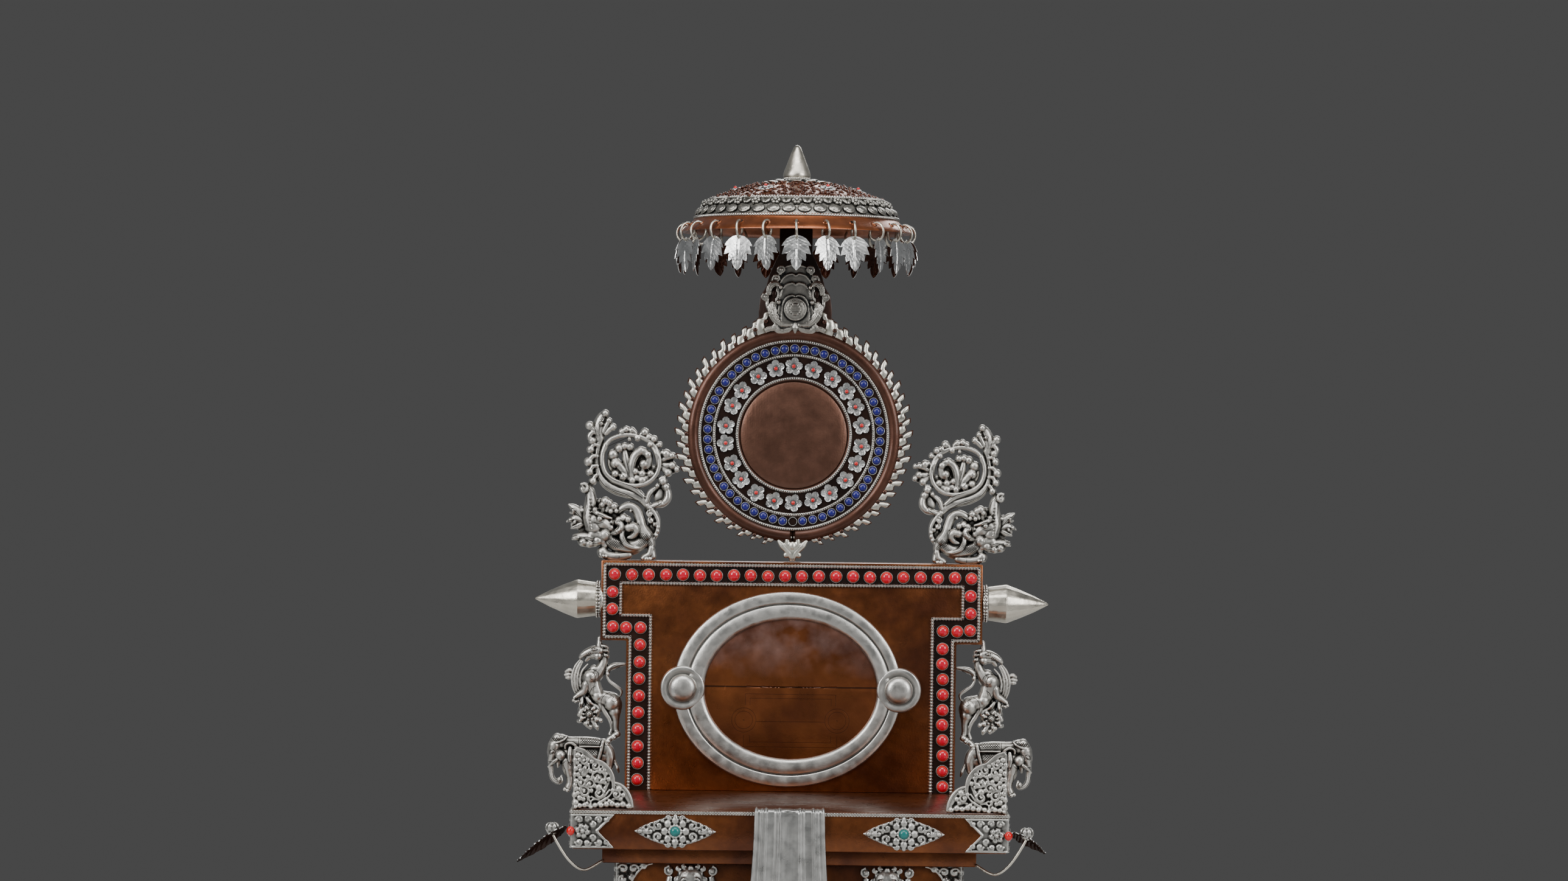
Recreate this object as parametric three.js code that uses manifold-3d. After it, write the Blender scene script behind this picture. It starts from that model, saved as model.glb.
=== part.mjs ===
// A statue throne in the Himalayan manner: a waisted base of copper sheet, a T-shaped back panel
// set with corals, beasts in chased silver at the sides, a flaming halo and a parasol above it.
// Millimetres, +Z up, the front toward -Y. The origin is the middle of the underside.
import * as THREE from "three";
import { mergeVertices } from "three/addons/utils/BufferGeometryUtils.js";
import Module from "manifold-3d";

const wasm = await Module();
wasm.setup();

// Driving dimensions
const TRAY = { halfWidth: 135, halfDepth: 95, bottom: 95.4, top: 120 };
const PLINTH_TOP = 26;
const STEP = { halfWidth: 117, halfDepth: 77, height: 10 };
const WAIST = { halfWidth: 107.5, halfDepth: 67.5 };
const PANEL = { front: 70, back: 90, stem: 108.5, shoulder: 125.5, underside: 218, top: 270.8 };
const INNER = { top: 254.4, shoulder: 110.8, step: 233.2, stem: 91 };
const BORDER = { inset: 1.5, rib: 2.6, ribHeight: 1.6, channel: 0.8 };
const CORAL = { radius: 3.7, height: 2.6 };
const OVAL = { centre: 187.2, outer: [74, 64], inner: [56.5, 46] };
const BOSS = { offset: 71, radius: 14.8 };
const BOLSTER = { height: 244.8, length: 44, collar: 10.4, belly: 13 };
const HALO = { centre: 354.4, rim: 70, flame: 79.6, front: 77, back: 80.5 };
const RINGS = [62, 52.5, 37.4];
const LAPIS = { count: 54, radius: 56.9, size: 2.9 };
const FLOWER = { count: 22, radius: 45, size: 6 };
const PARASOL = { axis: 80, rim: 76.6, rimZ: 487.6, brim: 67, brimZ: 495.5, wall: 1.3 };
const PENDANT = { count: 24, ring: 5.8, wire: 0.85, leafLength: 23, leafWidth: 18.6 };
const TIP_Z = 545.6;
const RELIEF_BACK = 82;
const GAP = 0.3;
const SHEET = 1.2;

const COPPER = { color: 0x5a2d14, roughness: 0.4, metalness: 1 };
const SILVER = { color: 0xbeb9b0, roughness: 0.3, metalness: 1 };

// ---------- solids ----------

// A closed geometry as a solid with its faces out, ready to be joined or cut.
function solid(geometry) {
  const bare = geometry.index ? geometry.toNonIndexed() : geometry.clone();
  bare.deleteAttribute("normal");
  bare.deleteAttribute("uv");
  const merged = mergeVertices(bare, 1e-4);
  const corners = merged.index.array;
  const faces = [];
  for (let i = 0; i < corners.length; i += 3) {
    const [a, b, c] = [corners[i], corners[i + 1], corners[i + 2]];
    if (a !== b && b !== c && c !== a) faces.push([a, b, c]);
  }
  const made = (list) =>
    new wasm.Manifold(
      new wasm.Mesh({
        numProp: 3,
        vertProperties: merged.attributes.position.array,
        triVerts: new Uint32Array(list.flat()),
      }),
    );
  const body = made(faces);
  return body.volume() < 0 ? made(faces.map(([a, b, c]) => [a, c, b])) : body;
}

function join(...pieces) {
  return pieces.flat(Infinity).reduce((whole, piece) => whole.add(piece));
}

function geometryOf(body) {
  const mesh = body.getMesh();
  const geometry = new THREE.BufferGeometry();
  geometry.setAttribute("position", new THREE.BufferAttribute(mesh.vertProperties, 3));
  geometry.setIndex(new THREE.BufferAttribute(mesh.triVerts, 1));
  geometry.computeVertexNormals();
  return geometry;
}

function box([x0, x1], [y0, y1], [z0, z1]) {
  const geometry = new THREE.BoxGeometry(x1 - x0, y1 - y0, z1 - z0);
  geometry.translate((x0 + x1) / 2, (y0 + y1) / 2, (z0 + z1) / 2);
  return solid(geometry);
}

function shapeOf(points) {
  return new THREE.Shape(points.map(([x, z]) => new THREE.Vector2(x, z)));
}

// An upright plate: a front outline given in X and Z, from its front face to its back face in Y.
function plate(shape, front, back, curveSegments = 6) {
  const outline = Array.isArray(shape) ? shapeOf(shape) : shape;
  const geometry = new THREE.ExtrudeGeometry(outline, {
    depth: back - front,
    bevelEnabled: false,
    curveSegments,
  });
  geometry.rotateX(Math.PI / 2);
  geometry.translate(0, back, 0);
  return geometry;
}

// A turned piece that faces the front: profile points are [radius, y], turned about the Y axis.
function turned(profile, [x, z], segments) {
  const points = profile.map(([r, y]) => new THREE.Vector2(r, y));
  const geometry = new THREE.LatheGeometry(points, segments);
  geometry.translate(x, 0, z);
  return geometry;
}

// A turned piece on the upright axis of the parasol: profile points are [radius, z].
function turnedUpright(profile, segments) {
  const points = profile.map(([r, z]) => new THREE.Vector2(r, z));
  const geometry = new THREE.LatheGeometry(points, segments, Math.PI / segments);
  geometry.rotateX(Math.PI / 2);
  geometry.translate(0, PARASOL.axis, 0);
  return geometry;
}

function valueAlong(values, t) {
  const place = t * (values.length - 1);
  const low = Math.min(Math.floor(place), values.length - 2);
  return THREE.MathUtils.lerp(values[low], values[low + 1], place - low);
}

// A chased form: a ridged bar with a flat back, along a path in X and Z, with its half-widths
// given from end to end. rise is its depth as a ratio of its half-width.
function bar(path, halfWidths, { back = RELIEF_BACK, steps = path.length, rise = 0.9 } = {}) {
  const curve = new THREE.SplineCurve(path.map(([x, z]) => new THREE.Vector2(x, z)));
  const geometry = new THREE.CylinderGeometry(1, 1, 1, 3, steps);
  const place = geometry.attributes.position;
  for (let i = 0; i < place.count; i++) {
    const along = 0.5 - place.getY(i);
    const centre = curve.getPoint(along);
    const ahead = curve.getTangent(along);
    const half = valueAlong(halfWidths, along);
    const side = (place.getX(i) / Math.sin(Math.PI / 3)) * half;
    const depth = ((place.getZ(i) + 0.5) / 1.5) * half * rise;
    place.setXYZ(i, centre.x + ahead.y * side, back - depth, centre.y - ahead.x * side);
  }
  return solid(geometry);
}

// A pointed boss with a flat back.
function knob([x, z], radius, { back = RELIEF_BACK, sides = 6, rise = 0.9 } = {}) {
  const geometry = new THREE.ConeGeometry(radius, radius * rise, sides);
  geometry.rotateX(Math.PI);
  geometry.translate(x, back - (radius * rise) / 2, z);
  return solid(geometry);
}

function knobs(list, options) {
  return list.map(([x, z, radius]) => knob([x, z], radius, options));
}

// Points on an arc about a centre, angles in degrees from outward, turning toward the top.
function arc([x, z], radius, from, to, count) {
  return Array.from({ length: count }, (_, i) => {
    const angle = THREE.MathUtils.degToRad(from + ((to - from) * i) / (count - 1));
    return [x + radius * Math.cos(angle), z + radius * Math.sin(angle)];
  });
}

// Points on a spiral that winds in to its centre.
function spiral([x, z], outer, inner, from, to, count) {
  return Array.from({ length: count }, (_, i) => {
    const t = i / (count - 1);
    const angle = THREE.MathUtils.degToRad(from + (to - from) * t);
    const radius = outer + (inner - outer) * t;
    return [x + radius * Math.cos(angle), z + radius * Math.sin(angle)];
  });
}

// The same piece on the left, made from the one on the right.
function mirrored(geometry) {
  const copy = geometry.clone();
  copy.scale(-1, 1, 1);
  const faces = copy.index.array;
  for (let i = 0; i < faces.length; i += 3) [faces[i], faces[i + 1]] = [faces[i + 1], faces[i]];
  copy.computeVertexNormals();
  return copy;
}

const throne = new THREE.Group();

function add(name, geometry, finish) {
  const mesh = new THREE.Mesh(geometry, new THREE.MeshStandardMaterial(finish));
  mesh.name = name;
  throne.add(mesh);
}

// One piece for each side, the left the mirror image of the right.
function addPair(name, body, finish) {
  const right = geometryOf(body);
  add(`${name}_right`, right, finish);
  add(`${name}_left`, mirrored(right), finish);
}

// ---------- base and seat ----------

function makeBase() {
  const { halfWidth: w, halfDepth: d } = TRAY;
  add("plinth", geometryOf(box([-w, w], [-d, d], [0, PLINTH_TOP])), COPPER);
  add("seat_tray", geometryOf(box([-w, w], [-d, d], [TRAY.bottom, TRAY.top])), COPPER);
  const stepAt = (low) =>
    box([-STEP.halfWidth, STEP.halfWidth], [-STEP.halfDepth, STEP.halfDepth], [low, low + STEP.height]);
  const core = box(
    [-WAIST.halfWidth, WAIST.halfWidth],
    [-WAIST.halfDepth, WAIST.halfDepth],
    [PLINTH_TOP + 1, TRAY.bottom - 1],
  );
  const waist = join(core, stepAt(PLINTH_TOP), stepAt(TRAY.bottom - STEP.height));
  add("waist", geometryOf(waist), COPPER);
}

// The beaded wire round the top edge of the tray.
function makeSeatBeads() {
  const { halfWidth: w, halfDepth: d, top } = TRAY;
  const wire = 1.8;
  const outer = box([-w - wire, w + wire], [-d - wire, d + wire], [top - wire, top]);
  const room = box([-w, w], [-d, d], [top - 2 * wire, top + wire]);
  add("seat_bead_border", geometryOf(outer.subtract(room)), SILVER);
}

// A stone, pointing to the front from the plane y.
function stone([x, z], radius, y, height, sides = 5) {
  const geometry = new THREE.ConeGeometry(radius, height, sides);
  geometry.rotateX(Math.PI);
  geometry.translate(x, y - height / 2, z);
  return solid(geometry);
}

// Swallow-tailed sheets that meet at a front corner of the tray, with a coral on the edge.
function makeCornerMounts() {
  const reach = 26.5;
  const notch = 10.6;
  const [low, high] = [TRAY.bottom + 0.8, TRAY.top - 2.4];
  const middle = (low + high) / 2;
  const tail = (inset) => [
    [SHEET, low + inset],
    [SHEET, high - inset],
    [-reach + inset, high - inset],
    [-reach + notch + inset, middle],
    [-reach + inset, low + inset],
  ];
  const wing = () => join(
    solid(plate(tail(0), -SHEET, 0)),
    solid(plate(tail(2.4), -SHEET * 1.8, -SHEET / 2)),
  );
  const front = wing().translate([TRAY.halfWidth, -TRAY.halfDepth, 0]);
  const side = wing()
    .rotate([0, 0, 90])
    .mirror([0, 1, 0])
    .translate([TRAY.halfWidth, -TRAY.halfDepth, 0]);
  const coral = knob([TRAY.halfWidth, middle], 3.4, { back: -TRAY.halfDepth - SHEET / 2, rise: 1.2 });
  const tray = box([0, TRAY.halfWidth], [-TRAY.halfDepth, 0], [0, TRAY.top + 10]);
  addPair("corner_mount", join(front, side, coral).subtract(tray), SILVER);
}

// Lozenge plaques with a turquoise between scrolls.
function makePlaques() {
  const [x, z] = [71, 107.2];
  const front = -TRAY.halfDepth;
  const lozenge = (halfWidth, halfHeight) => {
    const shape = new THREE.Shape();
    shape.moveTo(x + halfWidth, z);
    shape.quadraticCurveTo(x + halfWidth * 0.55, z + halfHeight * 0.35, x, z + halfHeight);
    shape.quadraticCurveTo(x - halfWidth * 0.55, z + halfHeight * 0.35, x - halfWidth, z);
    shape.quadraticCurveTo(x - halfWidth * 0.55, z - halfHeight * 0.35, x, z - halfHeight);
    shape.quadraticCurveTo(x + halfWidth * 0.55, z - halfHeight * 0.35, x + halfWidth, z);
    return shape;
  };
  const plaque = join(
    solid(plate(lozenge(26, 10.2), front - SHEET, front, 2)),
    solid(plate(lozenge(21, 7.6), front - SHEET * 1.7, front - SHEET / 2, 2)),
    stone([x, z], 4.2, front - SHEET, 3.4, 6),
    knobs([[x - 11, z, 3], [x + 11, z, 3]], { back: front - SHEET, rise: 0.7 }),
  );
  addPair("front_plaque", plaque, SILVER);
}

// The silver drape: a ribbed sheet that lies on the seat, bends over its edge and hangs free.
function makeDrape() {
  const clear = 2.1;
  const foot = 29;
  const ridges = [-0.68, -0.3, 0.3, 0.68];
  const ridgeHalf = 0.045;
  const across = [-1, 1].concat(ridges.flatMap((at) => [at - ridgeHalf, at, at + ridgeHalf]));
  across.sort((a, b) => a - b);
  const front = -TRAY.halfDepth - clear;
  const seat = TRAY.top + GAP;
  // Each row is the sheet's back face in [y, z], its normal and its half-width.
  const rows = [
    [front + 9, seat, 0, 1, 21.7],
    [front + 0.6, seat, -0.3, 1, 21.8],
    [front, seat - 0.6, -1, 0.3, 21.8],
  ];
  rows.push([front, 62, -1, 0, 24.8]);
  rows.push([front, foot, -1, 0, 27]);
  const geometry = new THREE.BoxGeometry(1, 1, 1, across.length - 1, 1, rows.length - 1);
  const place = geometry.attributes.position;
  for (let i = 0; i < place.count; i++) {
    const column = Math.round((place.getX(i) + 0.5) * (across.length - 1));
    const row = rows[Math.round((place.getZ(i) + 0.5) * (rows.length - 1))];
    const raised = ridges.includes(across[column]) ? 1 : 0;
    const lift = place.getY(i) > 0 ? SHEET + raised : 0;
    const [y, z, outY, outZ, half] = row;
    place.setXYZ(i, across[column] * half, y + outY * lift, z + outZ * lift);
  }
  add("front_drape", geometryOf(solid(geometry)), SILVER);
}

// A serrated leaf that springs from each front corner, with a bud and a bent wire.
function makeCornerLeaves() {
  const base = new THREE.Vector2(137.5, 111);
  const tip = new THREE.Vector2(170.5, 86);
  const halfWidth = 8.5;
  const teeth = 4;
  const along = tip.clone().sub(base);
  const across = new THREE.Vector2(-along.y, along.x).normalize();
  const edge = (t, side, tooth) => {
    const width = halfWidth * Math.sin(Math.PI * Math.pow(t, 0.7)) * (tooth ? 1 : 0.72);
    return base.clone().addScaledVector(along, t).addScaledVector(across, side * width).toArray();
  };
  const sideOf = (side) =>
    Array.from({ length: teeth * 2 - 1 }, (_, i) => edge((i + 1) / (teeth * 2), side, i % 2 === 1));
  const outline = [base.toArray(), ...sideOf(1), tip.toArray(), ...sideOf(-1).reverse()];
  const front = -TRAY.halfDepth - SHEET - GAP;
  const leaf = solid(plate(outline, front - 1.6, front - 0.4));
  const bud = knob([145.5, 107.5], 4.5, { back: front - 0.4, rise: 1.1 });
  const wire = new THREE.CatmullRomCurve3([
    new THREE.Vector3(146, front - 1.4, 104),
    new THREE.Vector3(142, front - 1.6, 94),
    new THREE.Vector3(136, -96, 87),
    new THREE.Vector3(127, -90, 84),
    new THREE.Vector3(120, -82, 86),
    new THREE.Vector3(118, -78.6, 90),
  ]);
  const section = shapeOf(arc([0, 0], 0.9, 0, 270, 4));
  const bent = new THREE.ExtrudeGeometry(section, { extrudePath: wire, steps: 6 });
  addPair("corner_leaf", join(leaf, bud, solid(bent)), SILVER);
}

// Crouching lions between the steps, each holding up the tray with its paws.
function makeWaistLions() {
  const x = 61.5;
  const back = -WAIST.halfDepth - GAP;
  const [low, high] = [PLINTH_TOP + STEP.height + GAP, TRAY.bottom - STEP.height - GAP];
  const form = { back, steps: 2 };
  const limbs = [-1, 1].flatMap((side) => [
    bar([[x + side * 7, 58], [x + side * 13, 68], [x + side * 11.5, high]], [4.5, 4, 4], form),
    bar([[x + side * 4, 51], [x + side * 12.5, 47], [x + side * 11, low]], [5.5, 5, 3.6], form),
  ]);
  const lion = join(
    knob([x, 52], 12.5, { back, rise: 0.6 }),
    knob([x, 71], 9.4, { back }),
    limbs,
  );
  const room = box([x - 20, x + 20], [back - 20, back], [low, high]);
  addPair("waist_lion", lion.intersect(room), SILVER);
}

// Brackets on the front corners of the waist, hollowed on their inner side.
function makeWaistCorners() {
  const [low, high] = [PLINTH_TOP + STEP.height, TRAY.bottom - STEP.height];
  const middle = (low + high) / 2;
  const reach = 24;
  const outline = () => {
    const shape = new THREE.Shape();
    shape.moveTo(SHEET, low);
    shape.lineTo(SHEET, high);
    shape.lineTo(-reach, high);
    shape.quadraticCurveTo(-reach * 0.3, high - 3, -reach * 0.32, middle);
    shape.quadraticCurveTo(-reach * 0.3, low + 3, -reach, low);
    shape.lineTo(SHEET, low);
    return shape;
  };
  const wing = () => join(
    solid(plate(outline(), -SHEET, 0, 3)),
    knobs([[-7, high - 7, 4.5], [-7, low + 7, 4.5]], { back: -SHEET / 2, rise: 0.6 }),
  );
  const corner = [WAIST.halfWidth, -WAIST.halfDepth, 0];
  const front = wing().translate(corner);
  const side = wing().rotate([0, 0, 90]).mirror([0, 1, 0]).translate(corner);
  const core = box([0, corner[0]], [corner[1], 0], [0, TRAY.top]);
  addPair("waist_corner", join(front, side).subtract(core), SILVER);
}

// ---------- beasts ----------

// A crest of curls bent round each front corner, standing on the tray.
function makeCrests() {
  const foot = TRAY.top + GAP;
  const thick = 2;
  const outline = () => {
    const shape = new THREE.Shape();
    shape.moveTo(0, foot);
    shape.lineTo(0, 154);
    shape.lineTo(-5, 156.5);
    shape.quadraticCurveTo(-21, 153.5, -25, 139);
    shape.quadraticCurveTo(-35, 135, -38, foot);
    shape.lineTo(0, foot);
    return shape;
  };
  const rimPath = [[-3, 154.5], [-14, 151.5], [-22, 144], [-26, 136.5], [-33, 131], [-36.5, 121.5]];
  const curls = [[-8, 128], [-20, 127.5], [-8, 140], [-18, 138.6]];
  const wing = () => solid(plate(outline(), 0, thick, 3));
  const corner = [TRAY.halfWidth - 2.4, -TRAY.halfDepth + 2.6, 0];
  const rim = bar(rimPath, [1.8, 1.6], { back: thick / 2, steps: 4, rise: 1.6 });
  const relief = knobs(curls.map(([x, z]) => [x, z, 5.6]), { back: thick / 2, rise: 0.6 });
  const front = join(wing(), rim, relief).translate(corner);
  const side = wing().rotate([0, 0, 90]).mirror([0, 1, 0]).translate(corner);
  const above = box([0, 200], [-120, 0], [foot, 200]);
  addPair("corner_crest", join(front, side).intersect(above), SILVER);
}

// Elephants that walk outward beside the panel, with a blanket, a raised forefoot and a curled trunk.
function makeElephants() {
  const body = [
    bar([[113, 139], [120, 145.5], [142, 146]], [6, 10, 9.4], { steps: 2 }),
    bar([[121, 145.6], [135.5, 145.6]], [10.8, 10.8], { steps: 1, rise: 1 }),
    bar([[116.5, 141], [118, 119]], [6.4, 4.8], { steps: 1 }),
    bar([[127, 141], [127, 119]], [5.4, 4.4], { steps: 1 }),
    bar([[140, 142], [145, 128], [151.5, 120.5]], [6.5, 4.2, 3], { steps: 2 }),
    bar([[144, 150], [154.5, 143], [155, 131], [149, 131.5]], [8, 5.6, 2.8, 1.6], { rise: 1.1 }),
    bar([[112.5, 147], [111.2, 130]], [1.6, 1.6], { steps: 1 }),
    knob([141.5, 147], 6.4, { rise: 1.8 }),
  ];
  const room = box(
    [PANEL.stem + GAP, 165],
    [PANEL.front + GAP, RELIEF_BACK],
    [TRAY.top - 0.6, 154.8],
  );
  const seat = box([100, TRAY.halfWidth + GAP], [0, 120], [100, TRAY.top + GAP]);
  addPair("elephant", join(body).intersect(room).subtract(seat), SILVER);
}

// Horned lions that rear above the elephants, each with a strap in its jaws and a rosette.
function makeLeogryphs() {
  const forms = [
    bar([[119, 212], [130, 212.5], [139.5, 206.5]], [4.6, 5.6, 2.2], { steps: 2 }),
    bar([[123.5, 214], [122, 219]], [2.4, 1.6], { steps: 1 }),
    bar([[121.5, 210], [123, 202], [129.5, 193.5], [130, 182]], [5, 6, 8.4, 6], { steps: 3 }),
    bar([[129, 189], [118, 178.6], [116.5, 167]], [6.8, 8, 3.4], { steps: 2 }),
    bar([[116.5, 168], [113.6, 160], [117, 155.6]], [3.4, 2.6, 3], { steps: 2 }),
    bar([[122.5, 174], [118.6, 157]], [4, 2.2], { steps: 1 }),
    bar([[130, 187.5], [142.5, 178.3]], [4.4, 2.4], { steps: 1 }),
    bar([[138.2, 207], [144, 194], [139.5, 180.5]], [2.2, 2.8, 2.2], { steps: 3 }),
    bar([[113.5, 180], [117.5, 188], [120, 196], [112.2, 201.2]], [2, 1.7, 2.2, 1.6], { steps: 3 }),
    bar([[130.5, 182], [132, 171], [132, 160]], [3.4, 7.4, 1.2], { steps: 2 }),
    knob([146.8, 195.9], 3.4),
  ];
  const room = box(
    [PANEL.stem + GAP, 165],
    [PANEL.front, RELIEF_BACK],
    [155.1, PANEL.underside - GAP],
  );
  addPair("leogryph", join(forms).intersect(room), SILVER);
}

// Makaras on the shoulders of the panel: trunk raised outward, tail wound into a great scroll.
function makeMakaras() {
  const scroll = [107.4, 337.6];
  const four = { steps: 4 };
  const neck = [[114.5, 303], [106, 306], [100.6, 300], [97, 288], [92.6, 274.5]];
  const tail = [[95, 306.5], [108, 314], [121, 321.5], ...arc(scroll, 17.4, -14, 262, 7)];
  const forms = [
    bar(tail, [5, 4.6, 4.2, 3.8, 3.4, 3, 2.8, 2.6], { steps: 12 }),
    bar([[105, 320], [111, 330], [108, 343]], [3.6, 3.8, 3], { steps: 3 }),
    bar(spiral([100.4, 335.5], 5.2, 1, 180, -130, 5), [3.4, 2.4], four),
    bar([[127, 321], [129.5, 334], [129, 350], [125.6, 368.1]], [3, 3.4, 3.6, 4.4], { steps: 3 }),
    bar([[96, 310], [90, 317], [84.4, 327], [82, 334], [84.5, 342.5]], [2.6, 3.4, 3.4, 4.2, 4.8], four),
    bar([[83.6, 311.6], [86, 302], [89.5, 285]], [5.6, 4.2, 2], { steps: 2 }),
    bar(neck, [3.2, 3.8, 4.2, 5, 3.2], four),
    bar([[91.5, 273.8], [99.5, 273.4]], [3.2, 2.8], { steps: 1 }),
    bar([[100, 276.4], [124.5, 276.5]], [2.8, 3.8], { steps: 1 }),
    bar([[96, 283], [110, 286], [120.5, 294], [127, 286]], [6, 11, 10, 7.5], { steps: 3 }),
    bar([[127.5, 286], [132, 298], [133, 311], [138.2, 316.4]], [5.4, 5.2, 4, 3], four),
    bar([[116, 284], [128, 281.8], [141.5, 287.8]], [5, 4.6, 1.6], { steps: 2 }),
    bar([[133, 294.5], [147.6, 295]], [4.4, 1.2], { steps: 1 }),
    bar([[133, 297], [145.5, 303.6]], [4, 1.2], { steps: 1 }),
    knobs([[134, 357, 3.8], [133.4, 341, 3.8], [133.4, 328, 3.8]]),
    knobs([[119.6, 359.5, 4], [108.5, 356.6, 3.8], [96.6, 354.2, 4]]),
    knobs([[118, 340.4, 5.4], [116.6, 329.6, 4.2], [120, 306, 4.4]]),
  ];
  const room = box([70, 150], [PANEL.front, RELIEF_BACK], [PANEL.top + GAP, 374]);
  const body = join(forms).intersect(room);
  add("makara_left", mirrored(geometryOf(body)), SILVER);
  // The right one is a little smaller, and stands a little farther out.
  const small = 0.93;
  const inner = 76;
  const outward = 3.4;
  const fitted = body
    .translate([-inner, -RELIEF_BACK, -PANEL.top - GAP])
    .scale(small)
    .translate([inner + outward, RELIEF_BACK, PANEL.top + GAP]);
  add("makara_right", geometryOf(fitted), SILVER);
}

// ---------- back panel ----------

function makeBackPanel() {
  const { stem, shoulder, underside, top } = PANEL;
  const half = [[stem, TRAY.top], [stem, underside], [shoulder, underside], [shoulder, top]];
  const outline = [...half, ...half.map(([x, z]) => [-x, z]).reverse()];
  add("back_panel", plate(outline, PANEL.front, PANEL.back), COPPER);
}

// One row of corals, as places in X and Z.
function row([x0, z0], [x1, z1], count) {
  return Array.from({ length: count }, (_, i) => {
    const t = count > 1 ? i / (count - 1) : 0;
    return [x0 + (x1 - x0) * t, z0 + (z1 - z0) * t];
  });
}

// The dark channel between two beaded wires that follows the panel's edge, with its corals.
function makeCoralBorder() {
  const { inset, rib, ribHeight, channel } = BORDER;
  const foot = TRAY.top;
  const outer = [
    [PANEL.stem - inset, foot],
    [PANEL.stem - inset, PANEL.underside + inset],
    [PANEL.shoulder - inset, PANEL.underside + inset],
    [PANEL.shoulder - inset, PANEL.top - inset],
  ];
  const inner = [
    [INNER.stem + 1, foot],
    [INNER.stem + 1, INNER.step],
    [INNER.shoulder, INNER.step],
    [INNER.shoulder, INNER.top],
  ];
  const whole = (half) => [...half, ...half.map(([x, z]) => [-x, z]).reverse()];
  const cut = (half, front) => solid(plate(whole(half), front - 1, PANEL.front + 1));
  const band = (a, b, front) => solid(plate(whole(a), front, PANEL.front)).subtract(cut(b, front));
  const shifted = (half, by) => half.map(([x, z]) => [x - by, z > foot ? z - by : z - 2]);
  const wider = inner.map(([x, z]) => [x + rib, z > foot ? z + rib : z]);
  const base = band(outer, inner.map(([x, z]) => [x, z > foot ? z : z - 2]), PANEL.front - channel);
  const outerRib = band(outer, shifted(outer, rib), PANEL.front - ribHeight);
  const innerRib = band(wider, shifted(inner, 0), PANEL.front - ribHeight);
  const topZ = (PANEL.top + INNER.top) / 2 - 1;
  const places = [
    ...row([-116.4, topZ], [118, topZ], 22),
    ...[-1, 1].flatMap((side) => row([side * 117.6, 250], [side * 117.6, 227.6], 3)),
    ...[-1, 1].flatMap((side) => row([side * 108.8, 226.4], [side * 98.8, 226.4], 2)),
    ...row([-99.4, 215.2], [-100.4, 126.8], 9),
    ...row([99.4, 215.2], [100.4, 124.6], 10),
  ];
  const bed = PANEL.front - channel / 2;
  const corals = places.map((at) => stone(at, CORAL.radius, bed, CORAL.height, 5));
  add("coral_border", geometryOf(join(base, outerRib, innerRib, corals)), SILVER);
}

// The raised oval moulding with its low-domed field, cut round the two bosses.
function makeOvalFrame() {
  const front = PANEL.front;
  // A radius of 1 is the edge of the field, and 2 the outside of the moulding.
  const profile = [[0, front], [2, front], [1.5, front - 4], [1, front - 1.4], [0, front - 2.6]];
  const geometry = turned(profile, [0, 0], 28);
  const place = geometry.attributes.position;
  for (let i = 0; i < place.count; i++) {
    const reach = Math.hypot(place.getX(i), place.getZ(i));
    if (reach < 1e-6) continue;
    const [field, ring] = [Math.min(reach, 1), Math.max(reach - 1, 0)];
    const a = OVAL.inner[0] * field + (OVAL.outer[0] - OVAL.inner[0]) * ring;
    const b = OVAL.inner[1] * field + (OVAL.outer[1] - OVAL.inner[1]) * ring;
    place.setX(i, (place.getX(i) / reach) * a);
    place.setZ(i, (place.getZ(i) / reach) * b);
  }
  geometry.translate(0, 0, OVAL.centre);
  const clear = BOSS.radius + GAP;
  const drill = [[0, front - 9], [clear, front - 9], [clear, front + 1], [0, front + 1]];
  const room = (side) => solid(turned(drill, [side * BOSS.offset, OVAL.centre], 12));
  const frame = solid(geometry).subtract(room(-1)).subtract(room(1));
  add("oval_frame", geometryOf(frame), SILVER);
}

function makeBosses() {
  const front = PANEL.front - 0.01;
  const r = BOSS.radius;
  const profile = [
    [0, front],
    [r, front],
    [r, front - 2.6],
    [r - 5, front - 3.2],
    [r - 7.6, front - 6.6],
    [0, front - 8],
  ];
  const boss = solid(turned(profile, [BOSS.offset, OVAL.centre], 12));
  addPair("oval_boss", boss, SILVER);
}

// Ribbed bolster ends that stand out from the sides of the shoulders.
function makeBolsters() {
  const { length, collar, belly } = BOLSTER;
  const profile = [
    [0, 0],
    [collar, 0],
    [collar + 0.6, 5],
    [belly, 15],
    [belly * 0.6, 31],
    [0, length],
  ];
  const points = profile.map(([r, along]) => new THREE.Vector2(r, along));
  const geometry = new THREE.LatheGeometry(points, 14);
  geometry.rotateZ(-Math.PI / 2);
  geometry.translate(PANEL.shoulder + GAP, PARASOL.axis, BOLSTER.height);
  addPair("bolster_end", solid(geometry), SILVER);
}

// ---------- halo ----------

// The outline of the flaming rim: every flame leans toward the top and ends in a point.
function flameOutline() {
  const { rim, flame } = HALO;
  const perSide = 25;
  const firstAngle = 15;
  const pitch = 155 / perSide;
  const polar = (angle, radius) => {
    const turn = THREE.MathUtils.degToRad(angle);
    return [radius * Math.sin(turn), radius * Math.cos(turn)];
  };
  const right = [];
  for (let i = 0; i < perSide; i++) {
    const start = firstAngle + i * pitch;
    const shorter = 0.45 * Math.max(0, (i - 17) / 8);
    const length = (flame - rim) * (1 - shorter);
    right.push(polar(start - 0.6, rim + length));
    right.push(polar(start + pitch * 0.7, rim - 0.6));
  }
  return [...right, ...right.map(([x, z]) => [-x, z]).reverse()];
}

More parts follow.
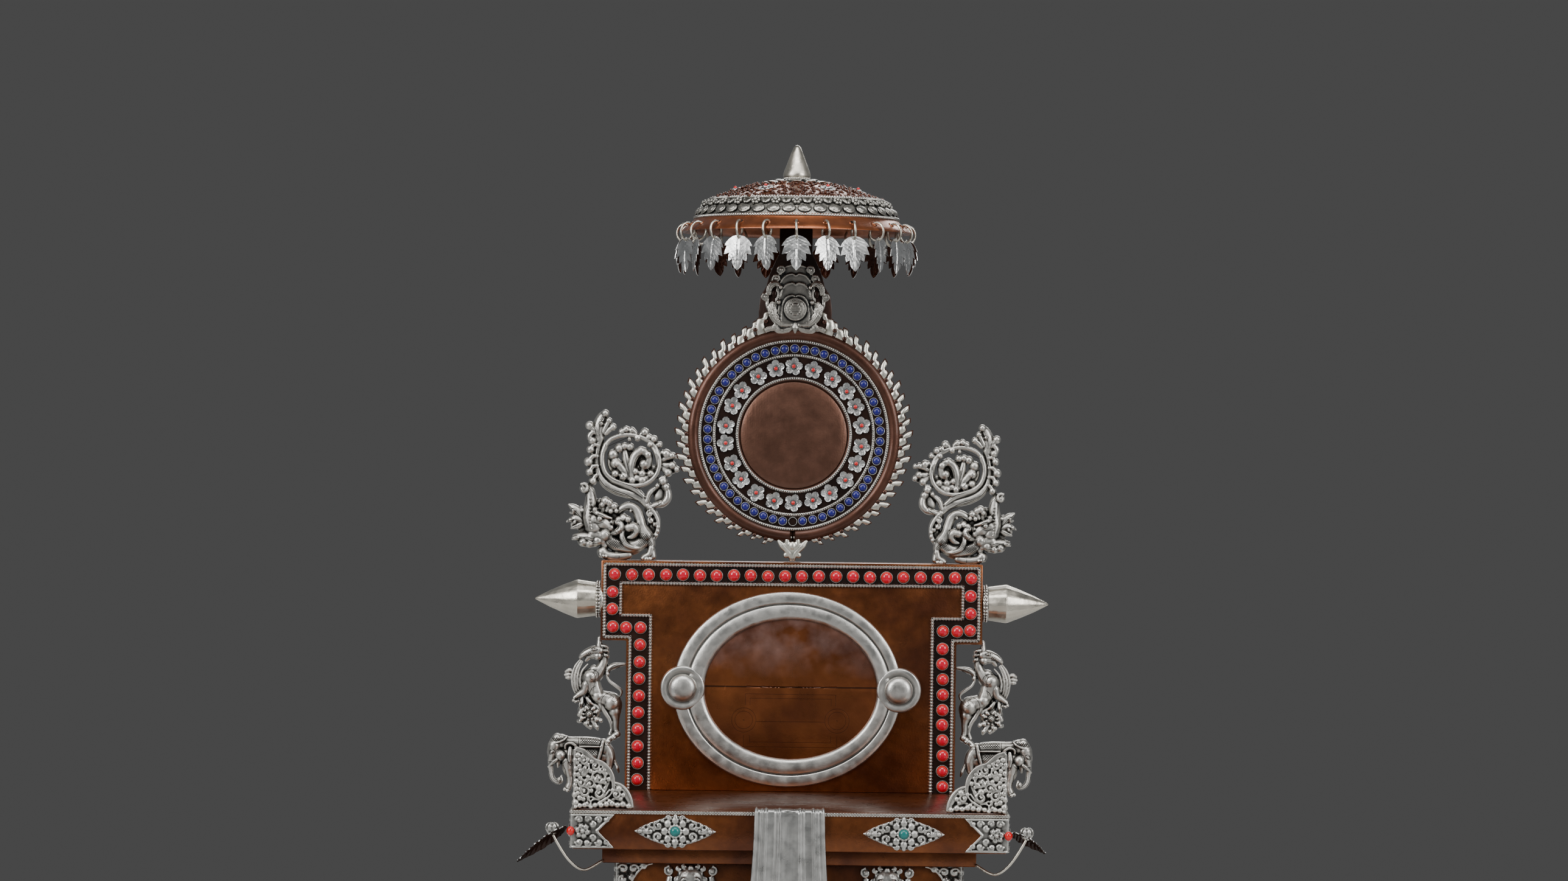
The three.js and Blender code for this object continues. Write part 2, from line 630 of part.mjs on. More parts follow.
// The copper plate behind the halo, with its flames, its foot, its neck and the domed mirror.
function makeHaloPlate() {
  const { centre, rim, front, back } = HALO;
  const outline = flameOutline().map(([x, z]) => [x, z + centre]);
  const bothSides = (half) => [...half, ...half.map(([x, z]) => [-x, z]).reverse()];
  const neck = bothSides([[23, 415], [24, 440], [13, 472], [11, 508]]);
  const foot = bothSides([[5.5, 288], [8, 279], [3, PANEL.top + GAP]]);
  const swell = [[RINGS[0] + 2, front + 1], [66.5, front - 3], [rim - 0.8, front + 1]];
  const mirror = [[0, front + 1], [RINGS[2] - 1.6, front + 1], [0, front - 2.2]];
  const body = join(
    solid(plate(outline, front, back)),
    solid(plate(neck, front, back)),
    solid(plate(foot, front - 1.5, back + 1)),
    solid(turned([...swell, swell[0]], [0, centre], 28)),
    solid(turned(mirror, [0, centre], 20)),
  );
  add("halo_plate", geometryOf(body), COPPER);
}

// Three beaded rings, with lapis cabochons between the outer two and flowers between the inner two.
function makeJewelledRing() {
  const back = HALO.front - GAP;
  const web = back - 0.8;
  const at = (angle, radius) => [radius * Math.sin(angle), HALO.centre + radius * Math.cos(angle)];
  const half = 1.2;
  const section = [
    [RINGS[2] - half, back],
    [RINGS[0] + half, back],
    ...RINGS.flatMap((radius) => [[radius + half, web], [radius, web - 1.6], [radius - half, web]]),
  ];
  const stones = Array.from({ length: LAPIS.count }, (_, i) => {
    const place = at(Math.PI + (i * 2 * Math.PI) / LAPIS.count, LAPIS.radius);
    const height = i === 0 ? 0.9 : 2.2;
    return stone(place, LAPIS.size, web + 0.2, height, 4);
  });
  const flowers = Array.from({ length: FLOWER.count }, (_, i) => {
    const [x, z] = at((i * 2 * Math.PI) / FLOWER.count, FLOWER.radius);
    return stone([x, z], FLOWER.size, web + 0.2, 2.6, 5);
  });
  const strip = solid(turned([...section, section[0]], [0, HALO.centre], 24));
  const ring = join(strip, stones, flowers);
  add("jewelled_ring", geometryOf(ring), SILVER);
}

// The jewel crest over the halo: a boss under layered clouds, between plumes and forked wings.
function makeJewelCrest() {
  const back = HALO.front - GAP;
  const centre = [0, 437.4];
  const cloud = (half, low, high, depth) => {
    const shape = new THREE.Shape();
    shape.moveTo(half, low);
    shape.bezierCurveTo(half, high - 1, half * 0.5, high + 1.4, 0, high);
    shape.bezierCurveTo(-half * 0.5, high + 1.4, -half, high - 1, -half, low);
    shape.lineTo(half, low);
    return solid(plate(shape, back - depth, back, 3));
  };
  const form = { back, steps: 2, rise: 1.2 };
  const sides = [-1, 1].flatMap((side) => [
    bar([[side * 2, 427], [side * 12, 429.4], [side * 15, 444]], [2, 3.2, 3.2], form),
    bar([[side * 1.5, 427.4], [side * 9, 422.4], [side * 19.5, 421.6]], [1.8, 2.6, 2.6], form),
    bar([[side * 14.6, 434], [side * 20, 446]], [2, 3.4], { ...form, steps: 1 }),
    bar([[side * 15, 443], [side * 14, 453], [side * 9, 465]], [3.4, 4.4, 4.4], form),
  ]);
  const boss = [[0, back], [7.6, back], [7.6, back - 4.4], [0, back - 6]];
  const body = join(
    cloud(13.4, 430, 459, 1.6),
    cloud(10.4, 426, 449, 3.4),
    solid(turned(boss, centre, 10)),
    solid(plate([[-3, 425], [0, 419.6], [3, 425], [0, 430]], back - 2.6, back)),
    sides,
  );
  // The crest stays clear of the halo's convex rim below it.
  const room = box([-30, 30], [back - 20, back], [400, 480]);
  const { rim } = HALO;
  const disc = [[0, back - 3.1], [rim, back - 3.1], [rim, back + 1], [0, back + 1]];
  const haloRim = solid(turned(disc, [0, HALO.centre], 28));
  add("jewel_crest", geometryOf(body.intersect(room).subtract(haloRim)), SILVER);
}

// ---------- parasol ----------

// The copper canopy: a shell open below, with a hole in the brim for each pendant.
function makeCanopy() {
  const { rim, rimZ, brim, brimZ, wall, axis } = PARASOL;
  const outside = [[0, 522], [25, 518.4], [57, 507], [brim, brimZ], [rim, rimZ]];
  const inside = [
    [rim - wall, rimZ - 0.4],
    [brim - wall, brimZ - wall],
    [57 - wall, 507 - wall],
    [25, 518.4 - 1.5 * wall],
    [0, 522 - wall],
  ];
  const shell = solid(turnedUpright([...outside, ...inside], 24));
  const holeRadius = 1.9;
  const hole = (i) => {
    const drill = new THREE.CylinderGeometry(holeRadius, holeRadius, 5, 4);
    drill.rotateX(Math.PI / 2);
    drill.rotateX(THREE.MathUtils.degToRad(50));
    drill.translate(0, -71.3, 492);
    drill.rotateZ((i * 2 * Math.PI) / PENDANT.count);
    drill.translate(0, axis, 0);
    return solid(drill);
  };
  const holes = Array.from({ length: PENDANT.count }, (_, i) => hole(i));
  const pierced = holes.reduce((body, drill) => body.subtract(drill), shell);
  add("parasol_canopy", geometryOf(pierced), COPPER);
}

// The chased silver band between the two beaded wires above the brim.
function makeParasolBand() {
  const profile = [[68, 496], [67.6, 498], [58.4, 509], [56.6, 508.6], [66.6, 496.6]];
  const band = solid(turnedUpright([...profile, profile[0]], 24));
  add("parasol_band", geometryOf(band), SILVER);
}

// The finial: a ring of lotus petals under a turned cone.
function makeFinial() {
  const petals = 12;
  const foot = 522 + GAP;
  const outline = Array.from({ length: petals * 2 }, (_, i) => {
    const turn = (i * Math.PI) / petals;
    const radius = i % 2 === 0 ? 15 : 12;
    return [radius * Math.cos(turn), radius * Math.sin(turn)];
  });
  const lotus = new THREE.ExtrudeGeometry(shapeOf(outline), { depth: 1.6, bevelEnabled: false });
  lotus.translate(0, PARASOL.axis, foot);
  const cone = [
    [0, foot],
    [9.2, foot + 1],
    [9.2, foot + 4],
    [5, foot + 10.4],
    [4.4, foot + 13],
    [0, TIP_Z],
  ];
  const finial = join(solid(lotus), solid(turnedUpright(cone, 10)));
  add("parasol_finial", geometryOf(finial), SILVER);
}

// Leaves that hang from wire rings through the brim, each turned a little on its ring.
function makePendants() {
  const { count, ring, wire, leafLength, leafWidth } = PENDANT;
  const hang = [-74, 486.9];
  const half = leafWidth / 2;
  const side = [[0.3, 0.02], [1, 0.42], [0.5, 0.56]];
  const outline = [
    ...side.map(([x, down]) => [x * half, -down * leafLength]),
    [0, -leafLength],
    ...side.map(([x, down]) => [-x * half, -down * leafLength]).reverse(),
  ];
  for (let i = 0; i < count; i++) {
    const twist = 0.3 * Math.sin(i * 2.4);
    const leaf = plate(outline, -0.4, 0.4);
    leaf.rotateX(-0.08);
    leaf.rotateZ(twist);
    leaf.translate(0, hang[0], hang[1] - ring + 2.4);
    const loop = new THREE.TorusGeometry(ring, wire, 3, 6);
    loop.rotateY(Math.PI / 2);
    loop.translate(0, hang[0], hang[1]);
    const pendant = join(solid(leaf), solid(loop));
    const geometry = geometryOf(pendant);
    geometry.rotateZ((i * 2 * Math.PI) / count);
    geometry.translate(0, PARASOL.axis, 0);
    add(`leaf_pendant_${String(i + 1).padStart(2, "0")}`, geometry, SILVER);
  }
}

makeBase();
makeSeatBeads();
makeCornerMounts();
makePlaques();
makeDrape();
makeCornerLeaves();
makeWaistLions();
makeWaistCorners();
makeCrests();
makeElephants();
makeLeogryphs();
makeMakaras();
makeBackPanel();
makeCoralBorder();
makeOvalFrame();
makeBosses();
makeBolsters();
makeHaloPlate();
makeJewelledRing();
makeJewelCrest();
makeCanopy();
makeParasolBand();
makeFinial();
makePendants();

export default throne;
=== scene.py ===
import random
from math import atan2, cos, hypot, pi, radians, sin, sqrt

import bmesh
import bpy
import numpy as np
from mathutils import Matrix, Vector, noise
from mathutils.bvhtree import BVHTree


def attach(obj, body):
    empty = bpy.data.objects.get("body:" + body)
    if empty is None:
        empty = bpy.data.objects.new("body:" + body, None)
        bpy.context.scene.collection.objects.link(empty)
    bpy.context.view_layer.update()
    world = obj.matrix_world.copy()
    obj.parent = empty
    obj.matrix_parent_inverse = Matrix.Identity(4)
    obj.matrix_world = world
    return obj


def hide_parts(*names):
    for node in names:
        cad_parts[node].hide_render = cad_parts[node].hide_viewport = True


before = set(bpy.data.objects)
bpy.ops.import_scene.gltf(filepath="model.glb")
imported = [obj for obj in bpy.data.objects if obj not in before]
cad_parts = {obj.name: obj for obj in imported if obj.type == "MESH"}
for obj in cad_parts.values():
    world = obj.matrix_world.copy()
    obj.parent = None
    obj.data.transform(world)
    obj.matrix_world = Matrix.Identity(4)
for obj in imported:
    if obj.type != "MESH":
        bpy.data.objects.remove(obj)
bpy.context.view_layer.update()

random.seed(7)

# Everything is modelled in millimetres and brought to metres when a piece is finished.
metre = 0.001

# ---- camera and studio

studio = {
    "lens": 105.0,
    "cameraPlace": (-0.0064, -2.935, 0.3508),
    "roll": -0.7,
    "floorRadius": 0.62,
    "backdrop": (0.070, 0.070, 0.070, 1),
    "surround": (0.36, 0.37, 0.38, 1),
    "surroundLight": 0.60,
    "lamps": [
        # name, place, aim, width, height and watts
        ("keyLeft", (-1.5, -1.5, 1.15), (0, 0, 0.28), 0.8, 1.3, 40),
        ("fillRight", (1.5, -1.4, 0.95), (0, 0, 0.28), 0.7, 1.2, 28),
        ("topFront", (0, -0.9, 1.7), (0, 0, 0.25), 1.3, 0.7, 20),
        ("rimBack", (0.3, 1.5, 1.3), (0, 0, 0.35), 1.2, 0.6, 14),
    ],
}


def makeStudio():
    scene = bpy.context.scene
    lens = bpy.data.cameras.new("studioCamera")
    lens.lens = studio["lens"]
    lens.sensor_width = 36
    lens.clip_end = 20
    camera = bpy.data.objects.new("studioCamera", lens)
    camera.location = studio["cameraPlace"]
    camera.rotation_euler = (radians(90), radians(studio["roll"]), 0)
    scene.collection.objects.link(camera)
    scene.camera = camera

    # The surround lights the metal softly, and the view shows a plain grey behind.
    world = bpy.data.worlds.new("softSurround")
    world.use_nodes = True
    scene.world = world
    tree = world.node_tree
    light = tree.nodes["Background"]
    light.inputs["Color"].default_value = studio["surround"]
    light.inputs["Strength"].default_value = studio["surroundLight"]
    seen = tree.nodes.new("ShaderNodeBackground")
    seen.inputs["Color"].default_value = studio["backdrop"]
    ray = tree.nodes.new("ShaderNodeLightPath")
    mix = tree.nodes.new("ShaderNodeMixShader")
    tree.links.new(ray.outputs["Is Camera Ray"], mix.inputs[0])
    tree.links.new(light.outputs[0], mix.inputs[1])
    tree.links.new(seen.outputs[0], mix.inputs[2])
    tree.links.new(mix.outputs[0], tree.nodes["World Output"].inputs["Surface"])

    for name, place, aim, width, height, watts in studio["lamps"]:
        lamp = bpy.data.lights.new(name, "AREA")
        lamp.shape = "RECTANGLE"
        lamp.size = width
        lamp.size_y = height
        lamp.energy = watts
        holder = bpy.data.objects.new(name, lamp)
        holder.location = place
        holder.rotation_euler = (Vector(aim) - Vector(place)).to_track_quat("-Z", "Y").to_euler()
        scene.collection.objects.link(holder)

    bm = bmesh.new()
    bmesh.ops.create_circle(bm, cap_ends=True, segments=96, radius=studio["floorRadius"])
    under = bmesh.ops.extrude_face_region(bm, geom=bm.faces[:])
    bmesh.ops.translate(
        bm, vec=(0, 0, -0.004), verts=[g for g in under["geom"] if isinstance(g, bmesh.types.BMVert)]
    )
    bmesh.ops.translate(bm, vec=(0, 0, -0.0002), verts=bm.verts)
    bmesh.ops.recalc_face_normals(bm, faces=bm.faces)
    mesh = bpy.data.meshes.new("studioFloor")
    bm.to_mesh(mesh)
    bm.free()
    floor = bpy.data.objects.new("studioFloor", mesh)
    paint = bpy.data.materials.new("paleFloor")
    paint.use_nodes = True
    shader = paint.node_tree.nodes["Principled BSDF"]
    shader.inputs["Base Color"].default_value = (0.62, 0.62, 0.61, 1)
    shader.inputs["Roughness"].default_value = 0.7
    mesh.materials.append(paint)
    scene.collection.objects.link(floor)


makeStudio()
print("studio ready")


# ---- finishes


class Finish:
    # A material and the few node steps that every finish here is made of.
    def __init__(self, name, metallic, roughness):
        self.material = bpy.data.materials.new(name)
        self.material.use_nodes = True
        self.tree = self.material.node_tree
        self.shader = self.tree.nodes["Principled BSDF"]
        self.shader.inputs["Metallic"].default_value = metallic
        self.shader.inputs["Roughness"].default_value = roughness
        self.place = self.node("ShaderNodeTexCoord").outputs["Object"]
        self.height = None

    def node(self, kind, **values):
        made = self.tree.nodes.new(kind)
        for key, value in values.items():
            setattr(made, key, value)
        return made

    def join(self, out, into):
        self.tree.links.new(out, into)

    def stretched(self, scale):
        mapping = self.node("ShaderNodeMapping")
        mapping.inputs["Scale"].default_value = scale
        self.join(self.place, mapping.inputs["Vector"])
        return mapping.outputs["Vector"]

    def grain(self, scale, detail=3.0, low=0.3, high=0.7, where=None, twist=0.0):
        cloud = self.node("ShaderNodeTexNoise")
        cloud.inputs["Scale"].default_value = scale
        cloud.inputs["Detail"].default_value = detail
        cloud.inputs["Distortion"].default_value = twist
        self.join(where or self.place, cloud.inputs["Vector"])
        return self.ranged(cloud.outputs["Fac"], low, high)

    def cells(self, scale, feature="F1", low=0.0, high=0.6):
        cell = self.node("ShaderNodeTexVoronoi", feature=feature)
        cell.inputs["Scale"].default_value = scale
        self.join(self.place, cell.inputs["Vector"])
        return self.ranged(cell.outputs["Distance"], low, high)

    def ranged(self, value, low, high, newLow=0.0, newHigh=1.0):
        span = self.node("ShaderNodeMapRange")
        span.inputs["From Min"].default_value = low
        span.inputs["From Max"].default_value = high
        span.inputs["To Min"].default_value = newLow
        span.inputs["To Max"].default_value = newHigh
        self.join(value, span.inputs["Value"])
        return span.outputs["Result"]

    def mixed(self, fac, first, second, blend="MIX"):
        mix = self.node("ShaderNodeMix", data_type="RGBA", blend_type=blend)
        for value, socket in ((fac, mix.inputs[0]), (first, mix.inputs[6]), (second, mix.inputs[7])):
            if isinstance(value, (tuple, float, int)):
                socket.default_value = value if isinstance(value, (float, int)) else (*value, 1)
            else:
                self.join(value, socket)
        return mix.outputs[2]

    # 0 in a recess and 1 where the surface lies open, from an ambient occlusion node; the finishes paint shade into
    # recesses with it
    def openness(self, reach, low, high):
        shade = self.node("ShaderNodeAmbientOcclusion", samples=6, only_local=True)
        shade.inputs["Distance"].default_value = reach
        return self.ranged(shade.outputs["AO"], low, high)

    def bump(self, value, strength, depth):
        lift = self.node("ShaderNodeBump")
        lift.inputs["Strength"].default_value = strength
        lift.inputs["Distance"].default_value = depth
        self.join(value, lift.inputs["Height"])
        if self.height:
            self.join(self.height, lift.inputs["Normal"])
        self.height = lift.outputs["Normal"]
        self.join(self.height, self.shader.inputs["Normal"])

    def colour(self, value):
        self.join(value, self.shader.inputs["Base Color"])

    def rough(self, value):
        self.join(value, self.shader.inputs["Roughness"])


def copperFinish(name, dark, light, roughness, brushed=0.0, dents=0.35):
    f = Finish(name, 0.82, roughness)
    broad = f.grain(22, 4, 0.32, 0.70, twist=0.6)
    fine = f.grain(260, 3, 0.30, 0.75)
    tone = f.mixed(broad, dark, light)
    tone = f.mixed(f.ranged(fine, 0, 1, 0.0, 0.35), tone, tuple(0.45 * c for c in dark))
    # Painted shade: recesses, found by an ambient occlusion node, are painted darker.
    recessShade = f.openness(0.006, 0.25, 0.95)
    tone = f.mixed(recessShade, tuple(0.22 * c for c in dark), tone)
    f.colour(tone)
    f.rough(f.ranged(f.grain(90, 4, 0.3, 0.7), 0, 1, roughness - 0.07, roughness + 0.10))
    f.bump(f.grain(38, 2, 0.2, 0.8), dents, 0.0012)
    f.bump(f.grain(900, 2, 0.3, 0.7), 0.12, 0.0003)
    if brushed:
        f.bump(f.grain(60, 2, 0.3, 0.7, where=f.stretched((9.0, 1.0, 0.6))), brushed, 0.0004)
    f.shader.inputs["Coat Weight"].default_value = 0.25
    f.shader.inputs["Coat Roughness"].default_value = 0.2
    return f.material


shadedReliefs = ("chasedSilver", "crestSilver", "wornSilver")


def silverFinish(
    name, bright, recess, roughness, reach=0.0022, hammered=0.25, scale=420, openFrom=0.30, tarnished=0.45,
    streaks=0.0,
):
    f = Finish(name, 1.0, roughness)
    tarnish = f.grain(70, 4, 0.35, 0.75, twist=0.4)
    tone = f.mixed(f.ranged(tarnish, 0, 1, 0.0, tarnished), bright, tuple(0.52 * c for c in bright))
    if streaks:
        streak = f.grain(150, 3, 0.35, 0.68, where=f.stretched((1.0, 1.0, 0.03)))
        tone = f.mixed(f.ranged(streak, 0, 1, 0.0, streaks), tone, tuple(0.30 * c for c in bright))
    # Painted shade in recesses, found by an ambient occlusion node, together with the tarnish that lies in them.
    openHere = f.openness(reach, openFrom, 0.92)
    tone = f.mixed(openHere, recess, tone)
    # Low points of a relief are painted towards the recess colour: painted shade on the relief, together with
    # tarnish in its lows.
    if name in shadedReliefs:
        proud = f.node("ShaderNodeAttribute", attribute_name="proud")
        tone = f.mixed(f.ranged(proud.outputs["Fac"], -0.20, 0.10), recess, tone)
    f.colour(tone)
    f.rough(f.ranged(f.grain(160, 3, 0.3, 0.7), 0, 1, roughness - 0.08, roughness + 0.12))
    f.bump(f.cells(scale), hammered, 0.0005)
    f.bump(f.grain(1200, 2, 0.3, 0.7), 0.10, 0.0002)
    return f.material


def stoneFinish(name, deep, rim, speck, rimFrom, rimTo, roughness=0.16):
    f = Finish(name, 0.0, roughness)
    depth = f.node("ShaderNodeSeparateXYZ")
    f.join(f.place, depth.inputs[0])
    # The colour runs from deep at the front of a stone to rim towards its back.
    edge = f.ranged(depth.outputs["Y"], rimFrom, rimTo)
    tone = f.mixed(edge, deep, rim)
    tone = f.mixed(f.ranged(f.grain(420, 4, 0.52, 0.72), 0, 1, 0.0, 0.7), tone, speck)
    f.colour(tone)
    f.bump(f.grain(300, 2, 0.3, 0.7), 0.08, 0.0003)
    f.shader.inputs["Coat Weight"].default_value = 0.2
    f.shader.inputs["Coat Roughness"].default_value = 0.1
    f.shader.inputs["Subsurface Weight"].default_value = 0.05
    f.shader.inputs["Subsurface Scale"].default_value = 0.001
    return f.material


brownCopper = copperFinish("brownCopper", (0.085, 0.021, 0.005), (0.215, 0.064, 0.015), 0.30)
haloCopper = copperFinish("haloCopper", (0.055, 0.020, 0.011), (0.105, 0.042, 0.026), 0.44)
mirrorCopper = copperFinish("mirrorCopper", (0.105, 0.046, 0.028), (0.135, 0.062, 0.040), 0.42, 0.12, 0.1)
brimCopper = copperFinish("brimCopper", (0.150, 0.040, 0.012), (0.330, 0.100, 0.035), 0.34)
curlCopper = copperFinish("curlCopper", (0.050, 0.015, 0.008), (0.170, 0.055, 0.028), 0.26)
channelCopper = copperFinish("channelCopper", (0.012, 0.005, 0.003), (0.030, 0.011, 0.006), 0.42)
chasedSilver = silverFinish(
    "chasedSilver", (0.48, 0.47, 0.44), (0.018, 0.016, 0.014), 0.36, 0.003, openFrom=0.42
)
smoothSilver = silverFinish(
    "smoothSilver", (0.50, 0.49, 0.46), (0.09, 0.085, 0.075), 0.36, 0.003, 0.16, 160, tarnished=0.22
)
drapeSilver = silverFinish(
    "drapeSilver", (0.50, 0.495, 0.475), (0.07, 0.066, 0.06), 0.34, 0.003, 0.05, 160, tarnished=0.15,
    streaks=0.55,
)
warmSilver = silverFinish("warmSilver", (0.60, 0.56, 0.48), (0.07, 0.055, 0.04), 0.32, 0.003, 0.12, 300)
greySilver = silverFinish("greySilver", (0.36, 0.36, 0.35), (0.030, 0.030, 0.030), 0.36)
beadSilver = silverFinish("beadSilver", (0.68, 0.65, 0.60), (0.022, 0.019, 0.016), 0.30, 0.0014, 0.0)
leafSilver = silverFinish("leafSilver", (0.60, 0.60, 0.59), (0.10, 0.095, 0.09), 0.30, 0.0012, 0.12, 300)
coralStone = stoneFinish(
    "coralStone", (0.50, 0.000, 0.022), (0.60, 0.040, 0.010), (0.32, 0.000, 0.012), 0.0668, 0.0690
)
smallCoral = stoneFinish(
    "smallCoral", (0.52, 0.006, 0.006), (0.60, 0.03, 0.01), (0.36, 0.004, 0.004), 0.5, 0.6
)
# The lapis is painted darker towards its back: painted shade on the sides of each dome.
lapisStone = stoneFinish(
    "lapisStone", (0.002, 0.001, 0.13), (0.002, 0.001, 0.06), (0.006, 0.006, 0.20), 0.0742, 0.0756, 0.34
)
turquoise = stoneFinish(
    "turquoise", (0.002, 0.13, 0.12), (0.004, 0.17, 0.15), (0.001, 0.05, 0.045), 0.5, 0.6, 0.3
)
print("finishes ready")


# ---- making forms


# A grid whose two ways run from 0 to 1 is laid over a form by place(u, v).
def mapped(bm, columns, rows, place, weld=0.002):
    made = bmesh.ops.create_grid(bm, x_segments=columns, y_segments=rows, size=0.5)["verts"]
    for v in made:
        v.co = place(v.co.x + 0.5, v.co.y + 0.5)
    bmesh.ops.remove_doubles(bm, verts=made, dist=weld)
    return [v for v in made if v.is_valid]


def along(values, t):
    place = min(max(t, 0.0), 1.0) * (len(values) - 1)
    low = min(int(place), len(values) - 2)
    return values[low] + (values[low + 1] - values[low]) * (place - low)


# A smooth way through the points, by Catmull and Rom's rule.
def wayAt(points, t):
    if len(points) == 2:
        return points[0].lerp(points[1], t)
    place = min(max(t, 0.0), 1.0) * (len(points) - 1)
    low = min(int(place), len(points) - 2)
    s = place - low
    p1, p2 = points[low], points[low + 1]
    p0 = points[low - 1] if low else p1 * 2 - p2
    p3 = points[low + 2] if low + 2 < len(points) else p2 * 2 - p1
    return 0.5 * (
        2 * p1 + (p2 - p0) * s + (2 * p0 - 5 * p1 + 4 * p2 - p3) * s * s + (3 * (p1 - p2) + p3 - p0) * s**3
    )


# Path points are (x, z) at the given y, or (x, z, y).
def spots(path, y):
    return [Vector((p[0], p[2] if len(p) > 2 else y, p[1])) for p in path]


# A round bar that tapers as radii say. depth is its thickness front to back against its width.
def tube(bm, path, radii, y=0.0, depth=1.0, steps=None, sides=8, up=Vector((0, 1, 0))):
    points = spots(path, y)
    if len(radii) < 2:
        radii = [radii[0], radii[0]]
    steps = steps or max(3, 4 * (len(points) - 1))

    def place(u, v):
        t = min(max(u, 0.0), 1.0)
        heading = wayAt(points, min(t + 0.01, 1.0)) - wayAt(points, max(t - 0.01, 0.0))
        side = heading.cross(up)
        side.normalize()
        over = side.cross(heading).normalized()
        turn = v * 2 * pi
        r = along(radii, t)
        return wayAt(points, t) + side * (cos(turn) * r) + over * (sin(turn) * r * depth)

    made = mapped(bm, steps, sides, place)
    rims = list({e for v in made for e in v.link_edges if e.is_boundary})
    bmesh.ops.holes_fill(bm, edges=rims, sides=0)


def ball(bm, at, radius, y=0.0, depth=1.0, segments=12):
    x, z = at[0], at[1]
    y = at[2] if len(at) > 2 else y
    made = bmesh.ops.create_uvsphere(bm, u_segments=segments, v_segments=segments // 2 + 1, radius=1.0)
    size = radius if isinstance(radius, tuple) else (radius, radius)
    move = Matrix.Translation((x, y, z)) @ Matrix.Diagonal((size[0], size[0] * depth, size[1], 1))
    bmesh.ops.transform(bm, matrix=move, verts=made["verts"])


def bead(bm, at, size, squash=1.0, heading=None, flat=1.0):
    turn = heading.to_track_quat("Z", "Y").to_matrix() if heading else Matrix.Identity(3)

    def point(x, y, z):
        return bm.verts.new(Vector(at) + turn @ Vector((x * size, y * size * flat, z * size * squash)))

    rings = [[point(0, 0, -1)]]
    for rise in (-50, 0, 50):
        wide, high = cos(radians(rise)), sin(radians(rise))
        rings.append([point(wide * cos(pi * k / 5), wide * sin(pi * k / 5), high) for k in range(10)])
    rings.append([point(0, 0, 1)])
    for low, high in zip(rings, rings[1:]):
        for k in range(10):
            corners = [
                low[k % len(low)], low[(k + 1) % len(low)], high[(k + 1) % len(high)], high[k % len(high)]
            ]
            bm.faces.new(list(dict.fromkeys(corners)))


# A row of beads along straight legs, pressed together like drawn bead wire.
def beadRow(bm, corners, pitch, size, closed=False):
    legs = list(zip(corners, corners[1:] + ([corners[0]] if closed else [])))
    for a, b in legs[: len(corners) if closed else len(corners) - 1]:
        run = b - a
        count = max(1, round(run.length / pitch))
        for i in range(count):
            bead(bm, a + run * ((i + 0.5) / count), size, 0.60, run)


def beadRing(bm, centre, radius, count, size, normal="Y", squash=0.8):
    for i in range(count):
        turn = 2 * pi * i / count
        out = Vector((sin(turn), 0, cos(turn))) if normal == "Y" else Vector((sin(turn), cos(turn), 0))
        heading = Vector(
            (cos(turn), 0, -sin(turn))
        ) if normal == "Y" else Vector((cos(turn), -sin(turn), 0))
        bead(bm, centre + out * radius, size, squash, heading)


# profile is [(radius, along the axis)], closed back on itself or ending on the axis
def lathe(bm, profile, centre, axis="Y", segments=32, closed=False, wave=None):
    rings = profile + [profile[0]] if closed else profile

    def place(u, v):
        turn = 2 * pi * u
        at = min(max(v, 0.0), 1.0) * (len(rings) - 1)
        low = min(int(at + 1e-6), len(rings) - 2)
        r = rings[low][0] + (rings[low + 1][0] - rings[low][0]) * (at - low)
        h = rings[low][1] + (rings[low + 1][1] - rings[low][1]) * (at - low)
        if wave:
            r *= wave(turn)
        if axis == "Y":
            return Vector((centre[0] + r * sin(turn), centre[1] + h, centre[2] + r * cos(turn)))
        if axis == "X":
            return Vector((centre[0] + h, centre[1] + r * cos(turn), centre[2] + r * sin(turn)))
        return Vector((centre[0] + r * cos(turn), centre[1] + r * sin(turn), centre[2] + h))

    mapped(bm, segments, len(rings) - 1, place)


# An upright sheet: its outline in x and z, from y0 back to y1.
def sheet(bm, outline, y0, y1, bevel=0.0):
    corners = [bm.verts.new((x, y0, z)) for x, z in outline]
    face = bm.faces.new(corners)
    grown = bmesh.ops.extrude_face_region(bm, geom=[face])
    moved = [g for g in grown["geom"] if isinstance(g, bmesh.types.BMVert)]
    bmesh.ops.translate(bm, vec=(0, y1 - y0, 0), verts=moved)
    if bevel:
        edges = list({e for v in corners + moved for e in v.link_edges})
        bmesh.ops.bevel(
            bm, geom=edges, offset=bevel, affect="EDGES", segments=2, profile=0.5, material=-1
        )


def block(bm, low, high, bevel=0.8):
    made = bmesh.ops.create_cube(bm, size=1.0)["verts"]
    size = Vector(high) - Vector(low)
    middle = (Vector(high) + Vector(low)) / 2
    bmesh.ops.transform(bm, matrix=Matrix.Translation(middle) @ Matrix.Diagonal((*size, 1)), verts=made)
    edges = list({e for v in made for e in v.link_edges})
    bmesh.ops.bevel(bm, geom=edges, offset=bevel, affect="EDGES", segments=3, profile=0.5, material=-1)


def spiral(centre, outer, inner, start, end, count=9):
    out = []
    for i in range(count):
        t = i / (count - 1)
        turn = radians(start + (end - start) * t)
        r = outer + (inner - outer) * t
        out.append((centre[0] + r * cos(turn), centre[1] + r * sin(turn)))
    return out


# A scroll: a bar wound in on itself, with a bead in its eye.
def scroll(bm, centre, outer, start, end, thick, y, depth=0.9, eye=None):
    path = spiral(centre, outer, outer * 0.22, start, end)
    tube(bm, path, [thick * 0.7, thick, thick * 0.9, thick * 0.7], y, depth, steps=16, sides=6)
    ball(bm, centre, eye or thick * 0.95, y, 1.1, 8)


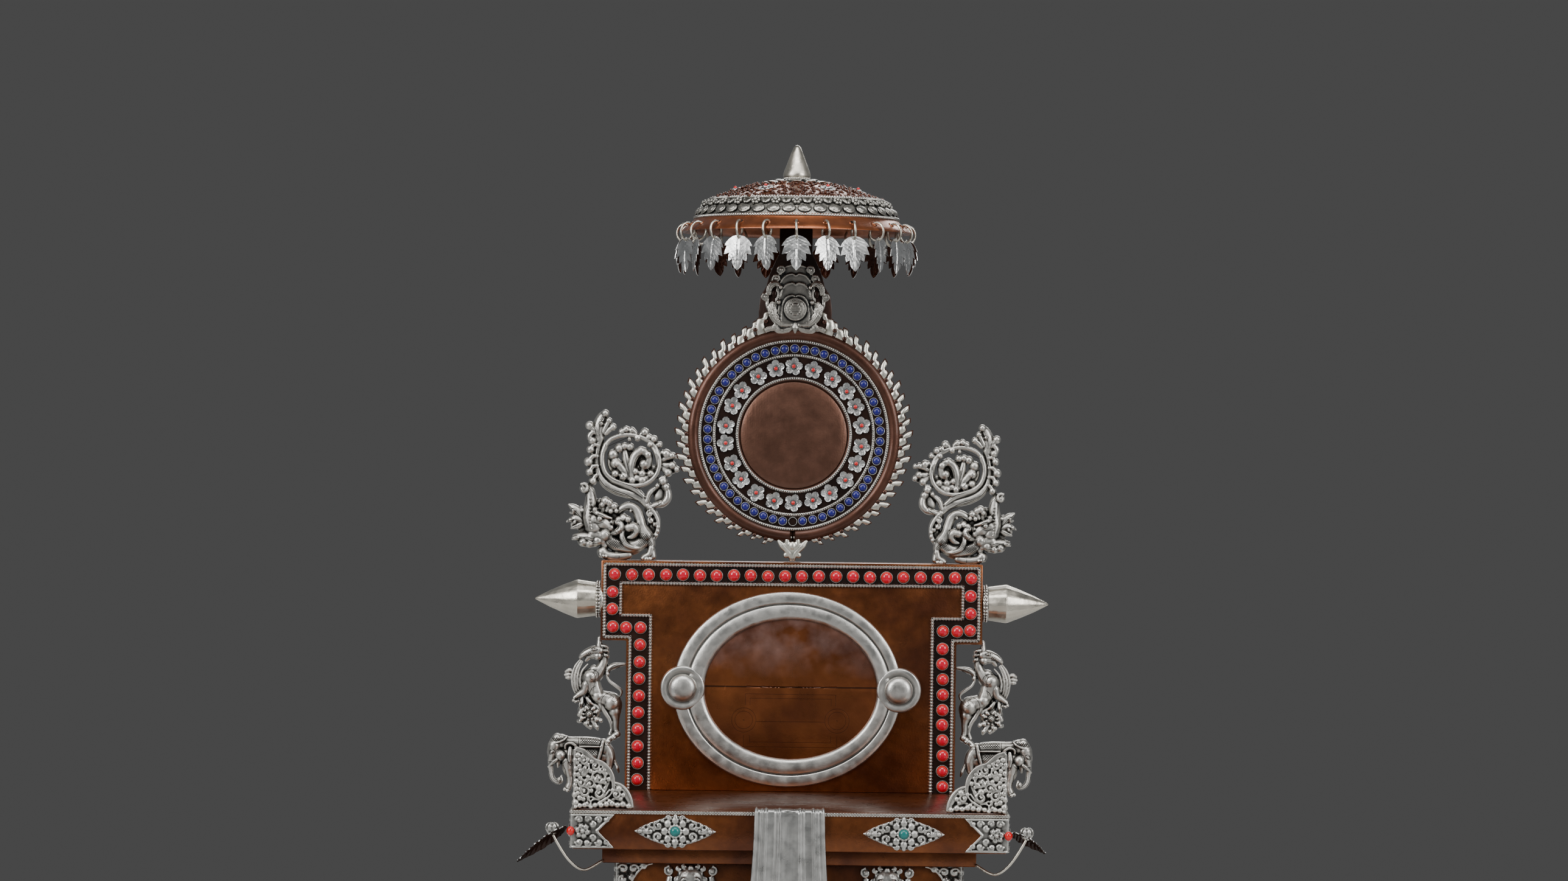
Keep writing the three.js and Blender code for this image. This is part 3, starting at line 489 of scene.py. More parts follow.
# Overlapping forms become one skin, as cast or chased from one sheet.
def fused(bm, voxel, relax=2, back=None):
    bmesh.ops.recalc_face_normals(bm, faces=bm.faces)
    raw = bpy.data.meshes.new("raw")
    bm.to_mesh(raw)
    bm.free()
    holder = bpy.data.objects.new("raw", raw)
    bpy.context.scene.collection.objects.link(holder)
    skin = holder.modifiers.new("skin", "REMESH")
    skin.mode = "VOXEL"
    skin.voxel_size = voxel
    if relax:
        soft = holder.modifiers.new("soft", "SMOOTH")
        soft.iterations = relax
        soft.factor = 0.5
    done = holder.evaluated_get(bpy.context.evaluated_depsgraph_get())
    out = bmesh.new()
    out.from_mesh(done.to_mesh())
    done.to_mesh_clear()
    bpy.data.objects.remove(holder)
    bpy.data.meshes.remove(raw)
    if back is not None:
        cutFlat(out, back)
    return out


# Cuts a form off behind the plane y and closes it with a flat face of the second material.
def cutFlat(bm, y):
    bmesh.ops.bisect_plane(
        bm, geom=bm.verts[:] + bm.edges[:] + bm.faces[:], plane_co=(0, y, 0), plane_no=(0, 1, 0),
        clear_outer=True,
    )
    for face in closeRim(bm):
        face.material_index = 1


# Fills open rims that lie in one plane, and leaves the gaps inside them open.
def closeRim(bm):
    rim = [e for e in bm.edges if e.is_boundary]
    made = bmesh.ops.triangle_fill(bm, edges=rim, use_beauty=False, use_dissolve=False)["geom"]
    return [g for g in made if isinstance(g, bmesh.types.BMFace)]


def mirrorX(bm):
    bmesh.ops.scale(bm, vec=(-1, 1, 1), verts=bm.verts)
    bmesh.ops.reverse_faces(bm, faces=bm.faces)


# How far each point stands out from its softened surroundings, in millimetres. Hollows are below zero.
def proudness(mesh, rounds=12):
    count = len(mesh.vertices)
    at, facing = (np.empty(count * 3, dtype=np.float32) for _ in range(2))
    mesh.vertices.foreach_get("co", at)
    mesh.vertices.foreach_get("normal", facing)
    at, facing = at.reshape(-1, 3), facing.reshape(-1, 3)
    ends = np.empty(len(mesh.edges) * 2, dtype=np.int32)
    mesh.edges.foreach_get("vertices", ends)
    a, b = ends[::2], ends[1::2]
    near = np.maximum(np.bincount(a, minlength=count) + np.bincount(b, minlength=count), 1)
    soft = at.copy()
    kept = 0.1
    for _ in range(rounds):
        for k in range(3):
            total = np.bincount(a, soft[b, k], count) + np.bincount(b, soft[a, k], count)
            soft[:, k] = kept * soft[:, k] + (1 - kept) * total / near
    return ((at - soft) * facing).sum(1) / metre


# The largest reliefs drop the faces that their flat parts do not need.
heavy = {"faces": 25000, "kept": 0.58}


def finished(bm, name, materials, replaces=(), sharp=40):
    bmesh.ops.recalc_face_normals(bm, faces=bm.faces)
    bmesh.ops.scale(bm, vec=(metre, metre, metre), verts=bm.verts)
    mesh = bpy.data.meshes.new(name)
    bm.to_mesh(mesh)
    bm.free()
    for material in materials:
        mesh.materials.append(material)
    # The relief finishes read this to paint shade into the low points.
    if materials[0].name in shadedReliefs:
        mesh.attributes.new("proud", "FLOAT", "POINT").data.foreach_set(
            "value", proudness(mesh).astype(np.float32)
        )
    mesh.shade_smooth()
    if sharp:
        mesh.set_sharp_from_angle(angle=radians(sharp))
    piece = bpy.data.objects.new(name, mesh)
    bpy.context.scene.collection.objects.link(piece)
    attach(piece, "root")
    if replaces:
        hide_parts(*replaces)
    if len(mesh.polygons) > heavy["faces"]:
        piece.modifiers.new("thinned", "DECIMATE").ratio = heavy["kept"]
    return piece


base = {
    "tray": ((-135, -95, 95.4), (135, 95, 120)),
    "plinth": ((-135, -95, 0), (135, 95, 26)),
    "steps": [((-117, -77, 26), (117, 77, 36)), ((-117, -77, 85.4), (117, 77, 95.3))],
    "core": ((-107.5, -67.5, 35.5), (107.5, 67.5, 86)),
    "beadPitch": 1.8,
    "beadSize": 1.25,
}


def makeBase():
    for name in ("tray", "plinth"):
        bm = bmesh.new()
        block(bm, *base[name], bevel=1.0)
        node = "seat_tray" if name == "tray" else name
        finished(bm, name + "Box", [brownCopper], [node])
    bm = bmesh.new()
    for low, high in base["steps"]:
        block(bm, low, high, 0.9)
    block(bm, *base["core"], bevel=0.4)
    finished(bm, "waistBox", [brownCopper], ["waist"])

    # Bead wire round the top edge of the tray, on its own silver strip.
    x, y, z = 135.7, 95.7, 118.8
    bm = bmesh.new()
    corners = [Vector(p) for p in ((-x, -y, z), (x, -y, z), (x, y, z), (-x, y, z))]
    beadRow(bm, corners, base["beadPitch"], base["beadSize"], closed=True)
    finished(bm, "seatBeads", [beadSilver], ["seat_bead_border"])
    bm = bmesh.new()
    for low, high in (
        ((-x - 0.2, -y - 0.2, z - 1.2), (x + 0.2, -94.8, z + 0.9)),
        ((-x - 0.2, 94.8, z - 1.2), (x + 0.2, y + 0.2, z + 0.9)),
        ((-x - 0.2, -94.9, z - 1.2), (-134.8, 94.9, z + 0.9)),
        ((134.8, -94.9, z - 1.2), (x + 0.2, 94.9, z + 0.9)),
    ):
        block(bm, low, high, 0.3)
    finished(bm, "seatBeadStrip", [beadSilver])


drape = {
    "ridges": [
        (0.30, 0.045, 0.9), (0.40, 0.03, 0.45), (0.68, 0.05, 1.1), (0.80, 0.035, 0.5), (0.965, 0.05, 1.1)
    ],
    "sheet": 1.1,
}


def makeDrape():
    # Down the middle of the sheet's underside: y, z, outward y and z, half-width.
    rows = [
        (-88.2, 120.35, 0, 1, 21.4),
        (-92.0, 120.4, 0, 1, 21.5),
        (-95.4, 120.7, -0.25, 0.97, 21.6),
        (-96.9, 120.0, -0.8, 0.6, 21.7),
        (-97.3, 117.5, -1, 0.05, 21.9),
        (-97.3, 100, -1, 0, 22.4),
        (-97.2, 80, -1, 0, 23.6),
        (-97.2, 62, -1, 0, 24.9),
        (-97.2, 45, -1, 0, 25.8),
        (-97.2, 29.2, -1, 0, 26.6),
    ]
    rows = [Vector(r[:2] + (r[4],)) for r in rows], [Vector((r[2], r[3], 0)) for r in rows]

    def raised(u):
        lift = 0.0
        for at, half, height in drape["ridges"]:
            lift += height * max(0.0, 1 - ((abs(u) - at) / half) ** 2) ** 1.5
        return lift * 0.85

    def face(outer):
        def place(a, b):
            u = a * 2 - 1
            spot = wayAt(rows[0], b)
            out = wayAt(rows[1], b).normalized()
            dent = 0.35 * noise.noise(Vector((u * 5, b * 30, 2))) if abs(u) < 0.28 else 0.0
            lift = (drape["sheet"] + raised(u) + dent) * outer
            return Vector((u * spot.z, spot.x + out.x * lift, spot.y + out.y * lift))

        return place

    bm = bmesh.new()
    mapped(bm, 96, 60, face(1.0))
    mapped(bm, 96, 60, face(0.0))
    # The two faces meet round their edges, so the sheet is closed.
    rim = [e for e in bm.edges if e.is_boundary]
    bmesh.ops.bridge_loops(bm, edges=rim)
    bmesh.ops.holes_fill(bm, edges=[e for e in bm.edges if e.is_boundary], sides=0)
    finished(bm, "silverDrape", [drapeSilver], ["front_drape"], sharp=50)


# A blossom of round petals about a centre, facing the front.
def blossom(bm, at, petals, reach, size, y, middle=0.0, turn=0.0, depth=0.55):
    for i in range(petals):
        a = 2 * pi * i / petals + turn
        spot = (at[0] + reach * sin(a), at[1] + reach * cos(a))
        ball(bm, spot, size, y, depth, 8)
    if middle:
        ball(bm, at, middle, y - 0.4, 1.0, 8)


plaque = {"centre": (71, 107.2), "front": -95.0, "stone": 3.1}


def makePlaques():
    cx, cz = plaque["centre"]
    y = plaque["front"]
    for side in (1, -1):
        bm = bmesh.new()
        outline = []
        for i in range(48):
            a = 2 * pi * i / 48
            r = 1 / (abs(cos(a) / 25.5) ** 1.25 + abs(sin(a) / 10.0) ** 1.25) ** (1 / 1.25)
            outline.append((cx + r * cos(a), cz + r * sin(a)))
        sheet(bm, outline[::-1], y - 1.2, y - 0.1)
        blossom(bm, (cx, cz), 8, 6.6, 2.5, y - 1.6)
        blossom(bm, (cx, cz), 12, 3.6, 1.0, y - 2.0, 0, 0.2, 1.0)
        for sx in (1, -1):
            for dx, dz, r, start, end in (
                (10.6, 3.4, 3.0, 90, -330),
                (10.6, -3.4, 3.0, 270, 690),
                (15.6, 0.2, 2.7, 180, -220),
                (4.2, 8.0, 2.0, 0, 300),
                (4.2, -8.0, 2.0, 0, -300),
            ):
                start, end = (start, end) if sx > 0 else (180 - start, 180 - end)
                scroll(bm, (cx + sx * dx, cz + dz), r, start, end, 0.85, y - 1.5, eye=0.9)
            tube(bm, [(cx + sx * 17, cz), (cx + sx * 25.2, cz)], [2.4, 0.5], y - 1.1, 0.8)
            ball(bm, (cx + sx * 22.0, cz), 1.6, y - 1.6, 1.0, 8)
            for dx, dz in ((8.0, 6.6), (12.6, 5.4), (16.6, 3.6), (20.0, 2.0)):
                for sz in (1, -1):
                    ball(bm, (cx + sx * dx, cz + sz * dz), 1.25, y - 1.3, 0.9, 8)
        for sz in (1, -1):
            ball(bm, (cx, cz + sz * 9.3), 1.5, y - 1.3, 0.9, 8)
        bm = fused(bm, 0.42, 1, back=y - 0.05)
        if side < 0:
            mirrorX(bm)
        tag = "Right" if side > 0 else "Left"
        node = "front_plaque_" + tag.lower()
        finished(bm, "plaque" + tag, [chasedSilver, brownCopper], [node], sharp=0)
        bm = bmesh.new()
        ball(bm, (side * cx, cz), plaque["stone"], y - 2.2, 0.7, 20)
        finished(bm, "plaqueStone" + tag, [turquoise], sharp=0)


corner = {"x": 135.0, "y": -95.0, "low": 96.2, "high": 117.4, "reach": 26.5, "notch": 10.6}


def makeCornerMounts():
    low, high = corner["low"], corner["high"]
    middle = (low + high) / 2

    def wing():
        bm = bmesh.new()
        reach, notch = corner["reach"], corner["notch"]
        sheet(
            bm,
            [(0.9, low), (0.9, high), (-reach, high), (-reach + notch, middle), (-reach, low)][::-1],
            -1.3,
            -0.05,
        )
        rim = [(-0.4, high - 0.6), (-reach + 1.4, high - 0.7), (-reach + notch + 0.6, middle)]
        tube(bm, rim[:2], [0.7, 0.7], -1.2)
        tube(bm, [(x, 2 * middle - z) for x, z in rim[:2]], [0.7, 0.7], -1.2)
        tube(bm, rim[1:], [0.7, 0.7], -1.2)
        tube(bm, [(x, 2 * middle - z) for x, z in rim[1:]], [0.7, 0.7], -1.2)
        blossom(bm, (-6.4, middle), 6, 3.0, 1.7, -1.8, 1.5, 0.3)
        for x, z, r, a, b in (
            (-4.4, high - 3.6, 2.2, 0, 400),
            (-4.4, low + 3.6, 2.2, 0, -400),
            (-9.6, high - 3.2, 2.0, 180, -200),
            (-9.6, low + 3.2, 2.0, 180, 560),
            (-12.6, high - 6.6, 1.9, 90, 460),
            (-12.6, low + 6.6, 1.9, 270, -120),
            (-16.6, high - 3.6, 2.1, 0, 380),
            (-16.6, low + 3.6, 2.1, 0, -380),
            (-21.2, high - 3.4, 1.8, 120, 480),
            (-21.2, low + 3.4, 1.8, 240, -120),
        ):
            scroll(bm, (x, z), r, a, b, 0.72, -1.5, eye=0.8)
        return bm

    for side in (1, -1):
        bm = wing()
        bmesh.ops.translate(bm, vec=(corner["x"], corner["y"], 0), verts=bm.verts)
        other = wing()
        # The second wing turns back along the side of the tray.
        for v in other.verts:
            v.co = Vector((corner["x"] - v.co.y, corner["y"] - v.co.x, v.co.z))
        bmesh.ops.reverse_faces(other, faces=other.faces)
        rest = bpy.data.meshes.new("wing")
        other.to_mesh(rest)
        other.free()
        bm.from_mesh(rest)
        bpy.data.meshes.remove(rest)
        bm = fused(bm, 0.42, 1)
        if side < 0:
            mirrorX(bm)
        tag = "Right" if side > 0 else "Left"
        finished(
            bm, "cornerMount" + tag, [chasedSilver], ["corner_mount_" + tag.lower()], sharp=0
        )
        bm = bmesh.new()
        ball(bm, (side * (corner["x"] + 1.0), middle, corner["y"] - 1.0), (2.5, 2.9), 0, 1.0, 20)
        finished(bm, "cornerStone" + tag, [smallCoral], sharp=0)


# Root and tip of each leaf, which lies nearly level across and droops outwards.
leaf = {
    "left": ((138.5, -95.5, 109.2), (168.9, -93.6, 87.0)),
    "right": ((138.5, -95.5, 109.2), (159.5, -84.0, 95.6)),
    "width": 6.6,
    "tilt": 30,
    "teeth": 5,
    "wire": [
        (147, 104.4, -95), (144.3, 99.6, -95), (140.6, 93.5, -94.4), (136.4, 87.9, -93), (130.9, 83.1, -90),
        (125.6, 82.2, -86), (116.6, 87, -78),
    ],
}


def makeCornerLeaves():
    for tag, side in (("Left", -1), ("Right", 1)):
        root, tip = (Vector(p) for p in leaf[tag.lower()])
        ahead = (tip - root).normalized()
        level = Vector((0, -1, 0)) + ahead * ahead.y
        lean = Matrix.Rotation(radians(-leaf["tilt"]), 3, ahead)
        across = lean @ level.normalized()
        if across.z < 0:
            across = lean.inverted() @ level.normalized()
        upward = ahead.cross(across)
        upward *= 1 if upward.z > 0 else -1

        def place(u, v):
            s = v * 2 - 1
            saw = 0.80 + 0.20 * abs((u * leaf["teeth"]) % 1.0)
            half = max(
                0.9,
                leaf["width"] * sin(pi * (u * 0.94 + 0.03) ** 0.75) * (saw if abs(s) > 0.99 else 0.86)
            )
            ribs = 0.30 * cos(u * 60 - abs(s) * 9) * min(1, abs(s) * 4) * (1 - 0.5 * abs(s))
            swell = 1.3 * sin(pi * u) - 1.5 * abs(s) ** 2 * sin(pi * u)
            return root.lerp(tip, u) + across * (s * half) + upward * (swell + ribs)

        bm = bmesh.new()
        mapped(bm, 60, 16, place, 0.0005)
        bmesh.ops.recalc_face_normals(bm, faces=bm.faces)
        shell = bm.faces[:]
        bmesh.ops.solidify(bm, geom=shell, thickness=0.6)
        bmesh.ops.recalc_face_normals(bm, faces=bm.faces)
        for face in bm.faces:
            face.material_index = 1 if face.normal.dot(upward) < -0.3 else 0
        if side < 0:
            mirrorX(bm)
        finished(
            bm, "cornerLeaf" + tag, [greySilver, channelCopper],
            ["corner_leaf_" + tag.lower()]
        )

        # The bud on the root of the leaf, and the bent wire that holds both.
        bm = bmesh.new()
        ball(bm, (147.4, 107.8, -93.4), 4.0, 0, 0.8, 16)
        for k in range(6):
            a = 2 * pi * k / 6
            petal = (147.4 + 3.0 * cos(a), 108.6 + 0.4 * sin(a), -93.6 + 2.4 * sin(a))
            tube(
                bm, [(petal[0], petal[1] - 1.6, petal[2]), (petal[0], petal[1] + 1.2, petal[2]),
                (147.4 + 1.5 * cos(a), 111.6, -93.6 + 1.3 * sin(a))], [1.2, 1.5, 0.7], sides=8,
            )
        bm = fused(bm, 0.35, 1)
        if side < 0:
            mirrorX(bm)
        finished(bm, "cornerBud" + tag, [chasedSilver], sharp=0)
        bm = bmesh.new()
        tube(bm, leaf["wire"], [0.85], steps=40, sides=10)
        if side < 0:
            mirrorX(bm)
        finished(bm, "cornerWire" + tag, [warmSilver], sharp=0)


lion = {"x": 61.5, "back": -67.6, "low": 36.4, "high": 85.0}


def makeWaistLions():
    x0, back = lion["x"], lion["back"]
    for side in (1, -1):
        bm = bmesh.new()
        ball(bm, (x0, 50, back), (11.5, 12), 0, 0.45, 20)
        ball(bm, (x0, 55, back - 2.4), (8, 9), 0, 0.5, 16)
        ball(bm, (x0, 74, back - 1.5), (9.4, 10.4), 0, 0.72, 24)
        ball(bm, (x0, 68.0, back - 7.0), (4.0, 3.0), 0, 0.6, 12)
        ball(bm, (x0, 70.2, back - 8.4), (1.6, 1.2), 0, 0.8, 8)
        tube(bm, [(x0 - 3.4, 66.4), (x0, 65.3), (x0 + 3.4, 66.4)], [0.5, 0.7, 0.5], back - 8.8)
        for s in (1, -1):
            ball(bm, (x0 + s * 3.5, 72.8, back - 7.4), 1.6, 0, 0.7, 10)
            tube(
                bm, [(x0 + s * 1.4, 75.0), (x0 + s * 3.7, 76.0), (x0 + s * 6.2, 74.4)], [0.6, 0.9, 0.5],
                back - 7.4
            )
            # a round curl at each ear, and arms that reach up to it
            ball(bm, (x0 + s * 13.4, 80.4), 2.9, back - 1.8, 0.8, 14)
            scroll(bm, (x0 + s * 13.4, 80.4), 3.5, 90, 90 - s * 420, 0.85, back - 3.4, eye=1.0)
            tube(
                bm, [(x0 + s * 6, 57), (x0 + s * 12.8, 62), (x0 + s * 13.6, 70), (x0 + s * 12.8, 77)],
                [4.6, 4.0, 3.0, 2.2], back - 1.5, 0.9
            )
            tube(
                bm, [(x0 + s * 4, 50), (x0 + s * 12.6, 49.4), (x0 + s * 11.4, 40)], [5.4, 5.4, 3.4],
                back - 1.6, 0.85
            )
            for k in (-1, 0, 1):
                ball(bm, (x0 + s * 11 + k * 2.4, 38.6, back - 4.2), (1.4, 2.0), 0, 1.1, 8)
            # curls of the mane, in rows over the brow
            for dx, dz in (
                (2.2, 79.6), (5.6, 78.6), (8.6, 75.0), (9.6, 71.0), (8.8, 67.0), (6.0, 63.4), (2.2, 61.8),
                (4.0, 83.2), (7.6, 81.8)
            ):
                scroll(bm, (x0 + s * dx, dz), 1.9, 90, 90 - s * 380, 0.7, back - 4.4, eye=0.8)
        ball(bm, (x0, 82.6, back - 5.0), 1.8, 0, 0.8, 12)
        bm = fused(bm, 0.5, 1, back=back)
        bmesh.ops.bisect_plane(
            bm, geom=bm.verts[:] + bm.edges[:] + bm.faces[:], plane_co=(0, 0, lion["low"]),
            plane_no=(0, 0, -1), clear_outer=True
        )
        bmesh.ops.bisect_plane(
            bm, geom=bm.verts[:] + bm.edges[:] + bm.faces[:], plane_co=(0, 0, lion["high"]),
            plane_no=(0, 0, 1), clear_outer=True
        )
        bmesh.ops.holes_fill(bm, edges=[e for e in bm.edges if e.is_boundary], sides=0)
        if side < 0:
            mirrorX(bm)
        tag = "Right" if side > 0 else "Left"
        finished(
            bm, "waistLion" + tag, [chasedSilver, brownCopper], ["waist_lion_" + tag.lower()],
            sharp=0
        )


def makeWaistCorners():
    low, high = 36.0, 85.4
    middle = (low + high) / 2

    def wing():
        bm = bmesh.new()
        for sz in (1, -1):
            edge = middle + sz * (high - middle)
            inward = -sz
            outline = [(1.0, middle - sz * 0.4), (1.0, edge), (-24, edge)]
            outline += [
                (
                    -24 + 16.2 * sin(radians(a)), edge + inward * (24.3 - 22 * cos(radians(a)) - 2.2)
                ) for a in range(10, 91, 16)
            ]
            sheet(bm, outline[::-1] if sz > 0 else outline, -1.1, -0.05)
            arcPath = [
                (
                    -24 + 16.6 * sin(radians(a)), edge + inward * (22 - 22 * cos(radians(a)) + 0.6)
                ) for a in range(6, 91, 14)
            ]
            tube(bm, arcPath, [0.8], -1.3, sides=6)
            for dx, dz, r, a, b in (
                (-3.6, 4.2, 3.2, 0, 420),
                (-10.2, 4.0, 3.0, 180, -240),
                (-16.4, 2.8, 2.2, 0, 400),
                (-3.4, 11.0, 2.9, 90, -330),
                (-3.4, 17.6, 2.5, 270, 660),
                (-8.4, 9.4, 1.9, 90, 460),
            ):
                if sz > 0:
                    a, b = a, b
                else:
                    a, b = -a, -b
                scroll(bm, (dx, edge + inward * dz), r, a, b, 0.95, -1.6, eye=1.0)
        return bm

    for side in (1, -1):
        bm = wing()
        bmesh.ops.translate(bm, vec=(107.5, -67.5, 0), verts=bm.verts)
        other = wing()
        for v in other.verts:
            v.co = Vector((107.5 - v.co.y, -67.5 - v.co.x, v.co.z))
        bmesh.ops.reverse_faces(other, faces=other.faces)
        rest = bpy.data.meshes.new("wing")
        other.to_mesh(rest)
        other.free()
        bm.from_mesh(rest)
        bpy.data.meshes.remove(rest)
        bm = fused(bm, 0.5, 1)
        if side < 0:
            mirrorX(bm)
        tag = "Right" if side > 0 else "Left"
        finished(
            bm, "waistScroll" + tag, [chasedSilver], ["waist_corner_" + tag.lower()], sharp=0
        )


makeBase()
makeDrape()
makePlaques()
makeCornerMounts()
makeCornerLeaves()
makeWaistLions()
makeWaistCorners()
print("base ready")


# ---- back panel

panel = {
    "front": 70.0,
    "stem": 108.5,
    "shoulder": 125.5,
    "underside": 218.0,
    "top": 270.8,
    "inner": [(91, 119.8), (91, 233.2), (110.8, 233.2), (110.8, 254.4)],
    "beadPitch": 2.0,
    "beadSize": 1.45,
}


def fullOutline(half):
    return half + [(-x, z) for x, z in reversed(half)]


def makeBackPanel():
    p = panel
    half = [
        (p["stem"], 120.02), (p["stem"], p["underside"]), (p["shoulder"], p["underside"]),
        (p["shoulder"], p["top"])
    ]
    bm = bmesh.new()
    sheet(bm, fullOutline(half)[::-1], p["front"], 90, 0.9)
    finished(bm, "panelBox", [brownCopper], ["back_panel"])


def makeCoralBorder():
    p = panel
    front = p["front"]
    edge = 2.6
    outer = [
        (p["stem"] - edge, 120.1),
        (p["stem"] - edge, p["underside"] + edge),
        (p["shoulder"] - edge, p["underside"] + edge),
        (p["shoulder"] - edge, p["top"] - edge),
    ]
    inner = [(x + 1.6, z + (1.6 if z > 130 else 0.3)) for x, z in p["inner"]]
    bm = bmesh.new()
    sheet(bm, (fullOutline(outer) + fullOutline(inner)[::-1])[::-1], front - 0.35, front + 0.2)
    finished(bm, "borderChannel", [channelCopper])

    # Two drawn bead wires follow the channel's edges, each on a thin strip.
    bm = bmesh.new()
    for line in (outer, inner):
        way = [Vector((x, front - 0.9, z)) for x, z in fullOutline(line)]
        beadRow(bm, way, p["beadPitch"], p["beadSize"])
    finished(bm, "borderBeads", [beadSilver], ["coral_border"])
    bm = bmesh.new()
    for line in (outer, inner):
        way = fullOutline(line)
        for (x0, z0), (x1, z1) in zip(way, way[1:]):
            low = (min(x0, x1) - 0.75, front - 0.7, min(z0, z1) - 0.75)
            high = (max(x0, x1) + 0.75, front + 0.1, max(z0, z1) + 0.75)
            block(bm, low, high, 0.2)
    finished(bm, "borderStrips", [beadSilver])

    def run(a, b, count):
        return [
            (
                a[0] + (b[0] - a[0]) * i / (count - 1), a[1] + (b[1] - a[1]) * i / (count - 1)
            ) for i in range(count)
        ]

    places = run((-116.4, 261.6), (118, 261.6), 22)
    for side in (-1, 1):
        places += run((side * 117.6, 250), (side * 117.6, 227.2), 3)
        places += run((side * 108.8, 226.6), (side * 99.4, 226.6), 2)
    places += run((-99.4, 215.2), (-100.4, 126.8), 9) + run((99.4, 215.2), (100.4, 124.6), 10)
    shaky = random.Random(3)
    stones, cups = bmesh.new(), bmesh.new()
    for x, z in places:
        x += shaky.uniform(-0.25, 0.25)
        z += shaky.uniform(-0.25, 0.25)
        size = shaky.uniform(3.65, 3.9)
        ball(stones, (x, z), (size, size * shaky.uniform(0.97, 1.05)), front - 0.5, 0.82, 18)
        wall = [(3.8, 0.2), (4.2, 0.0), (4.2, -0.9), (4.05, -1.2), (3.75, -1.0), (3.7, 0.0)]
        lathe(cups, wall, (x, front - 0.3, z), segments=22, closed=True)
    finished(stones, "borderCorals", [coralStone], sharp=0)
    finished(cups, "borderCups", [greySilver], sharp=0)


oval = {"centre": 187.2, "shift": -2.2, "outer": (75.0, 64.2), "inner": (56.6, 45.6)}


def makeOval():
    front = panel["front"]
    # Across the moulding from its outside in: share of the way, and height.
    cross = [
        (0.0, -0.1), (0.0, 0.9), (0.015, 1.7), (0.05, 2.2), (0.20, 2.45), (0.36, 2.5), (0.405, 2.2),
        (0.425, 1.5), (0.445, 1.5), (0.46, 2.5), (0.50, 3.0), (0.66, 3.3), (0.84, 3.2), (0.93, 2.7),
        (0.98, 1.7), (1.0, 0.9), (1.0, -0.1),
    ]
    cross.append(cross[0])
    (a0, b0), (a1, b1) = oval["outer"], oval["inner"]

    def place(u, v):
        at = v * (len(cross) - 1)
        low = min(int(at + 1e-6), len(cross) - 2)
        share = cross[low][0] + (cross[low + 1][0] - cross[low][0]) * (at - low)
        lift = cross[low][1] + (cross[low + 1][1] - cross[low][1]) * (at - low)
        turn = 2 * pi * u
        x = (a0 + (a1 - a0) * share) * cos(turn) + oval["shift"] * (1 - share)
        z = (b0 + (b1 - b0) * share) * sin(turn)
        uneven = 0.22 * noise.noise(Vector((x * 0.11, z * 0.11, 4))) if lift > 1 else 0
        return Vector((x, front - lift - uneven, oval["centre"] + z))

    bm = bmesh.new()
    mapped(bm, 180, len(cross) - 1, place)
    finished(bm, "ovalMoulding", [smoothSilver], ["oval_frame"], sharp=60)

    # The field inside swells a little, with an engraved seam and a light compass layout.
    bm = bmesh.new()

    def field(u, v):
        turn = 2 * pi * u
        x, z = (a1 + 0.2) * v * cos(turn), (b1 + 0.2) * v * sin(turn)
        swell = 1.9 * (1 - v**2.2) + 0.9
        if abs(z - 1.6 + 0.3 * noise.noise(Vector((x * 0.08, 0, 1)))) < 0.3 and v < 0.985:
            swell -= 0.35
        return Vector((x, front - swell, oval["centre"] + z))

    mapped(bm, 160, 110, field)
    rim = [e for e in bm.edges if e.is_boundary]
    wall = bmesh.ops.extrude_edge_only(bm, edges=rim)["geom"]
    bmesh.ops.translate(bm, vec=(0, 1.1, 0), verts=[g for g in wall if isinstance(g, bmesh.types.BMVert)])
    bmesh.ops.holes_fill(bm, edges=[e for e in bm.edges if e.is_boundary], sides=0)
    finished(bm, "ovalField", [fieldCopper])

    for side in (1, -1):
        tag = "Right" if side > 0 else "Left"
        bm = bmesh.new()
        profile = [
            (0, 0), (14.75, 0), (14.75, -1.6), (14.3, -2.9), (13.4, -3.4), (11.4, -3.2), (10.2, -2.8),
            (9.6, -2.7), (9.4, -3.6), (8.9, -5.2), (7.6, -6.7), (5.6, -7.5), (3.0, -7.9), (0, -7.98),
        ]
        lathe(bm, profile, (side * 71.0, front - 0.02, oval["centre"] + 0.3), segments=56)
        finished(bm, "ovalBoss" + tag, [smoothSilver], ["oval_boss_" + tag.lower()], sharp=55)


bolster = {"height": 244.8, "ribs": 14}


def makeBolsters():
    for side in (1, -1):
        tag = "Right" if side > 0 else "Left"

        def facet(turn):
            step = (turn * bolster["ribs"] / (2 * pi)) % 1.0
            return (
                cos(pi / bolster["ribs"]) / cos((step - 0.5) * 2 * pi / bolster["ribs"])
            ) * (0.985 if step < 0.06 else 1.0)

        bm = bmesh.new()
        profile = [
            (0, 0), (10.2, 0), (10.6, 1), (11.4, 4), (12.6, 12.5), (12.95, 15), (12.7, 16.5), (9.6, 24.5),
            (5.6, 33.5), (2.2, 40), (0.7, 42.8), (0, 43.6)
        ]
        lathe(bm, profile, (125.9, 80, bolster["height"]), "X", bolster["ribs"] * 8, wave=facet)
        if side < 0:
            mirrorX(bm)
        finished(bm, "bolster" + tag, [warmSilver], ["bolster_end_" + tag.lower()], sharp=16)
        bm = bmesh.new()
        for x, r in ((126.6, 11.2), (128.2, 11.4)):
            for i in range(30):
                a = 2 * pi * i / 30
                bead(bm, Vector((side * x, 80 + r * cos(a), bolster["height"] + r * sin(a))), 0.95)
        lathe(
            bm, [(9.6, -0.5), (11.2, -0.5), (11.2, 2.9), (9.6, 2.9)],
            (side * 126.6, 80, bolster["height"]), "X", 32, closed=True
        )
        finished(bm, "bolsterCollar" + tag, [beadSilver], sharp=0)


# ---- halo

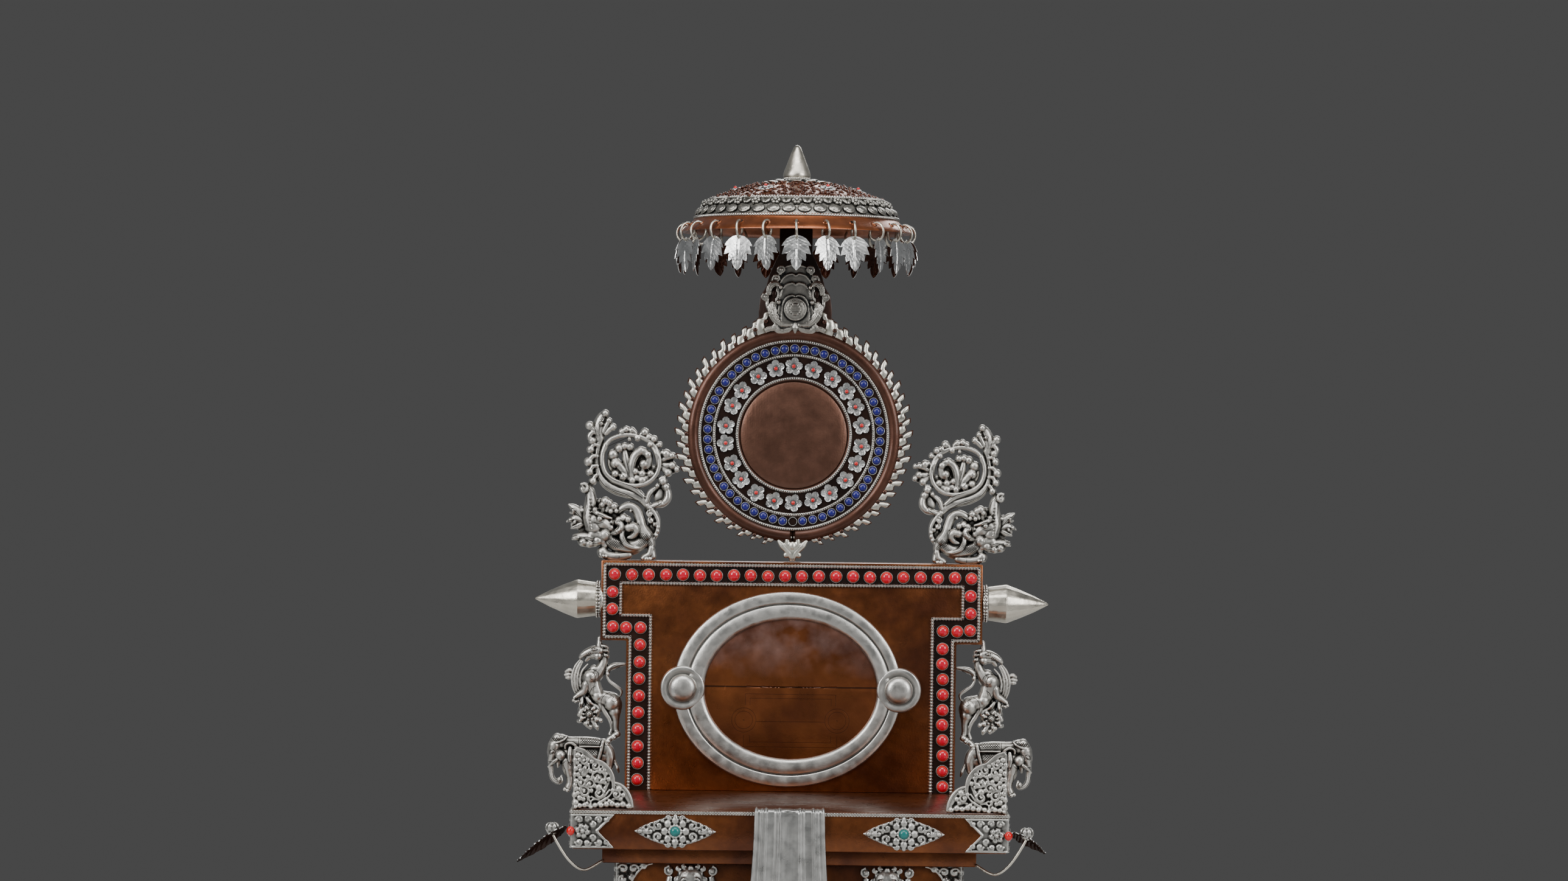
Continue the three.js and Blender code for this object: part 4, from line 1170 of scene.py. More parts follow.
halo = {
    "centre": 354.4,
    "rim": 70.0,
    "front": 77.0,
    "back": 80.5,
    "rings": (62.0, 52.5, 37.4),
    "lapis": 54,
    "flowers": 22,
    "flames": 25,
}


def around(angle, radius, y=0.0):
    turn = radians(angle)
    return Vector((radius * sin(turn), y, halo["centre"] + radius * cos(turn)))


# One flame as a closed outline: across in millimetres along the rim, and out from it.
flameSide = [
    (3.6, -1.4), (3.4, 0.4), (2.8, 1.7), (2.0, 3.5), (1.2, 5.0), (0.5, 6.1), (-0.3, 6.6), (-1.2, 6.3),
    (-2.1, 5.9), (-3.1, 6.4), (-3.5, 7.9), (-3.8, 9.3), (-4.8, 10.2), (-5.9, 10.3), (-7.1, 10.6), (-7.0,
    9.0), (-6.6, 7.6), (-5.9, 5.6), (-4.9, 4.0), (-4.0, 2.8), (-3.0, 1.9), (-2.4, 0.6), (-2.6, -1.4)
]


def makeFlames():
    for copper in (False, True):
        bm = bmesh.new()
        for side in (1, -1):
            for i in range(halo["flames"]):
                angle = 17.5 + i * (168.5 - 17.5) / (halo["flames"] - 1)
                size = 1.0 - 0.30 * max(0.0, (i - 19) / 5) - 0.05 * (i % 2)
                reach = 1.0 - 0.42 * max(0.0, (i - 18) / 6) - (0.12 if i < 3 else 0) - 0.10 * (i % 2)
                # the uppermost flames climb the foot of the neck
                climb = (6.5, 3.2, 1.0)[i] if i < 3 else 0
                corners = []
                for across, out in flameSide:
                    grow = 0.95 if copper else 0.87
                    a = angle + degreesOn((across + 0.9) * size * (1.10 if copper else 1.0) - 0.6)
                    corners.append(
                        (
                            a,
                            min(
                                79.4, halo["rim"] - 1.2 + out * reach * (grow if out > 0 else 1)
                            ) + (climb if out > 0 else 0)
                        )
                    )
                verts = []
                for a, r in corners:
                    spot = around(a * side, r)
                    verts.append(bm.verts.new((spot.x, 77.3 if copper else 76.6, spot.z)))
                face = bm.faces.new(verts if side < 0 else verts[::-1])
                grown = bmesh.ops.extrude_face_region(bm, geom=[face])
                moved = [g for g in grown["geom"] if isinstance(g, bmesh.types.BMVert)]
                bmesh.ops.translate(bm, vec=(0, 2.6 if copper else 1.4, 0), verts=moved)
                if not copper:
                    # the front is raised in the middle of the flame
                    bmesh.ops.inset_individual(bm, faces=[face], thickness=0.35, depth=0.5)
        # Each flame's eye: a copper rim, and in the silver pass a near-black dot that is painted shade in the hole.
        holes = bmesh.new()
        for side in (1, -1):
            for i in range(halo["flames"]):
                angle = 17.5 + i * (168.5 - 17.5) / (halo["flames"] - 1) - degreesOn(3.7)
                spot = around(
                    angle * side,
                    halo["rim"] + (0.7 if copper else 0.9) + ((6.5, 3.2, 1.0)[i] if i < 3 else 0)
                )
                ball(holes, (spot.x, spot.z), 1.35 if copper else 0.85, 75.9, 0.25 if copper else 0.55, 12)
        finished(
            holes, "flameEyeRims" if copper else "flameEyeShade", [haloCopper if copper else channelCopper],
            sharp=0
        )
        name = "flameEdges" if copper else "flames"
        if copper:
            finished(bm, name, [haloCopper])
        else:
            finished(bm, name, [flameSilver], sharp=70)


def degreesOn(length):
    return length / halo["rim"] * 180 / pi


def makeHaloPlate():
    h = halo
    front = h["front"]
    bm = bmesh.new()
    # A swelling copper rim between the outer bead ring and the flames, cleft at the foot.
    rimProfile = [
        (0.0, 3.4), (70.4, 3.4), (70.8, 0.6), (70.2, -0.6), (68.6, -2.0), (66.4, -2.7), (64.4, -2.3),
        (63.0, -0.9), (61.8, 0.0), (36.6, 0.0), (36.0, 0.4), (0.0, 0.4)
    ]

    def place(u, v):
        turn = 2 * pi * u
        at = v * (len(rimProfile) - 1)
        low = min(int(at + 1e-6), len(rimProfile) - 2)
        r = rimProfile[low][0] + (rimProfile[low + 1][0] - rimProfile[low][0]) * (at - low)
        y = rimProfile[low][1] + (rimProfile[low + 1][1] - rimProfile[low][1]) * (at - low)
        away = abs((turn - pi) * r)
        if r > 62.5 and y < 2:
            y += 2.2 * max(0.0, 1 - away / 1.8) ** 0.7 - 0.7 * max(0.0, 1 - abs(away - 2.6) / 2.2)
            y += 0.35 * noise.noise(Vector((sin(turn) * 5, cos(turn) * 5, 2)))
        return Vector((r * sin(turn), front + y, h["centre"] + r * cos(turn)))

    mapped(bm, 220, len(rimProfile) - 1, place)
    finished(bm, "haloRim", [haloCopper], ["halo_plate"])

    bm = bmesh.new()
    profile = [
        (0, -1.9), (12, -1.85), (22, -1.6), (30, -1.1), (34.4, -0.5), (35.6, 0.1), (35.6, 0.9), (0, 0.9)
    ]
    lathe(bm, profile, (0, front, h["centre"]), segments=96)
    finished(bm, "mirrorDisc", [mirrorCopper], sharp=0)

    # The neck behind the crest carries the parasol, and a lotus foot stands on the panel.
    bm = bmesh.new()
    half = [
        (23.4, 414), (24.2, 436), (23.2, 446), (19.4, 452), (17.0, 461), (13.2, 469.6), (11, 474),
        (10.6, 507.8)
    ]
    sheet(bm, fullOutline(half)[::-1], front + 0.1, h["back"] + 0.5, 0.5)
    # The neck takes the near-black copper: its own dark brown, darkened further as painted shade behind the crest.
    finished(bm, "haloNeck", [channelCopper])
    bm = bmesh.new()
    for sx in (1, -1):
        tube(
            bm, [(sx * 0.5, 273), (sx * 2.2, 277), (sx * 6.6, 281.6), (sx * 9.6, 285.2)],
            [1.6, 2.2, 2.4, 1.0], 76.6, 0.7
        )
        tube(
            bm, [(sx * 0.3, 278), (sx * 2.8, 281.4), (sx * 3.4, 285.6), (sx * 0.6, 287.6)],
            [1.0, 1.7, 1.7, 1.0], 76.0, 0.8
        )
        ball(bm, (sx * 4.2, 275.2), 2.0, 76.8, 0.7, 10)
    tube(bm, [(0, 271.3), (0, 279)], [2.2, 3.4], 77.2, 0.6)
    ball(bm, (0, 281.6), (2.4, 3.0), 75.8, 0.7, 12)
    bm = fused(bm, 0.45, 1, back=77.6)
    finished(bm, "haloFoot", [flameSilver, haloCopper], sharp=0)


def makeJewelledRing():
    h = halo
    face = h["front"] - 0.3
    for radius, name in zip(h["rings"], ("Outer", "Middle", "Inner")):
        bm = bmesh.new()
        count = round(2 * pi * radius / 1.45)
        beadRing(bm, Vector((0, face - 1.0, h["centre"])), radius, count, 1.22, squash=0.44)
        lathe(
            bm, [(radius - 1.0, 0), (radius + 1.0, 0), (radius + 1.0, -1.0), (radius - 1.0, -1.0)],
            (0, face, h["centre"]), segments=96, closed=True
        )
        node = ["jewelled_ring"] if name == "Outer" else []
        finished(bm, "beadRing" + name, [beadSilver], node, sharp=0)
    bm = bmesh.new()
    bed = [(53, 0.1), (61.6, 0.1), (61.6, -0.5), (53, -0.5)]
    lathe(bm, bed, (0, face, h["centre"]), segments=96, closed=True)
    lathe(
        bm, [(37.8, 0.1), (52, 0.1), (52, -0.4), (37.8, -0.4)], (0, face, h["centre"]), segments=96,
        closed=True
    )
    finished(bm, "ringBed", [channelCopper])

    shaky = random.Random(11)
    stones, cups = bmesh.new(), bmesh.new()
    for i in range(h["lapis"]):
        spot = around(
            180 + i * 360 / h["lapis"] + (shaky.uniform(-0.3, 0.3) if i else 0),
            56.9 + shaky.uniform(-0.15, 0.15)
        )
        wall = [(2.6, 0.3), (2.95, 0.2), (3.0, -1.0), (2.75, -1.2), (2.55, -0.9), (2.5, 0.2)]
        lathe(cups, wall, (spot.x, face - 0.4, spot.z), segments=18, closed=True)
        if i:
            ball(stones, (spot.x, spot.z), 2.66, face - 0.7, 0.70, 16)
    finished(stones, "ringLapis", [lapisStone], sharp=0)
    finished(cups, "ringCups", [greySilver], sharp=0)

    petals, eyes = bmesh.new(), bmesh.new()
    for i in range(h["flowers"]):
        spot = around(i * 360 / h["flowers"] + shaky.uniform(-1, 1), 45.0 + shaky.uniform(-0.4, 0.4))
        start = shaky.uniform(-0.35, 0.35) + (pi if i > 5 and i < 17 else 0)
        for k in range(5):
            a = start + 2 * pi * k / 5

            def petal(u, v):
                t, s = v, u * 2 - 1
                half = 2.45 * sin(pi * (0.05 + 0.65 * t)) ** 0.6
                reach = 0.8 + 5.3 * t * (1 - 0.24 * s * s - 0.08 * max(0.0, 1 - abs(s) / 0.22))
                cup = 0.9 * t + 0.45 * s * s * t - 0.12 * cos(s * 12) * t
                out, side = Vector((sin(a), 0, cos(a))), Vector((cos(a), 0, -sin(a)))
                return Vector(
                    (spot.x, face - 0.9 - cup * 0.75 - 0.12 * (k % 2), spot.z)
                ) + out * reach + side * (s * half)

            mapped(petals, 12, 6, petal, 0.0005)
        ball(eyes, (spot.x, spot.z), 1.3, face - 2.0, 0.9, 12)
        lathe(
            petals, [(1.2, 0.4), (1.6, 0.4), (1.55, -0.9), (1.25, -0.9)], (spot.x, face - 1.2, spot.z),
            segments=12, closed=True
        )
    bmesh.ops.recalc_face_normals(petals, faces=petals.faces)
    bmesh.ops.solidify(petals, geom=petals.faces[:], thickness=0.35)
    finished(petals, "ringFlowers", [petalSilver], sharp=45)
    finished(eyes, "flowerCorals", [smallCoral], sharp=0)


# A plume: fine ribs side by side that taper to a rounded end.
def plume(bm, path, widths, y, ribs=4, lift=1.0, rib=0.42, end=None):
    points = spots(path, y)

    def offset(t, s):
        heading = wayAt(points, min(t + 0.02, 1)) - wayAt(points, max(t - 0.02, 0))
        side = heading.cross(Vector((0, 1, 0))).normalized()
        spot = wayAt(points, t) + side * (s * along(widths, t))
        return (spot.x, spot.z, spot.y - lift * (1 - s * s))

    tube(bm, path, [w * 0.9 for w in widths], y, lift / max(widths) * 1.1, steps=16, sides=10)
    for k in range(ribs):
        s = -0.82 + 1.64 * k / (ribs - 1)
        tube(bm, [offset(t / 7, s) for t in range(8)], [rib, rib * 1.1, rib], steps=16, sides=6)
    if end:
        ball(bm, (path[-1][0], path[-1][1]), end, y - lift * 0.6, 0.8, 10)


def makeJewelCrest():
    y = halo["front"] - 0.2
    bm = bmesh.new()
    # Four layered clouds, the widest at the back.
    for half, low, high, lift in (
        (13.6, 431, 466.4, 0.6), (12.6, 430, 460.6, 1.3), (11.4, 428, 454.6, 2.0), (9.6, 427, 446.6, 2.8)
    ):
        outline = []
        for i in range(25):
            s = -1 + 2 * i / 24
            body = (1 - abs(s) ** 3.2) ** 0.5
            cleft = 1.2 * max(0, 1 - abs(s) / 0.16)
            outline.append((half * s, low + (high - low) * (0.30 + 0.70 * body) - cleft))
        outline += [(half * 0.9, low), (-half * 0.9, low)]
        sheet(bm, outline, y - lift, y + 0.6)
        tube(bm, outline[1:24], [0.42], y - lift, steps=48, sides=6)
    lathe(
        bm,
        [
            (0, 0.5), (7.6, 0.5), (7.6, -4.0), (7.1, -4.7), (6.6, -4.2), (6.2, -4.5), (4.4, -4.9),
            (4.1, -4.6), (0, -5.1)
        ],
        (0, y, 437.2), segments=40
    )
    for k in range(-3, 4):
        w = sqrt(3.6**2 - (k * 1.05) ** 2)
        tube(bm, [(-w, 437.2 + k * 1.05), (w, 437.2 + k * 1.05)], [0.26], y - 5.0, sides=6)
    for sx in (1, -1):
        plume(
            bm,
            [(sx * 2.2, 427), (sx * 8.6, 427.4), (sx * 14.0, 432), (sx * 15.2, 438.4), (sx * 13.4, 441.8)],
            [1.0, 2.4, 3.0, 3.0, 2.2], y - 1.6, 5, 1.3, 0.4
        )
        ball(bm, (sx * 11.0, 441.9), 1.7, y - 3.0, 0.9, 10)
        plume(
            bm, [(sx * 1.0, 426.6), (sx * 5.0, 423.6), (sx * 10.6, 423.2), (sx * 14.2, 427.2)],
            [0.9, 2.1, 2.4, 2.2], y - 1.4, 5, 1.1, 0.36
        )
        plume(
            bm, [(sx * 10.4, 424.2), (sx * 16.0, 424.4), (sx * 20.0, 422.8)], [1.8, 1.9, 1.7], y - 1.4, 4,
            1.0, 0.36
        )
        tube(bm, [(sx * 16.6, 434), (sx * 18.6, 440), (sx * 18.2, 445)], [1.0, 1.4, 1.1], y - 1.0, 0.8)
        scroll(bm, (sx * 19.8, 445.4), 2.7, 90 - sx * 180, 90 - sx * 180 + sx * 560, 0.85, y - 1.6, eye=1.0)
        plume(
            bm, [(sx * 17.6, 446.4), (sx * 17.0, 451.6), (sx * 13.6, 454.2), (sx * 10.2, 452.2)],
            [1.5, 2.1, 2.0, 1.1], y - 1.8, 4, 1.2, 0.4
        )
        ball(bm, (sx * 9.8, 451.6), 1.5, y - 3.0, 0.9, 10)
        scroll(bm, (sx * 12.6, 457.4), 2.9, 270, 270 + sx * 560, 0.9, y - 1.6, eye=1.0)
        tube(bm, [(sx * 15.6, 452), (sx * 15.4, 457), (sx * 13.0, 460.4)], [1.0, 1.0, 0.6], y - 1.0, 0.8)
        scroll(bm, (sx * 9.4, 463.2), 3.1, 270, 270 + sx * 560, 0.95, y - 1.7, eye=1.1)
    tube(bm, [(0, 430), (0, 425), (0, 420.6)], [1.2, 2.3, 0.4], y - 1.8, 0.8)
    bm = fused(bm, 0.40, 1, back=y + 0.05)
    finished(bm, "jewelCrest", [crestSilver, haloCopper], ["jewel_crest"], sharp=0)
    # A near-black spot in each hollow of the crest: painted shade.
    bm = bmesh.new()
    for sx in (1, -1):
        ball(bm, (sx * 14.1, 447.2), (1.8, 2.8), y - 1.0, 0.5, 12)
    finished(bm, "crestHollowShade", [channelCopper], sharp=0)


flameSilver = silverFinish("flameSilver", (0.62, 0.60, 0.53), (0.06, 0.05, 0.04), 0.36, 0.0016, 0.10, 240)
petalSilver = silverFinish(
    "petalSilver", (0.46, 0.46, 0.45), (0.02, 0.02, 0.02), 0.34, 0.0014, 0.3, 700, openFrom=0.45
)
crestSilver = silverFinish(
    "crestSilver", (0.42, 0.40, 0.36), (0.020, 0.020, 0.020), 0.36, 0.0020, 0.20, 900
)


def engravedField():
    f = Finish("fieldCopper", 0.82, 0.27)
    broad = f.grain(26, 4, 0.32, 0.70, twist=0.5)
    tone = f.mixed(broad, (0.090, 0.022, 0.006), (0.215, 0.064, 0.015))
    parts = f.node("ShaderNodeSeparateXYZ")
    f.join(f.place, parts.inputs[0])

    def sum2(operation, a, b=None):
        step = f.node("ShaderNodeMath", operation=operation)
        for value, socket in ((a, step.inputs[0]), (b, step.inputs[1])):
            if value is None:
                continue
            if isinstance(value, (int, float)):
                socket.default_value = value
            else:
                f.join(value, socket)
        return step.outputs[0]

    # Each engraved line is 1 on the line and falls to 0 beside it.
    x, z = parts.outputs["X"], parts.outputs["Z"]
    lines = []

    def ringLine(cx, cz, radius):
        dx, dz = sum2("SUBTRACT", x, cx), sum2("SUBTRACT", z, cz)
        far = sum2("SQRT", sum2("ADD", sum2("MULTIPLY", dx, dx), sum2("MULTIPLY", dz, dz)))
        lines.append(sum2("ABSOLUTE", sum2("SUBTRACT", far, radius)))

    def straight(x0, z0, x1, z1):
        low = (min(x0, x1), min(z0, z1))
        high = (max(x0, x1), max(z0, z1))
        offX = sum2("MAXIMUM", sum2("SUBTRACT", low[0], x), sum2("SUBTRACT", x, high[0]))
        offZ = sum2("MAXIMUM", sum2("SUBTRACT", low[1], z), sum2("SUBTRACT", z, high[1]))
        lines.append(sum2("MAXIMUM", sum2("MAXIMUM", offX, offZ), 0.0))

    for sx in (-1, 1):
        ringLine(sx * 0.0306, 0.1668, 0.0080)
        ringLine(sx * 0.0306, 0.1668, 0.0058)
        ringLine(sx * 0.0306, 0.1668, 0.0003)
        straight(sx * 0.0266, 0.1812, sx * 0.0266, 0.1768)
        straight(sx * 0.0296, 0.1840, sx * 0.0296, 0.1768)
        straight(sx * 0.0266, 0.1566, sx * 0.0266, 0.1524)
        straight(sx * 0.0306, 0.1566, sx * 0.0306, 0.1492)
    straight(-0.0226, 0.1660, 0.0226, 0.1660)
    straight(-0.0266, 0.1812, 0.0266, 0.1812)
    straight(-0.0296, 0.1840, 0.0296, 0.1840)
    straight(-0.0266, 0.1524, 0.0266, 0.1524)
    straight(-0.0306, 0.1492, 0.0306, 0.1492)
    nearest = lines[0]
    for line in lines[1:]:
        nearest = sum2("MINIMUM", nearest, line)
    cut = f.ranged(nearest, 0.00008, 0.00030, 1.0, 0.0)
    tone = f.mixed(f.ranged(cut, 0, 1, 0.0, 0.6), tone, (0.030, 0.009, 0.003))
    # the seam across the middle
    seam = f.ranged(sum2("ABSOLUTE", sum2("SUBTRACT", z, 0.1888)), 0.0002, 0.0007, 1.0, 0.0)
    tone = f.mixed(f.ranged(seam, 0, 1, 0.0, 0.85), tone, (0.010, 0.003, 0.001))
    # painted sheen: towards the top the field is painted paler and greyer in clouds, as the reflection of a lamp
    # above
    sheenTowardsTop = f.ranged(z, 0.190, 0.222)
    clouds = f.mixed(0.5, f.grain(34, 3, 0.35, 0.65), f.grain(90, 2, 0.3, 0.7))
    paintedSheen = f.mixed(1.0, sheenTowardsTop, clouds, "MULTIPLY")
    tone = f.mixed(f.ranged(paintedSheen, 0.1, 0.8, 0.0, 0.75), tone, (0.34, 0.20, 0.17))
    f.colour(tone)
    f.bump(f.ranged(cut, 0, 1, 1.0, 0.0), 0.25, 0.0002)
    f.bump(f.grain(30, 2, 0.2, 0.8), 0.45, 0.0014)
    f.bump(f.grain(700, 2, 0.3, 0.7), 0.10, 0.0003)
    f.rough(f.ranged(f.grain(80, 4, 0.3, 0.7), 0, 1, 0.22, 0.40))
    f.shader.inputs["Coat Weight"].default_value = 0.25
    f.shader.inputs["Coat Roughness"].default_value = 0.2
    return f.material


fieldCopper = engravedField()
makeBackPanel()
makeCoralBorder()
makeOval()
makeBolsters()
print("panel ready")
makeHaloPlate()
makeFlames()
makeJewelledRing()
makeJewelCrest()
print("halo ready")


# ---- parasol

parasol = {
    "axis": 80.0,
    "pendants": 24,
    "ring": 5.75,
    "wire": 0.85,
    "leafLength": 23.0,
    "leafWidth": 19.2,
    "thickness": 0.45,
}


def makeCanopy():
    # From the crown down the outside, round the brim and back up the inside.
    shell = [
        (0, 521.9), (14, 520.6), (26, 518.2), (40, 513.6), (52, 509.2), (60, 505.2), (66.6, 497.6),
        (67.4, 495.8), (69.4, 493.6), (73.0, 490.8), (75.9, 488.2), (76.0, 487.4), (75.2, 487.3),
        (72.2, 489.6), (68.4, 492.4),
        (66.0, 494.6), (58.8, 503.4), (50, 508.0), (38, 512.4), (24, 516.6), (12, 519.0), (0, 520.2),
    ]
    at = (0, parasol["axis"], 0)
    bm = bmesh.new()
    lathe(bm, shell, at, "Z", 144)
    for v in bm.verts:
        # The brim is hammered and not quite even.
        if v.co.z < 496:
            v.co.z += 0.35 * noise.noise(v.co * 0.05)
    finished(bm, "canopyShell", [brimCopper], ["parasol_canopy"], sharp=50)

    # A raised eye round each hole in the brim.
    rims, holes = bmesh.new(), bmesh.new()
    for i in range(parasol["pendants"]):
        turn = 2 * pi * i / parasol["pendants"]
        out = Vector((sin(turn), -cos(turn), 0))
        slope = (out * 0.66 + Vector((0, 0, 0.75))).normalized()
        spot = out * 71.6 + Vector((0, parasol["axis"], 492.2))
        place = Matrix.Translation(spot) @ slope.to_track_quat("Z", "Y").to_matrix().to_4x4()
        for bm, radius, height in ((rims, 2.2, 0.55), (holes, 1.45, 0.7)):
            made = bmesh.ops.create_cone(
                bm, cap_ends=True, segments=14, radius1=radius, radius2=radius * 0.8, depth=height,
                matrix=place
            )
    finished(rims, "brimEyes", [brimCopper])
    # A near-black disc in each hole: painted shade seen through the hole.
    finished(holes, "brimHoles", [holeShade])

    # Dense copper curls fill the dome between the band and the crown.
    shaky = random.Random(5)
    bm = bmesh.new()
    rows = [
        (56.2, 508.6, 56), (52.2, 510.2, 52), (48.0, 511.7, 48), (43.8, 513.2, 44), (39.6, 514.6, 40),
        (35.4, 516.0, 36), (31.2, 517.2, 32), (27.4, 518.2, 28)
    ]
    for row, (radius, z, count) in enumerate(rows):
        for i in range(count):
            turn = 2 * pi * (i + 0.5 * (row % 2) + shaky.uniform(-0.25, 0.25)) / count
            out = Vector((sin(turn), -cos(turn), 0))
            across = Vector((cos(turn), sin(turn), 0))
            spot = out * (radius + shaky.uniform(-0.8, 0.8)) + Vector(
                (0, parasol["axis"], z + shaky.uniform(0.0, 0.6))
            )
            size = shaky.uniform(1.5, 2.1)
            lean = shaky.uniform(0, 2 * pi)
            # a small hook with a bead in its eye
            hook = []
            for k in range(6):
                a = lean + k * 1.0
                r = size * (1 - 0.09 * k)
                hook.append(
                    spot + across * (r * cos(a)) + out * (r * 0.8 * sin(a)) + Vector(
                        (0, 0, 0.55 + 0.10 * k - 0.28 * r * 0.8 * sin(a))
                    )
                )
            tube(
                bm, [(p.x, p.z, p.y) for p in hook], [0.62, 0.62, 0.4], steps=6, sides=4,
                up=Vector((0, 0, 1))
            )
            bead(bm, spot + Vector((0, 0, 1.2)), size * 0.42)
    finished(bm, "canopyCurls", [curlCopper], sharp=0)

    # Silver flower studs with a coral eye, on the curls.
    studs, eyes = bmesh.new(), bmesh.new()
    for i in range(6):
        turn = radians(30 + 60 * i)
        out = Vector((sin(turn), -cos(turn), 0))
        across = Vector((cos(turn), sin(turn), 0))
        spot = out * 40.5 + Vector((0, parasol["axis"], 515.4))
        for k in range(8):
            a = 2 * pi * k / 8
            petal = spot + across * (4.0 * cos(a)) + out * (3.8 * sin(a)) + Vector((0, 0, -1.3 * sin(a)))
            made = bmesh.ops.create_uvsphere(studs, u_segments=10, v_segments=6, radius=1.75)
            bmesh.ops.transform(
                studs, matrix=Matrix.Translation(petal) @ Matrix.Diagonal((1, 1, 0.5, 1)),
                verts=made["verts"]
            )
        made = bmesh.ops.create_uvsphere(studs, u_segments=12, v_segments=8, radius=2.5)
        bmesh.ops.transform(
            studs,
            matrix=Matrix.Translation(spot + Vector((0, 0, 0.4))) @ Matrix.Diagonal((1, 1, 0.5, 1)),
            verts=made["verts"]
        )
        ball(eyes, (spot.x, spot.z + 1.7, spot.y), 1.15, 0, 1.0, 12)
    finished(studs, "canopyStuds", [leafSilver], sharp=0)
    finished(eyes, "canopyCorals", [smallCoral], sharp=0)


def makeBand():
    at = Vector((0, parasol["axis"], 0))
    bm = bmesh.new()
    profile = [
        (67.2, 496.2), (66.2, 498.2), (61.6, 504.2), (57.0, 508.4), (56.4, 507.8), (60.4, 503.4),
        (65.4, 497.2)
    ]
    lathe(bm, profile, at, "Z", 144, closed=True)
    # a row of hanging petals below, and rosettes between leaves above
    for i in range(40):
        turn = 2 * pi * (i + 0.5) / 40
        out = Vector((sin(turn), -cos(turn), 0))
        across = Vector((cos(turn), sin(turn), 0))
        down = (Vector((0, 0, -0.80)) + out * 0.60).normalized()
        face = (out * 0.80 + Vector((0, 0, 0.60))).normalized()
        low = at + out * 64.6 + Vector((0, 0, 501.0))
        frameOf = Matrix((across, -down, face)).transposed().to_4x4()
        for lift, grow, shift in ((0.5, 1.0, 0.0), (1.0, 0.66, 0.2)):
            made = bmesh.ops.create_uvsphere(bm, u_segments=10, v_segments=6, radius=1.0)
            move = Matrix.Translation(
                low + face * lift + down * shift
            ) @ frameOf @ Matrix.Diagonal((4.7 * grow, 3.4 * grow, 0.9, 1))
            bmesh.ops.transform(bm, matrix=move, verts=made["verts"])
    for i in range(28):
        turn = 2 * pi * i / 28
        out = Vector((sin(turn), -cos(turn), 0))
        across = Vector((cos(turn), sin(turn), 0))
        up = (Vector((0, 0, 0.72)) - out * 0.69).normalized()
        face = (out * 0.69 + Vector((0, 0, 0.72))).normalized()
        mid = at + out * 60.6 + Vector((0, 0, 505.9))
        for k in range(6):
            a = 2 * pi * k / 6
            made = bmesh.ops.create_uvsphere(bm, u_segments=8, v_segments=5, radius=1.35)
            spot = mid + across * (2.1 * cos(a)) + up * (2.1 * sin(a)) + face * 0.5
            bmesh.ops.transform(bm, matrix=Matrix.Translation(spot), verts=made["verts"])
        bead(bm, mid + face * 1.4, 1.3)
        for s in (1, -1):
            tilt = Matrix.Rotation(s * 0.7, 4, face)
            made = bmesh.ops.create_uvsphere(bm, u_segments=8, v_segments=5, radius=1.0)
            frameOf = Matrix((across, up, face)).transposed().to_4x4()
            move = Matrix.Translation(
                mid + across * (s * 5.2) + face * 0.4
            ) @ tilt @ frameOf @ Matrix.Diagonal((1.3, 2.9, 0.8, 1))
            bmesh.ops.transform(bm, matrix=move, verts=made["verts"])
    finished(bm, "parasolBand", [crestSilver], ["parasol_band"], sharp=0)
    bm = bmesh.new()
    for radius, z, count in ((67.0, 496.9, 230), (57.4, 508.9, 200)):
        beadRing(bm, at + Vector((0, 0, z)), radius, count, 1.12, "Z")
        lathe(
            bm,
            [
                (radius - 0.9, z - 0.9), (radius + 0.6, z - 0.9), (radius + 0.6, z + 0.3),
                (radius - 0.9, z + 0.3)
            ],
            at, "Z", 96, closed=True
        )
    finished(bm, "bandBeads", [beadSilver], sharp=0)


def makeFinial():
    at = (0, parasol["axis"], 0)
    bm = bmesh.new()
    for count, radius, z, long, wide, start in (
        (12, 15.6, 520.2, 7.2, 4.4, 0), (8, 10.0, 521.6, 6.0, 4.0, 0.3)
    ):
        for i in range(count):
            turn = 2 * pi * i / count + start
            out = Vector((sin(turn), -cos(turn), 0))
            across = Vector((cos(turn), sin(turn), 0))
            frameOf = Matrix((across, out, Vector((0, 0, 1)))).transposed().to_4x4()
            for lift, grow in ((0.0, 1.0), (0.55, 0.66)):
                made = bmesh.ops.create_uvsphere(bm, u_segments=12, v_segments=8, radius=1.0)
                spot = Vector(at) + out * radius + Vector((0, 0, z + lift))
                move = Matrix.Translation(spot) @ Matrix.Rotation(0.16, 4, across * -1) @ frameOf @ Matrix.Diagonal(
                    (wide * grow, long * grow, 0.75, 1)
                )
                bmesh.ops.transform(bm, matrix=move, verts=made["verts"])
    lathe(bm, [(0, 519.6), (19.4, 519.0), (19.6, 519.6), (8, 523.6), (0, 523.8)], at, "Z", 48)
    bm = fused(bm, 0.5, 1)
    finished(bm, "parasolLotus", [chasedSilver], sharp=0)
    bm = bmesh.new()
    cone = [
        (0, 523.0), (7.0, 523.2), (8.6, 523.9), (9.15, 525.2), (9.0, 526.6), (8.4, 528.6), (5.9, 535.2),
        (3.7, 541.0), (2.4, 544.0), (1.3, 545.2), (0, 545.6)
    ]
    lathe(bm, cone, at, "Z", 64)
    finished(bm, "finialCone", [warmSilver], ["parasol_finial"], sharp=0)
    bm = bmesh.new()
    beadRing(bm, Vector(at) + Vector((0, 0, 523.5)), 8.4, 40, 0.75, "Z")
    finished(bm, "finialBeads", [beadSilver], sharp=0)


# Half of the leaf's toothed edge, in shares of its half-width and of its length.
leafEdge = [
    (0.0, 0.0), (0.16, 0.01), (0.4, 0.04), (0.66, 0.11), (0.84, 0.2), (1.0, 0.31), (0.8, 0.31), (0.9,
    0.43), (0.98, 0.55), (0.74, 0.49), (0.6, 0.5), (0.66, 0.62), (0.62, 0.74), (0.44, 0.64), (0.34, 0.66),
    (0.37, 0.76), (0.3, 0.86), (0.16, 0.94), (0.0, 1.0)
]


